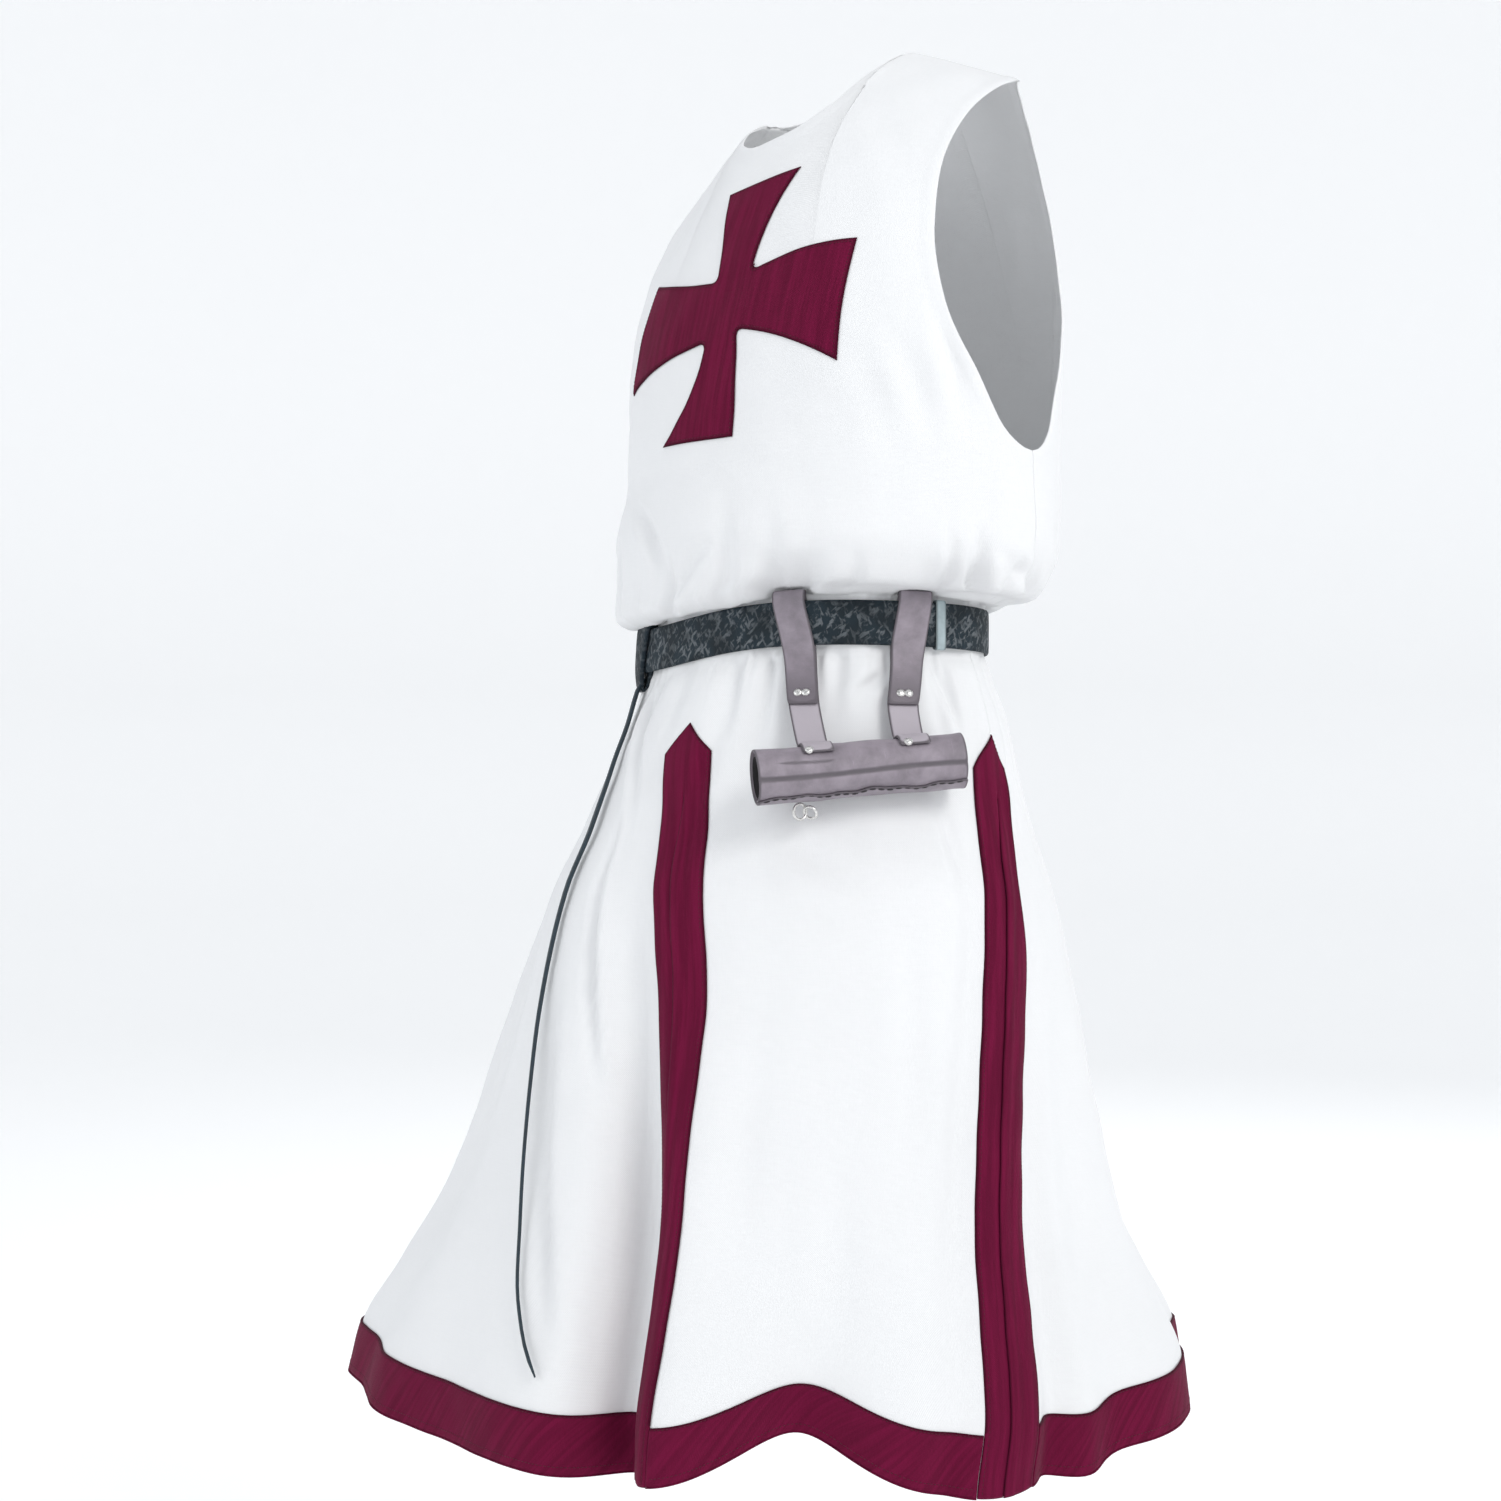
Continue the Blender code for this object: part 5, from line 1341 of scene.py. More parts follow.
CAMERA_TURN = math.radians(38.5)
CAMERA_DIP = math.radians(-1.6)
CAMERA_DISTANCE = 2.83
CAMERA_HEIGHT = -0.50
CAMERA_ASIDE = -0.078
SENSOR_WIDTH = 36.0
CAMERA_LENS = SENSOR_WIDTH * 3192.0 / 1501.0

BACKDROP_SIDES = 64
BACKDROP = ((0.01, 0.0), (3.0, 0.0), (6.0, 0.0), (7.5, 0.2), (8.6, 0.9), (9.0, 2.2), (9.0, 7.0))
WORLD_COLOUR = (0.93, 0.96, 1.0, 1.0)
WORLD_STRENGTH = 0.60
LIGHT_TARGET = (0.0, 0.0, -0.55)
LIGHTS = named_rows(
    "Light", "name place size power colour",
    ("key", (3.2, -0.9, 1.6), 1.4, 54.0, (1.0, 0.99, 0.975)),
    ("fill", (-1.9, -3.0, 0.5), 2.2, 16.0, (0.95, 0.975, 1.0)),
    ("back", (-1.2, 3.2, 1.4), 2.4, 32.0, (1.0, 1.0, 1.0)),
    ("top", (0.0, -0.3, 2.9), 2.4, 12.0, (1.0, 1.0, 1.0)),
)


def camera_matrix():
    """Camera at the photograph's viewing angle."""
    right = Vector((math.cos(CAMERA_TURN), math.sin(CAMERA_TURN), 0.0))
    level = Vector((-math.sin(CAMERA_TURN), math.cos(CAMERA_TURN), 0.0))
    ahead = level * math.cos(CAMERA_DIP) + Vector((0.0, 0.0, 1.0)) * math.sin(CAMERA_DIP)
    place = right * CAMERA_ASIDE - level * CAMERA_DISTANCE + Vector((0.0, 0.0, CAMERA_HEIGHT))
    turned = Matrix([right, right.cross(ahead), -ahead]).transposed().to_4x4()
    turned.translation = place
    return turned


def area_light(light, strength):
    """Soft square light aimed at the tunic's middle."""
    data = bpy.data.lights.new(light.name, "AREA")
    data.shape = "SQUARE"
    data.size = light.size
    data.energy = light.power * strength
    data.color = light.colour
    made = bpy.data.objects.new(light.name, data)
    made.location = light.place
    made.rotation_mode = "QUATERNION"
    aim = Vector(LIGHT_TARGET) - Vector(light.place)
    made.rotation_quaternion = aim.to_track_quat("-Z", "Y")
    bpy.context.scene.collection.objects.link(made)


class TUNIC_OT_stage(bpy.types.Operator):
    """Make the camera, the floor with its backdrop, and the lights"""

    bl_idname = "tunic.stage"
    bl_label = "Stage"

    def execute(self, context):
        settings = context.scene.tunic_stage
        data = bpy.data.cameras.new("camera")
        data.lens = CAMERA_LENS
        data.sensor_width = SENSOR_WIDTH
        camera = bpy.data.objects.new("camera", data)
        camera.matrix_world = camera_matrix()
        context.scene.collection.objects.link(camera)
        context.scene.camera = camera

        floor = settings.floor_height
        turns = np.linspace(0.0, 2.0 * math.pi, BACKDROP_SIDES + 1)[:-1]
        mesh = bmesh.new()
        rings = []
        for radius, height in BACKDROP:
            rings.append([
                mesh.verts.new((radius * math.cos(t), radius * math.sin(t), floor + height))
                for t in turns
            ])
        for low, high in zip(rings, rings[1:]):
            for k in range(BACKDROP_SIDES):
                after = (k + 1) % BACKDROP_SIDES
                mesh.faces.new((low[k], low[after], high[after], high[k]))
        mesh.faces.new(rings[0][::-1])
        made = bpy.data.meshes.new("floor")
        mesh.to_mesh(made)
        mesh.free()
        made.shade_smooth()
        made.flip_normals()
        made.materials.append(plain("floor_finish", settings.floor_colour, 0.9))
        backdrop = bpy.data.objects.new("floor", made)
        context.scene.collection.objects.link(backdrop)

        for light in LIGHTS:
            area_light(light, settings.light)
        world = bpy.data.worlds.new("studio")
        world.use_nodes = True
        wiring = Wiring(world.node_tree)
        inputs = {"Color": WORLD_COLOUR, "Strength": WORLD_STRENGTH}
        air = wiring.node("ShaderNodeBackground", None, inputs)
        wiring.node("ShaderNodeOutputWorld", None, {"Surface": air})
        context.scene.world = world
        context.scene.view_settings.view_transform = "Standard"
        return {"FINISHED"}


# Belt tail

TAIL_POINTS = 58
TAIL_SIDES = 14
TAIL_THICKNESS = 0.0040


def tail_route():
    """Centre line of the tail over the skirt, and the way it faces at each point."""
    points = []
    facing = []
    for height in np.linspace(TAIL[0].height, TAIL[-1].height, TAIL_POINTS):
        turn = np.array([math.radians(float(eased(TAIL, "turn", height)))])
        points.append(posed(ring_points(turn, height, TAIL_REST))[0])
        facing.append(ring_normal(turn, height)[0])
    return np.array(points), np.array(facing)


class TUNIC_OT_tail(bpy.types.Operator):
    """Make the long leather tail that hangs from the belt"""

    bl_idname = "tunic.tail"
    bl_label = "Belt tail"

    def execute(self, context):
        settings = context.scene.tunic_leather
        path, facing = tail_route()
        ahead = unit(np.gradient(path, axis=0))
        across = unit(np.cross(ahead, facing))
        facing = np.cross(across, ahead)
        share = np.linspace(0.0, 1.0, len(path))
        width = settings.tail_width * (1.0 - 0.68 * smoothstep(0.0, 0.75, share)) / 2.0
        depth = TAIL_THICKNESS * (1.0 - 0.45 * share) / 2.0
        width[-1] *= 0.45
        depth[-1] *= 0.6
        circle = np.linspace(0.0, 2.0 * math.pi, TAIL_SIDES + 1)
        flat = np.sign(np.cos(circle)) * np.abs(np.cos(circle)) ** 0.8
        high = np.sign(np.sin(circle)) * np.abs(np.sin(circle)) ** 0.8
        rings = (
            path[:, None]
            + across[:, None] * (width[:, None] * flat)[..., None]
            + facing[:, None] * (depth[:, None] * high)[..., None]
        )
        length = run_length(path)
        uvs = np.stack(np.broadcast_arrays(circle * 0.0016, length[:, None]), axis=-1)
        index = numbered(rings)
        faces = [*grid_faces(index)[:, ::-1], index[0, :-1], index[-1, :-1][::-1]]
        skin = smooth_leather("tail_leather", settings.belt_colour, 0.5)
        made = mesh_object("tail", rings, faces, skin, uvs, np.full(index.size, 0.01))
        weld(made)
        finished(made, "belt_tail", slot="belt_leather")
        return {"FINISHED"}


# Cloth pieces


def panel_mesh(panel, halves, skin):
    """A panel's object, open at its vent and sewn above it, and its sheet facts."""
    before, after = halves
    rows, columns = before.shape[:2]
    sewn = sewn_row(level_heights()) if panel.middle == "front" else 0
    left = numbered(before)
    right = left + left.size
    right[sewn:, 0] = left[sewn:, -1]
    faces = np.concatenate([grid_faces(left), grid_faces(right)])
    width = np.concatenate([run_length(before) - run_length(before)[:, -1:], run_length(after)])
    middle = run_length(after[:, 0])
    length = np.broadcast_to(np.tile(middle, 2)[:, None], width.shape)
    points = posed(np.concatenate([before, after])).reshape(-1, 3)
    uvs = np.stack([width, length], axis=-1).reshape(-1, 2)
    used, where = np.unique(faces, return_inverse=True)
    faces = where.reshape(faces.shape)
    made = mesh_object(panel.name.replace("tunic", "cloth"), points[used], faces, skin, uvs[used])
    area = sum(face.area for face in made.data.polygons)
    spread = width.reshape(2, rows, columns)
    flat = (float((spread[1, :, -1] - spread[0, :, 0]).max()), float(middle[-1]))
    return made, flat, area


class TUNIC_OT_panels(bpy.types.Operator):
    """Make the front and back of white cloth, with blouse, gathers, folds and creases"""

    bl_idname = "tunic.panels"
    bl_label = "White cloth"

    def execute(self, context):
        settings = context.scene.tunic_cloth
        skin = white_cloth(settings)
        for panel, halves in zip(PANELS, panel_lattices()):
            made, flat, area = panel_mesh(panel, halves, skin)
            made["flat"] = flat
            made["area"] = area
            walled(made, settings.thickness)
            finished(made, panel.name, slot="white_cloth")
        return {"FINISHED"}


def band_rise(distance, at_edge):
    """How far a band's outer side stands off the cloth, rounded down at its edge."""
    return at_edge + (BAND_RISE - at_edge) * np.sqrt(smoothstep(-0.0006, 0.0018, distance))


BAND_STEPS = (0.0, 0.0008, 0.0020, 0.0036, 0.0060, 0.0090)
LOOSE_LENGTH = 0.06
LOOSE_EDGE_SINK = 0.0015
LOOSE_LEG_SINK = 0.0008
LAP_RISE = 0.0016


def band_columns(inner, outer):
    """Distances across a band from its inner to its outer edge, closer together at both."""
    edge = np.array(BAND_STEPS) / BAND_STEPS[-1] * min(BAND_STEPS[-1], (outer - inner) * 0.4)
    middle = np.linspace(inner + edge[-1], outer - edge[-1], 7)[1:-1]
    return np.concatenate([inner + edge, middle, (outer - edge)[::-1]])


def vent_half(height):
    """Half width of a vent band, drawn in to a point above the vent."""
    share = (VENT_TIP - height) / (VENT_TIP - VENT_SHOULDER)
    return VENT_BAND_WIDTH / 2.0 * np.clip(share, 0.0, 1.0)


def vent_band_rows(seam):
    """Posed rows across a vent's two legs, with their edge distances and measures."""
    heights = np.concatenate([
        [HEM - 0.0008, HEM + 0.0012, HEM + 0.0036],
        np.linspace(HEM + 0.009, VENT_TOP, 84),
        np.linspace(VENT_TOP, VENT_SHOULDER, 8)[1:],
        np.linspace(VENT_SHOULDER, VENT_TIP - VENT_LOWER[seam], 15)[1:],
    ])
    offsets = np.linspace(-0.031, 0.031, 63)
    rows = []
    for height in heights:
        angles, arcs = ring_arcs(height)
        centre = np.interp(seam_turn(seam, height), angles, arcs)
        rows.append(np.interp(centre + offsets, arcs, angles))
    base = posed(skirt_surface(rows, heights))
    normals = outward(base)
    legs = []
    lap = {-1.0: 0.0, 1.0: VENT_LAP}
    slope = (VENT_TIP - VENT_SHOULDER) / math.hypot(VENT_TIP - VENT_SHOULDER, VENT_BAND_WIDTH / 2.0)
    for side in (-1.0, 1.0):
        points, edges, measures = [], [], []
        for k, height in enumerate(heights):
            open_vent = height < VENT_TOP
            loose = float(smoothstep(VENT_TOP, VENT_TOP - LOOSE_LENGTH, height))
            lapped = lap[side] * loose
            inner = vent_gap(seam, height) / 2.0 if side < 0.0 else -lapped
            outer = float(vent_half(height + VENT_LOWER[seam]))
            if seam == "left" and side > 0.0:
                outer *= 1.0 - 0.45 * float(smoothstep(-0.760, -0.690, height))
            outer = max(outer, inner + 0.0001)
            across = band_columns(inner, outer)
            from_slit = across - inner if open_vent else np.full_like(across, 1.0)
            to_side = (outer - across) * (slope if height > VENT_SHOULDER else 1.0)
            to_hem = np.full_like(across, height - HEM + 0.0008)
            edge = np.minimum(np.minimum(to_side, to_hem), from_slit)
            sunk = LOOSE_EDGE_SINK * loose if side < 0.0 else 0.0
            rise = band_rise(edge, BAND_EDGE_RISE - sunk)
            if side > 0.0:
                over = 1.0 - smoothstep(VENT_LAP, VENT_LAP + 0.008, across - inner)
                rise = np.where(open_vent, rise + LAP_RISE * over * lapped / VENT_LAP, rise)
            else:
                rise = rise - LOOSE_LEG_SINK * (1.0 - smoothstep(0.004, 0.012, across)) * loose
            # Edge distances for the painted shade: to the white cloth beside the band, and along
            # the lapping leg's edge at the slit.
            at_white = to_side + (0.01 if height < HEM + HEM_BAND_WIDTH - 0.002 else 0.0)
            edge = np.minimum(at_white, np.where(open_vent & (side > 0.0), from_slit + 0.0012, 1.0))
            pick = side * across
            place, facing = (
                np.stack([np.interp(pick, offsets, row[:, c]) for c in range(3)], axis=-1)
                for row in (base[k], normals[k])
            )
            points.append(place + unit(facing) * rise[:, None])
            edges.append(edge)
            measures.append(np.stack([pick, np.full_like(pick, height)], axis=-1))
        legs.append((np.array(points), np.array(edges), np.array(measures)))
    return heights, legs


def vent_band(seam, skin, settings):
    """Vent binding: a pointed head over the vent and a leg down each edge."""
    heights, legs = vent_band_rows(seam)
    sewn = sewn_row(heights)
    left = numbered(legs[0][0])
    right = left + left.size
    right[sewn:, 0] = left[sewn:, 0]
    faces = np.concatenate([grid_faces(left[:, ::-1]), grid_faces(right)])
    used, where = np.unique(faces, return_inverse=True)
    points, edges, measures = (np.concatenate([leg[k] for leg in legs]) for k in range(3))
    made = mesh_object(
        "vent_binding_" + seam, points.reshape(-1, 3)[used], where.reshape(faces.shape), skin,
        measures.reshape(-1, 2)[used], edges.ravel()[used],
    )
    weld(made)
    return walled(made, settings.band_thickness)


HEM_RUNS = named_rows(
    "HemRun", "name start end columns",
    ("hem_band_front_right", "right", "front", 150),
    ("hem_band_front_left", "front", "left", 60),
    ("hem_band_back", "left", "right", 230),
)


HEM_BAND_FOOT = (0.0008, 0.0020, 0.0036, 0.0060)
HEM_BAND_TOP = (0.0405, 0.0430, 0.0442, HEM_BAND_WIDTH)
HEM_BAND_ENDS = np.array([0.0, 0.0010, 0.0024, 0.0045])


def hem_band_rows(run):
    """Posed rows of a hem band, from its turned lower edge up, with edge distances and measures."""
    up = np.concatenate([HEM_BAND_FOOT, np.linspace(0.010, 0.036, 6), HEM_BAND_TOP])
    heights = np.concatenate([[HEM - 0.0002, HEM - 0.0011], HEM + up])
    rise = band_rise(np.minimum(up + 0.001, HEM_BAND_WIDTH - up), BAND_EDGE_RISE)
    rise = np.concatenate([[-0.0016, -0.0002], rise])
    side = VENT_BAND_WIDTH / 2.0 + 0.0004
    rows, measures, edges = [], [], []
    for height in heights:
        angles, arcs = ring_arcs(height)
        first, last = seam_turn(run.start, height), seam_turn(run.end, height)
        if last < first:
            first -= 2.0 * math.pi
        first, last = np.interp([first, last], angles, arcs) + np.array([side, -side])
        near = HEM_BAND_ENDS[-1]
        middle = np.linspace(first + near, last - near, run.columns)[1:-1]
        across = np.concatenate([first + HEM_BAND_ENDS, middle, last - HEM_BAND_ENDS[::-1]])
        rows.append(np.interp(across, arcs, angles))
        measures.append(np.stack([across, np.full_like(across, height)], axis=-1))
        # Distance below the band's top edge, where painted shade darkens it against the white
        # cloth.
        edges.append(np.full_like(across, max(HEM + HEM_BAND_WIDTH - height, 0.0)))
    base = posed(skirt_surface(rows, heights))
    lattice = base + outward(base) * rise[:, None, None]
    return lattice, np.array(edges), np.array(measures)


class TUNIC_OT_bands(bpy.types.Operator):
    """Make the red bindings of the vents and the bands along the hem"""

    bl_idname = "tunic.bands"
    bl_label = "Red bands"

    def execute(self, context):
        settings = context.scene.tunic_cloth
        skin = red_cloth(settings)
        for seam in ("front", "left", "right"):
            finished(vent_band(seam, skin, settings), "vent_band_" + seam, slot="red_cloth")
        for run in HEM_RUNS:
            lattice, edges, measures = hem_band_rows(run)
            name = run.name.replace("hem_band", "hem_binding")
            made = lattice_object(name, lattice, skin, measures, edges)
            finished(walled(made, settings.band_thickness), run.name, slot="red_cloth")
        return {"FINISHED"}


# Cross

CROSS_ROWS = 34
CROSS_TICKS = np.array([
    -1.0, -0.975, -0.935, -0.86, -0.74, -0.58, -0.40, -0.20, 0.0,
    0.20, 0.40, 0.58, 0.74, 0.86, 0.935, 0.975, 1.0,
])


def arm_side(root, middle, end, share):
    """Places on the curved side of an arm, at shares of the way from its root to its end."""
    root, middle, end = np.array(root), np.array(middle), np.array(end)
    first = np.linalg.norm(middle - root)
    half = first / (first + np.linalg.norm(end - middle))
    share = np.asarray(share, dtype=float)[..., None]
    return (
        root * (share - half) * (share - 1.0) / half
        + middle * share * (share - 1.0) / (half * (half - 1.0))
        + end * share * (share - half) / (1.0 - half)
    )


def rounded_side(root, middle, end, along, turn):
    """Side of an arm that starts on the rounded corner between two arms."""
    length = np.linalg.norm(np.subtract(middle, root)) + np.linalg.norm(np.subtract(end, middle))
    start = CROSS_CORNER * (1.0 - math.sqrt(0.5))
    far = start + (length - start) * along
    places = arm_side(root, middle, end, far / length)
    ahead = unit(places - arm_side(root, middle, end, far / length - 0.01))
    into = np.clip(CROSS_CORNER - far, 0.0, CROSS_CORNER)
    corner = CROSS_CORNER - np.sqrt(CROSS_CORNER ** 2 - into ** 2)
    aside = np.stack([-ahead[:, 1], ahead[:, 0]], axis=-1) * turn
    return places + aside * corner[:, None]


def cross_sides(along):
    """Left and right side of each arm, two arms meeting in one point at each root."""
    lefts = [rounded_side(*arm.left, along, 1.0) for arm in CROSS_ARMS]
    rights = [rounded_side(*arm.right, along, -1.0) for arm in CROSS_ARMS]
    for k, left in enumerate(lefts):
        left[0] = rights[k - 1][0] = (left[0] + rights[k - 1][0]) / 2.0
    return lefts, rights


def between(first, second, share):
    """Places on straight lines from the first places to the second."""
    return first[:, None] * (1.0 - share)[:, None] + second[:, None] * share[:, None]


def cross_outline():
    """Flat closed outline of the cross."""
    lefts, rights = cross_sides(np.linspace(0.0, 1.0, 60) ** 1.5)
    ends = np.linspace(0.0, 1.0, 24)[1:-1]
    parts = []
    for left, right in zip(lefts, rights):
        parts.extend([left, between(left[-1:], right[-1:], ends)[0], right[:0:-1]])
    outline = np.concatenate(parts)
    return np.concatenate([outline, outline[:1]])


def chest_points(flat, out=0.0):
    """Posed points on the chest for flat places of the cross, raised by a distance."""

    def on_chest(place):
        x = CROSS_CENTRE[0] + place[:, 0] + CROSS_LEAN * place[:, 1]
        height = CROSS_CENTRE[1] + place[:, 1]
        sine = np.clip((height - UNDERARM) / (shoulder_top(x) - UNDERARM), 0.0, 0.9999)
        return posed(yoke_surface(FRONT_YOKE, x, np.arcsin(sine)))

    small = 0.0015
    across = on_chest(flat + (small, 0.0)) - on_chest(flat - (small, 0.0))
    up = on_chest(flat + (0.0, small)) - on_chest(flat - (0.0, small))
    return on_chest(flat) + unit(np.cross(across, up)) * np.asarray(out)[..., None]


class TUNIC_OT_cross(bpy.types.Operator):
    """Make the red cross with four flared arms, laid on the chest"""

    bl_idname = "tunic.cross"
    bl_label = "Cross"

    def execute(self, context):
        settings = context.scene.tunic_cloth
        skin = red_cloth(settings)
        along = np.concatenate([
            [0.0, 0.01, 0.02, 0.035, 0.05], np.linspace(0.07, 0.965, CROSS_ROWS), [0.985, 1.0],
        ])
        share = (CROSS_TICKS + 1.0) / 2.0
        lefts, rights = cross_sides(along)
        top = between(lefts[0][:1], rights[0][:1], share)[0]
        low = between(rights[2][:1], lefts[2][:1], share)[0]
        grids = [between(low, top, share).swapaxes(0, 1)]
        grids.extend(between(left, right, share) for left, right in zip(lefts, rights))
        places, faces, start = [], [], 0
        for grid in grids:
            index = numbered(grid, start)
            places.append(grid.reshape(-1, 2))
            faces.append(grid_faces(index))
            start += index.size
        flat = np.concatenate(places)
        # Distance from the outline: the cross rounds down there, and painted shade darkens it
        # there.
        edge = nearest(flat, cross_outline())[1]
        points = chest_points(flat, band_rise(edge, BAND_EDGE_RISE))
        made = mesh_object("applied_cross", points, np.concatenate(faces), skin, flat, edge)
        weld(made, 0.00002)
        if sum(face.normal.y for face in made.data.polygons) > 0.0:
            made.data.flip_normals()
        finished(walled(made, settings.band_thickness), "cross", slot="red_cloth")
        return {"FINISHED"}


# Belt


def belt_point(turn, out, height, sideways=0.0):
    """Posed points by the belt: out from its inner side, and sideways along it."""
    turn = np.asarray(turn, dtype=float)
    turn, out, height, sideways = np.broadcast_arrays(turn, out, height, sideways)
    depth = np.where(np.cos(turn) > 0, BELT_FRONT, BELT_BACK)
    stretch = np.hypot(BELT_HALF_WIDTH * np.cos(turn), depth * np.sin(turn))
    turn = turn + sideways / stretch
    depth = np.where(np.cos(turn) > 0, BELT_FRONT, BELT_BACK)
    flat = np.stack([BELT_HALF_WIDTH * np.sin(turn), -depth * np.cos(turn)], axis=-1)
    normal = unit(np.stack([depth * np.sin(turn), -BELT_HALF_WIDTH * np.cos(turn)], axis=-1))
    flat = flat + normal * out[..., None]
    return posed(np.concatenate([flat, height[..., None]], axis=-1))


BELT_SEGMENTS = 420
BELT_PROFILE = [
    (0.0000, -0.0176), (0.0005, -0.0186), (0.0014, -0.0190), (0.0025, -0.0187), (0.0032, -0.0178),
    (0.0035, -0.0164), (0.00365, -0.0120), (0.0037, -0.0060), (0.0037, 0.0060), (0.00365, 0.0120),
    (0.0035, 0.0164), (0.0032, 0.0178), (0.0025, 0.0187), (0.0014, 0.0190), (0.0005, 0.0186),
    (0.0000, 0.0176), (0.0000, 0.0060), (0.0000, -0.0060), (0.0000, -0.0176),
]


def belt_band(skin):
    """The belt's strip, its two ends meeting under the wrap."""
    start = math.radians(WRAP_TURN)
    turns = np.linspace(start, start + 2.0 * math.pi, BELT_SEGMENTS + 1)
    profile = np.array(BELT_PROFILE)
    points = belt_point(turns[:, None], profile[:, 0], BELT_HEIGHT + profile[:, 1])
    length = run_length(belt_point(turns, 0.0, BELT_HEIGHT))
    uvs = np.stack(np.broadcast_arrays(length[:, None], profile[:, 1]), axis=-1)
    edge = np.tile(BELT_WIDTH / 2.0 - np.abs(profile[:, 1]), len(turns))
    return mesh_object("leather_belt", points, grid_faces(numbered(points).T), skin, uvs, edge)


def strap_object(name, rows, skin, thickness, closed=False, rounds=2, crease_shade=None):
    """A leather strap: rows of points across its width, thickened both ways and softened."""
    rows = np.array(rows)
    if closed:
        rows = np.concatenate([rows, rows[:1]])
    across = run_length(rows)
    length = run_length(rows[:, rows.shape[1] // 2])
    uvs = np.stack(np.broadcast_arrays(across, length[:, None]), axis=-1)
    edge = np.minimum(across, across[:, -1:] - across)
    if not closed:
        edge = np.minimum(edge, np.minimum(length, length[-1] - length)[:, None])
    # Painted shade: crease lines given here are darkened as the cut edges are.
    if crease_shade is not None:
        edge = np.minimum(edge, crease_shade)
    made = lattice_object(name, rows, skin, uvs, edge)
    if closed:
        weld(made)
    return walled(made, thickness, 0.0, rounds)


def loop_path(thickness, bottom):
    """Path round the belt's section for a strap's middle: pairs of out and height."""
    gap = 0.0004 + thickness / 2.0
    half = BELT_WIDTH / 2.0
    outer = BELT_THICKNESS + gap
    return [
        (-gap, -half), (-gap, -half * 0.4), (-gap, half * 0.4), (-gap, half),
        (-gap * 0.2, half + gap), (outer * 0.5, half + gap * 1.3), (outer - gap * 0.6, half + gap),
        (outer, half), (outer, half * 0.4), (outer, -half * 0.4), (outer, -half),
        (outer - gap * 0.6, -half - gap - bottom), (outer * 0.5, -half - gap * 1.3 - bottom),
        (-gap * 0.2, -half - gap - bottom),
    ]


def closed_loop(name, turn, width, thickness, slant, skin, columns, bottom=0.0):
    """A strap closed round the belt."""
    sideways = np.linspace(-width / 2.0, width / 2.0, columns)
    rows = [
        belt_point(math.radians(turn), out, BELT_HEIGHT + height, sideways + slant * height)
        for out, height in loop_path(thickness, bottom)
    ]
    return strap_object(name, rows, skin, thickness, closed=True)


class TUNIC_OT_belt(bpy.types.Operator):
    """Make the embossed belt with its wrapped end and its keeper"""

    bl_idname = "tunic.belt"
    bl_label = "Belt"

    def execute(self, context):
        settings = context.scene.tunic_leather
        scales = belt_leather(settings)
        pale = smooth_leather("keeper_leather", settings.keeper_colour, 0.55)
        finished(belt_band(scales), "belt", slot="belt_leather")
        wrap = closed_loop("belt_end_wrap", WRAP_TURN, 0.030, 0.0044, 0.45, scales, 9, bottom=0.012)
        finished(wrap, "belt_wrap", slot="belt_leather")
        keeper = closed_loop("keeper_loop", KEEPER_TURN, 0.010, 0.0016, 0.0, pale, 5)
        finished(keeper, "belt_keeper", slot="pale_leather")
        return {"FINISHED"}


# Sword frog

FRONT_LEAF_HEIGHTS = (-0.545, -0.5365, -0.527, -0.518, -0.507)
BACK_LEAF_HEIGHTS = (-0.508, -0.516, -0.524, -0.532, -0.540, -0.546)
TUBE_LAP_ANGLES = (125.0, 112.0, 99.0, 86.0, 73.0, 60.0, 45.0)
HANGER_COLUMNS = 9
HANGER_LOOP_RISE = 0.0075


def cloth_out(turn, height, sideways):
    """How far out from the belt's inner side the skirt lies below it."""
    base = belt_point(turn, 0.0, height, sideways)
    far = belt_point(turn, 0.1, height, sideways)
    direction = unit(far - base)
    ring = posed(ring_points(np.linspace(-math.pi, math.pi, 721), height))
    offset = ring[:, :2] - base[:2]
    beside = np.abs(offset[:, 0] * direction[1] - offset[:, 1] * direction[0])
    beside[offset @ direction[:2] < -0.05] = 1.0
    return float(offset[beside.argmin()] @ direction[:2])


def tube_frame():
    """Centre, direction, outward and upward of the frog's tube."""
    turn = math.radians(TUBE_TURN)
    start, facing = belt_point(turn, np.array([0.0, 0.1]), TUBE_HEIGHT)
    facing = facing - start
    bearing = math.atan2(facing[0], -facing[1]) + TUBE_SWING
    facing = np.array([math.sin(bearing), -math.cos(bearing), 0.0])
    level = np.cross([0.0, 0.0, 1.0], facing)
    along = level * math.cos(TUBE_RISE) + np.array([0.0, 0.0, 1.0]) * math.sin(TUBE_RISE)
    upward = np.cross(facing, along)
    heights = TUBE_HEIGHT + TUBE_RADIUS * np.linspace(-1.6, 1.6, 17)
    turns = np.linspace(0.0, math.pi / 2.0, 181)
    cloth = np.concatenate([posed(ring_points(turns, height)) for height in heights]) - start
    high = cloth @ upward
    near = (np.abs(cloth @ along) < TUBE_LENGTH / 2.0) & (np.abs(high) < TUBE_RADIUS)
    out = (cloth @ facing + np.sqrt(np.clip(TUBE_RADIUS ** 2 - high ** 2, 0.0, None)))[near].max()
    return start + facing * (out + 0.0012), along, facing, upward


def spokes(first, second, turns):
    """Directions at turns round an axis, from the first direction towards the second."""
    return first * np.cos(turns)[..., None] + second * np.sin(turns)[..., None]


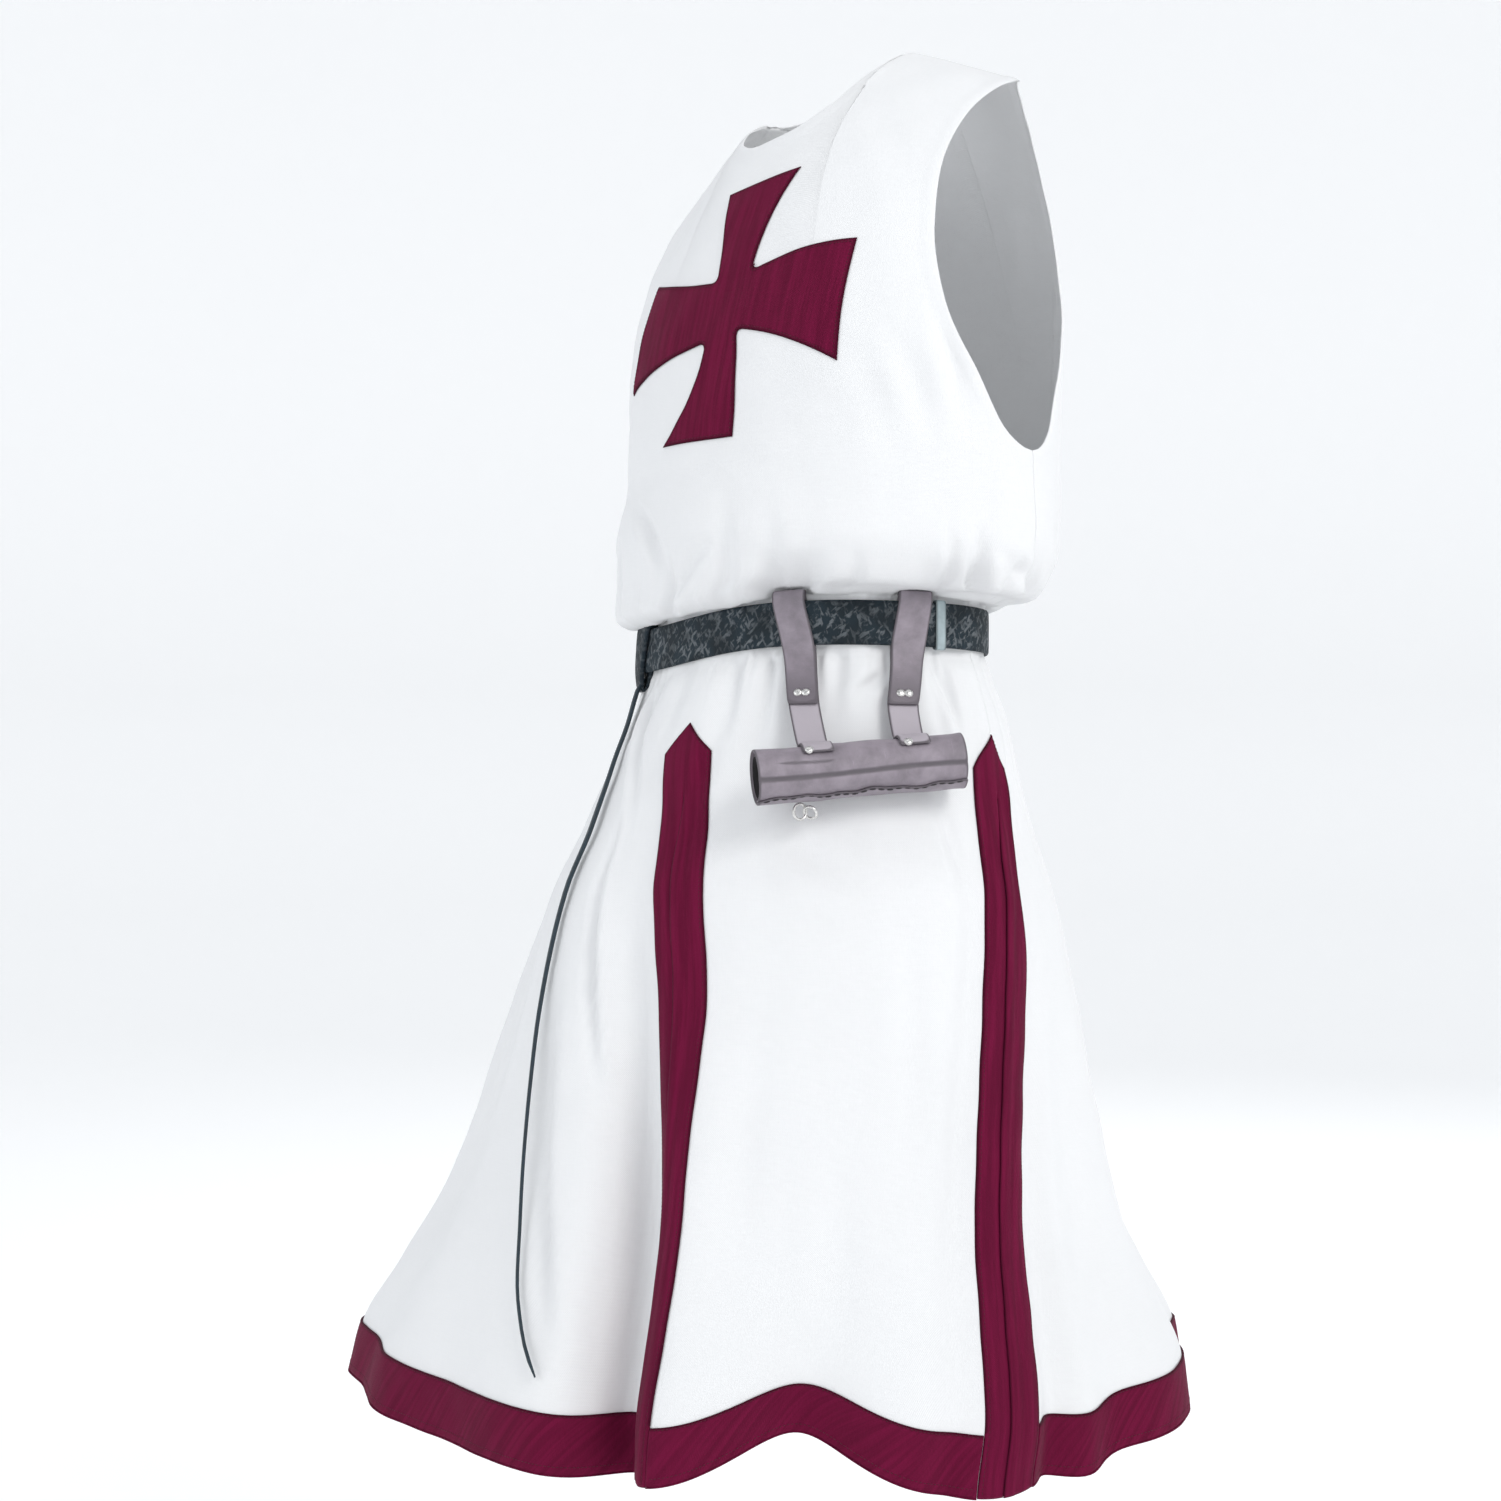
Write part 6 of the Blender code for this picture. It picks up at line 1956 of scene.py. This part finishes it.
def hanger_rows(hanger):
    """Middle of a hanger strap: rows across it, from front leaf over the belt to the tube."""
    turn = math.radians(hanger.turn)
    gap = 0.0003 + HANGER_THICKNESS / 2.0
    half = BELT_WIDTH / 2.0
    columns = np.linspace(-HANGER_WIDTH / 2.0, HANGER_WIDTH / 2.0, HANGER_COLUMNS)
    centre, along, facing, upward = tube_frame()
    lap = math.radians(TUBE_LAP_ANGLES[0])
    lap_radius = TUBE_RADIUS + gap + 0.0005
    low = belt_point(turn, 0.0, TUBE_HEIGHT, hanger.drift)
    behind = centre + along * float((low - centre) @ along)
    behind = behind + spokes(facing, upward, lap) * lap_radius - low
    end_out, end_height = math.hypot(behind[0], behind[1]), TUBE_HEIGHT + behind[2]

    def fallen(height):
        share = (BELT_HEIGHT + half - height) / (BELT_HEIGHT + half - TUBE_HEIGHT - TUBE_RADIUS)
        return float(np.clip(share, 0.0, 1.0))

    def leaf(height, lift):
        drift = hanger.drift * fallen(height)
        outs = [cloth_out(turn, height, drift + sideways) for sideways in columns]
        hung = (BELT_HEIGHT - half - height) / (BELT_HEIGHT - half - end_height)
        out = max(max(outs) + gap + 0.0006, -gap + hung * end_out)
        beside = drift + np.array([-0.01, 0.0, 0.01])
        first, middle, last = belt_point(turn, out + lift, height, beside)
        across = unit(last - first) * (1.0 - (1.0 - HANGER_TAPER) * fallen(height))
        return middle + across * columns[:, None]

    rows = [leaf(height, HANGER_THICKNESS + 0.0009) for height in FRONT_LEAF_HEIGHTS]
    outer = BELT_THICKNESS + gap
    top = half + gap + HANGER_LOOP_RISE
    for out, height in [
        (outer, -half), (outer, -half * 0.3), (outer, half * 0.4), (outer, half),
        (outer - gap * 0.5, top - 0.0006), (outer * 0.45, top + 0.0006), (-gap * 0.5, top - 0.0006),
        (-gap, half), (-gap, 0.0), (-gap, -half),
    ]:
        drift = hanger.drift * fallen(BELT_HEIGHT + height)
        rows.append(belt_point(turn, out, BELT_HEIGHT + height, drift + columns))
    rows.extend(leaf(height, 0.0) for height in BACK_LEAF_HEIGHTS)
    offset = float((rows[-1].mean(axis=0) - centre) @ along)
    for angle in TUBE_LAP_ANGLES:
        radial = spokes(facing, upward, math.radians(angle))
        middle = centre + radial * lap_radius + along * offset
        rows.append(middle + along * (HANGER_TAPER * columns[:, None]))
    return rows


TUBE_ROWS = 60
TUBE_AROUND = 76
TUBE_WALL = 0.0021
TUBE_WRAP = math.radians(395.0)
LAP_TURN = math.radians(-48.0)


def lap_turn(s):
    """Turn of the tube's ragged outer edge, at a place along the tube."""
    return LAP_TURN + 0.060 * np.sin(95.0 * s + 0.5) + 0.045 * np.sin(233.0 * s) + 0.9 * s


def tube_object(skin):
    """Tube rolled from one piece of leather, creased in front with painted shade in its creases,
    its outer edge laced below.
    """
    centre, along, facing, upward = tube_frame()
    share = np.linspace(0.0, 1.0, TUBE_AROUND + 1)
    radius = TUBE_RADIUS - TUBE_WALL / 2.0 - 0.0022 * smoothstep(0.80, 0.97, share)
    radius += 0.0007 * (1.0 - smoothstep(0.0, 0.05, share))
    rows, crease_shade = [], []
    for s in np.linspace(-TUBE_LENGTH / 2.0, TUBE_LENGTH / 2.0, TUBE_ROWS + 1):
        angle = lap_turn(s) - share * TUBE_WRAP
        turn = np.mod(angle + math.pi, 2.0 * math.pi) - math.pi
        outer = share < 0.85
        long_line = TUBE_RADIUS * np.abs(turn + 0.03 - 0.05 * math.sin(31.0 * s))
        short_line = TUBE_RADIUS * np.abs(turn - 0.50 - 0.04 * math.sin(47.0 * s))
        short_line += 0.2 * max(abs(s + 0.046) - 0.017, 0.0)
        crease = -0.0016 * bump(long_line, 0.0022) - 0.0007 * bump(short_line, 0.0016)
        ripple = 0.00045 * np.sin(58 * s + 2 * np.sin(angle))
        ripple += 0.0003 * np.sin(140 * s + 3.0 * np.cos(angle))
        dent = -0.0010 * bump(s - 0.046, 0.004) * (0.6 + 0.4 * np.cos(angle * 2.0))
        dent -= 0.0007 * bump(s + 0.012, 0.003) * np.cos(angle - 0.5).clip(0.0, 1.0)
        near_end = 0.0005 * bump(abs(s) - TUBE_LENGTH / 2.0, 0.004)
        r = radius + ripple + crease * outer + dent + near_end
        rows.append(centre + along * s + spokes(facing, upward, angle) * r[:, None])
        # Painted shade: dark lines along the two creases, carried to the leather as edge distances.
        lines = np.minimum(np.maximum(long_line - 0.0010, 0.0), np.maximum(short_line, 0.0008))
        crease_shade.append(np.where(outer, lines, 1.0))
    return strap_object("rolled_tube", rows, skin, TUBE_WALL, rounds=1, crease_shade=np.array(crease_shade))


def tube_lining(skin):
    """Painted shade: a near-black sheet inside the tube, so that its open ends look dark."""
    centre, along, facing, upward = tube_frame()
    ring = (TUBE_RADIUS - 0.0056) * spokes(facing, upward, np.linspace(0.0, 2.0 * math.pi, 37))
    ends = np.array([-1.0, 1.0]) * (TUBE_LENGTH / 2.0 - 0.0015)
    points = centre + ring[None] + along * ends[:, None, None]
    return walled(weld(lattice_object("tube_lining", points, skin)), 0.0006)


def lacing_path():
    """Line just above the tube's ragged edge, where its lacing runs."""
    centre, along, facing, upward = tube_frame()
    places = np.linspace(-0.46, 0.46, 120) * TUBE_LENGTH
    turns = np.array([lap_turn(s) for s in places]) - 0.05
    out = spokes(facing, upward, turns) * (TUBE_RADIUS + 0.0008)
    return centre + along * places[:, None] + out


RIVET_SIDES = 18
RIVET_OUTLINE = ((1.0, -0.35), (1.0, 0.10), (0.94, 0.22), (0.76, 0.36), (0.50, 0.46), (0.22, 0.50))


def rivet_head(skin):
    """A domed rivet head that stands on the XY plane."""
    radius, height = RIVET_RADIUS * np.array(RIVET_OUTLINE).T[..., None]
    turns = np.linspace(0.0, 2.0 * math.pi, RIVET_SIDES, endpoint=False)
    sides = np.broadcast_arrays(radius * np.cos(turns), radius * np.sin(turns), height)
    points = np.stack(sides, axis=-1)
    index = np.pad(numbered(points), ((0, 0), (0, 1)), mode="wrap")
    return mesh_object("rivet_head", points, [*grid_faces(index), index[-1, :-1]], skin)


def rivet_places():
    """Places and facings of the six rivets, and the nodes of their solids."""
    centre, along, _, _ = tube_frame()
    places, facings, nodes = [], [], []
    for hanger in HANGERS:
        rows = hanger_rows(hanger)
        third = HANGER_COLUMNS // 3
        for k, column in enumerate((third, HANGER_COLUMNS - 1 - third)):
            low = rows[0][column]
            place = low + (rows[2][column] - low) * 0.55
            out = unit(np.cross(rows[0][column] - rows[0][column - 1], rows[1][column] - low))
            places.append(place + out * HANGER_THICKNESS / 2.0)
            facings.append(out)
            nodes.append(f"frog_rivet_{hanger.name}_{k + 1}")
        place = (rows[-2].mean(axis=0) + rows[-1].mean(axis=0)) / 2.0 + along * hanger.rivet_aside
        out = place - centre
        out = unit(out - along * (out @ along))
        places.append(place + out * HANGER_THICKNESS / 2.0)
        facings.append(out)
        nodes.append(f"frog_rivet_{hanger.name}_3")
    return np.array(places), np.array(facings), nodes


def geometry_tree(name, **inputs):
    """A Geometry Nodes tree with named inputs, and its wiring."""
    tree = bpy.data.node_groups.new(name, "GeometryNodeTree")
    for title, kind in {"Geometry": "Geometry", **inputs}.items():
        tree.interface.new_socket(title, in_out="INPUT", socket_type="NodeSocket" + kind)
    tree.interface.new_socket("Geometry", in_out="OUTPUT", socket_type="NodeSocketGeometry")
    wiring = Wiring(tree)
    entry = wiring.node("NodeGroupInput")
    sockets = {socket.name: Wire(wiring, socket) for socket in entry.socket.node.outputs}
    return tree, wiring, sockets


def grown(name, mesh, tree, values):
    """A plain mesh object made by a tree from a mesh, with the tree's inputs set by identifier."""
    base = bpy.data.objects.new(name, mesh)
    bpy.context.scene.collection.objects.link(base)
    made = base.modifiers.new(name, "NODES")
    made.node_group = tree
    for item in tree.interface.items_tree:
        if item.in_out == "INPUT" and item.name in values:
            made[item.identifier] = values[item.name]
    return settled(base)


def place_on_points(w, inputs, material):
    """Sets instances on points as plain mesh with one material, as the tree's result."""
    placed = w.node("GeometryNodeInstanceOnPoints", None, inputs)
    real = w.node("GeometryNodeRealizeInstances", None, {0: placed})
    settings = {"Geometry": real, "Material": material}
    painted = w.node("GeometryNodeSetMaterial", None, settings)
    w.node("NodeGroupOutput", None, {0: painted})


def rivet_tree():
    """Sets one object on each point, turned to the point's own facing."""
    tree, w, given = geometry_tree("Rivets", Head="Object", Metal="Material")
    head = w.node("GeometryNodeObjectInfo", None, {"Object": given["Head"]}, "Geometry")
    kind = {"data_type": "FLOAT_VECTOR"}
    facing = w.node("GeometryNodeInputNamedAttribute", kind, {"Name": "facing"})
    turned_to = w.node("FunctionNodeAlignRotationToVector", {"axis": "Z"}, {"Vector": facing})
    inputs = {"Points": given["Geometry"], "Instance": head, "Rotation": turned_to}
    place_on_points(w, inputs, given["Metal"])
    return tree


def ring_points_of(place, axis, upward, radius):
    """Points round a wire ring about an axis."""
    first = unit(np.cross(axis, upward))
    second = np.cross(axis, first)
    around = np.linspace(0.0, 2.0 * math.pi, 37)
    small = np.linspace(0.0, 2.0 * math.pi, 11)
    radial = spokes(first, second, around)
    return (
        place + radial[:, None] * (radius + RING_WIRE * np.cos(small))[None, :, None]
        + axis * (RING_WIRE * np.sin(small))[None, :, None]
    )


def small_rings(skin):
    """Two linked wire rings that hang under the tube."""
    centre, along, facing, upward = tube_frame()
    drop = TUBE_RADIUS + 0.0003 + RING_RADIUS + RING_WIRE
    place = centre - along * (TUBE_LENGTH / 2.0 - RING_INSET) - upward * drop
    beside = place + along * 0.0085 - upward * 0.0015
    axis = unit(facing - along * 0.7 - upward * 0.5)
    pair = [
        ring_points_of(place, unit(facing + along * 0.5), upward, RING_RADIUS),
        ring_points_of(beside, axis, upward, RING_RADIUS * 0.85),
    ]
    index = numbered(pair[0])
    faces = np.concatenate([grid_faces(index), grid_faces(index + index.size)])
    return weld(mesh_object("small_rings", pair, faces, skin))


class TUNIC_OT_frog(bpy.types.Operator):
    """Make the sword frog: two straps, the rolled tube, its rivets and its ring"""

    bl_idname = "tunic.frog"
    bl_label = "Sword frog"

    def execute(self, context):
        settings = context.scene.tunic_leather
        # The tube's leather: painted shade darkens the creases that the tube marks.
        skin = smooth_leather("frog_leather_finish", settings.frog_colour, 0.42)
        # Painted shade and light along the straps: darker at the front leaf's lower end, paler from
        # the back leaf on.
        strap_skin = smooth_leather("frog_strap_finish", settings.frog_colour, 0.45, painted_light_along=True)
        shine = metal("rivet_finish", settings.metal_colour, 0.28)
        for hanger in HANGERS:
            name = "hanger_" + hanger.name
            rows = hanger_rows(hanger)
            strap = strap_object(name, rows, strap_skin, HANGER_THICKNESS, rounds=1)
            finished(strap, "frog_" + name, slot="frog_leather")
        finished(tube_object(skin), "frog_tube", slot="frog_leather")
        # Painted shade: a near-black sheet inside the tube darkens its open ends.
        painted_shade_skin = smooth_leather("lining_leather", shade(settings.frog_colour, 0.12), 0.8)
        finished(tube_lining(painted_shade_skin), slot="frog_leather")

        places, facings, nodes = rivet_places()
        mesh = bpy.data.meshes.new("rivets")
        mesh.from_pydata([tuple(place) for place in places], [], [])
        facing = mesh.attributes.new("facing", "FLOAT_VECTOR", "POINT")
        facing.data.foreach_set("vector", facings.ravel())
        head = rivet_head(shine)
        rivets = grown("rivets", mesh, rivet_tree(), {"Head": head, "Metal": shine})
        rivets.data.shade_smooth()
        bpy.data.objects.remove(head)
        finished(rivets, *nodes, slot="rivet_metal")
        finished(small_rings(shine), "frog_ring", slot="rivet_metal")
        return {"FINISHED"}


# Stitches


def stitch_tree():
    """Sets a thread's short stitch at even steps along each path."""
    tree, w, given = geometry_tree(
        "Stitches", Pitch="Float", Length="Float", Width="Float", Thread="Material"
    )
    path = w.node("GeometryNodeMeshToCurve", None, {0: given["Geometry"]})
    inputs = {"Curve": path, "Length": given["Pitch"]}
    steps = w.node("GeometryNodeResampleCurve", {"mode": "LENGTH"}, inputs)
    stitch = w.node("GeometryNodeMeshUVSphere", None, {"Segments": 6, "Rings": 4, "Radius": 0.5})
    ahead = w.node("GeometryNodeInputTangent")
    turned_to = w.node("FunctionNodeAlignRotationToVector", {"axis": "X"}, {"Vector": ahead})
    scale = w.vector(given["Length"], given["Width"], given["Width"])
    inputs = {"Points": steps, "Instance": stitch, "Rotation": turned_to, "Scale": scale}
    place_on_points(w, inputs, given["Thread"])
    return tree


def stitched(name, paths, tree, settings, skin, slot, scale=1.0):
    """Stitches along paths of points, as one piece."""
    mesh = bpy.data.meshes.new(name)
    points, edges = [], []
    for path in paths:
        start = len(points)
        points.extend(tuple(point) for point in path)
        edges.extend((start + k, start + k + 1) for k in range(len(path) - 1))
    mesh.from_pydata(points, edges, [])
    sizes = {"Pitch": settings.pitch, "Length": settings.length, "Width": settings.width}
    values = {title: size * scale for title, size in sizes.items()} | {"Thread": skin}
    made = grown(name, mesh, tree, values)
    made.data.shade_smooth()
    finished(made, slot=slot)


def vent_paths(seam):
    """Lines of sewing down the outer side of each leg of a vent band."""
    _, legs = vent_band_rows(seam)
    return [points[2:-6, -4] for points, _, _ in legs]


def hem_paths(run):
    """Lines of sewing along the top and the foot of a hem band."""
    lattice, _, _ = hem_band_rows(run)
    return [lattice[5, 3:-3], lattice[-3, 3:-3]]


class TUNIC_OT_stitches(bpy.types.Operator):
    """Make the sewing on the bands and the cross, and the tube's lacing"""

    bl_idname = "tunic.stitches"
    bl_label = "Sewing"

    def execute(self, context):
        settings = context.scene.tunic_stitches
        tree = stitch_tree()
        red = thread("red_thread", settings.red_thread)
        for seam in ("front", "left", "right"):
            stitched("vent_sewing_" + seam, vent_paths(seam), tree, settings, red, "red_cloth")
        for run in HEM_RUNS:
            name = run.name.replace("hem_band", "hem_sewing")
            stitched(name, hem_paths(run), tree, settings, red, "red_cloth")
        outline = cross_outline()
        ahead = unit(np.gradient(outline, axis=0))
        inward = outline + np.stack([ahead[:, 1], -ahead[:, 0]], axis=-1) * 0.0030
        inward = inward[nearest(inward, outline)[1] > 0.0027]
        stitched("cross_sewing", [chest_points(inward, 0.0021)], tree, settings, red, "red_cloth")
        dark = thread("leather_thread", settings.leather_thread)
        stitched("tube_lacing", [lacing_path()], tree, settings, dark, "frog_leather", scale=2.2)
        return {"FINISHED"}


SEWN_ON = {
    "tunic_front": [
        "hem_binding_front_right", "hem_binding_front_left", "vent_binding_front",
        "applied_cross", "vent_binding_left", "vent_binding_right",
    ],
    "tunic_back": ["hem_binding_back"],
}


def declare_sheets():
    """Gathers the names of what is sewn on each panel, and does nothing more with them."""
    for panel in PANELS:
        names = SEWN_ON[panel.name]
        names = names + [name.replace("binding", "sewing") for name in names if "binding" in name]
        names += ["cross_sewing"] if "applied_cross" in names else []


class TUNIC_PT_sidebar(bpy.types.Panel):
    """Lists the tunic's pieces and their settings"""

    bl_label = "Knight tunic"
    bl_idname = "TUNIC_PT_sidebar"
    bl_space_type = "VIEW_3D"
    bl_region_type = "UI"
    bl_category = "Tunic"

    def draw(self, context):
        scene = context.scene
        for title, settings, buttons in (
            ("Stage", scene.tunic_stage, ["tunic.stage"]),
            ("Cloth", scene.tunic_cloth, ["tunic.panels", "tunic.bands", "tunic.cross"]),
            ("Leather", scene.tunic_leather, ["tunic.tail", "tunic.belt", "tunic.frog"]),
            ("Sewing", scene.tunic_stitches, ["tunic.stitches"]),
        ):
            box = self.layout.box()
            box.label(text=title)
            for name in settings.bl_rna.properties.keys():
                if name not in ("rna_type", "name"):
                    box.prop(settings, name)
            for button in buttons:
                box.operator(button)


CLASSES = (
    ClothSettings, LeatherSettings, StitchSettings, StageSettings,
    TUNIC_OT_stage, TUNIC_OT_tail, TUNIC_OT_panels, TUNIC_OT_bands, TUNIC_OT_cross,
    TUNIC_OT_belt, TUNIC_OT_frog, TUNIC_OT_stitches, TUNIC_PT_sidebar,
)
SETTINGS = {
    "tunic_cloth": ClothSettings,
    "tunic_leather": LeatherSettings,
    "tunic_stitches": StitchSettings,
    "tunic_stage": StageSettings,
}


def register():
    for kind in CLASSES:
        bpy.utils.register_class(kind)
    for name, kind in SETTINGS.items():
        setattr(bpy.types.Scene, name, bpy.props.PointerProperty(type=kind))


def unregister():
    for name in SETTINGS:
        delattr(bpy.types.Scene, name)
    for kind in reversed(CLASSES):
        bpy.utils.unregister_class(kind)


def main():
    register()
    bpy.ops.tunic.stage()
    bpy.ops.tunic.tail()
    bpy.ops.tunic.panels()
    bpy.ops.tunic.bands()
    bpy.ops.tunic.cross()
    bpy.ops.tunic.belt()
    bpy.ops.tunic.frog()
    bpy.ops.tunic.stitches()
    declare_sheets()


if __name__ == "__main__":
    main()
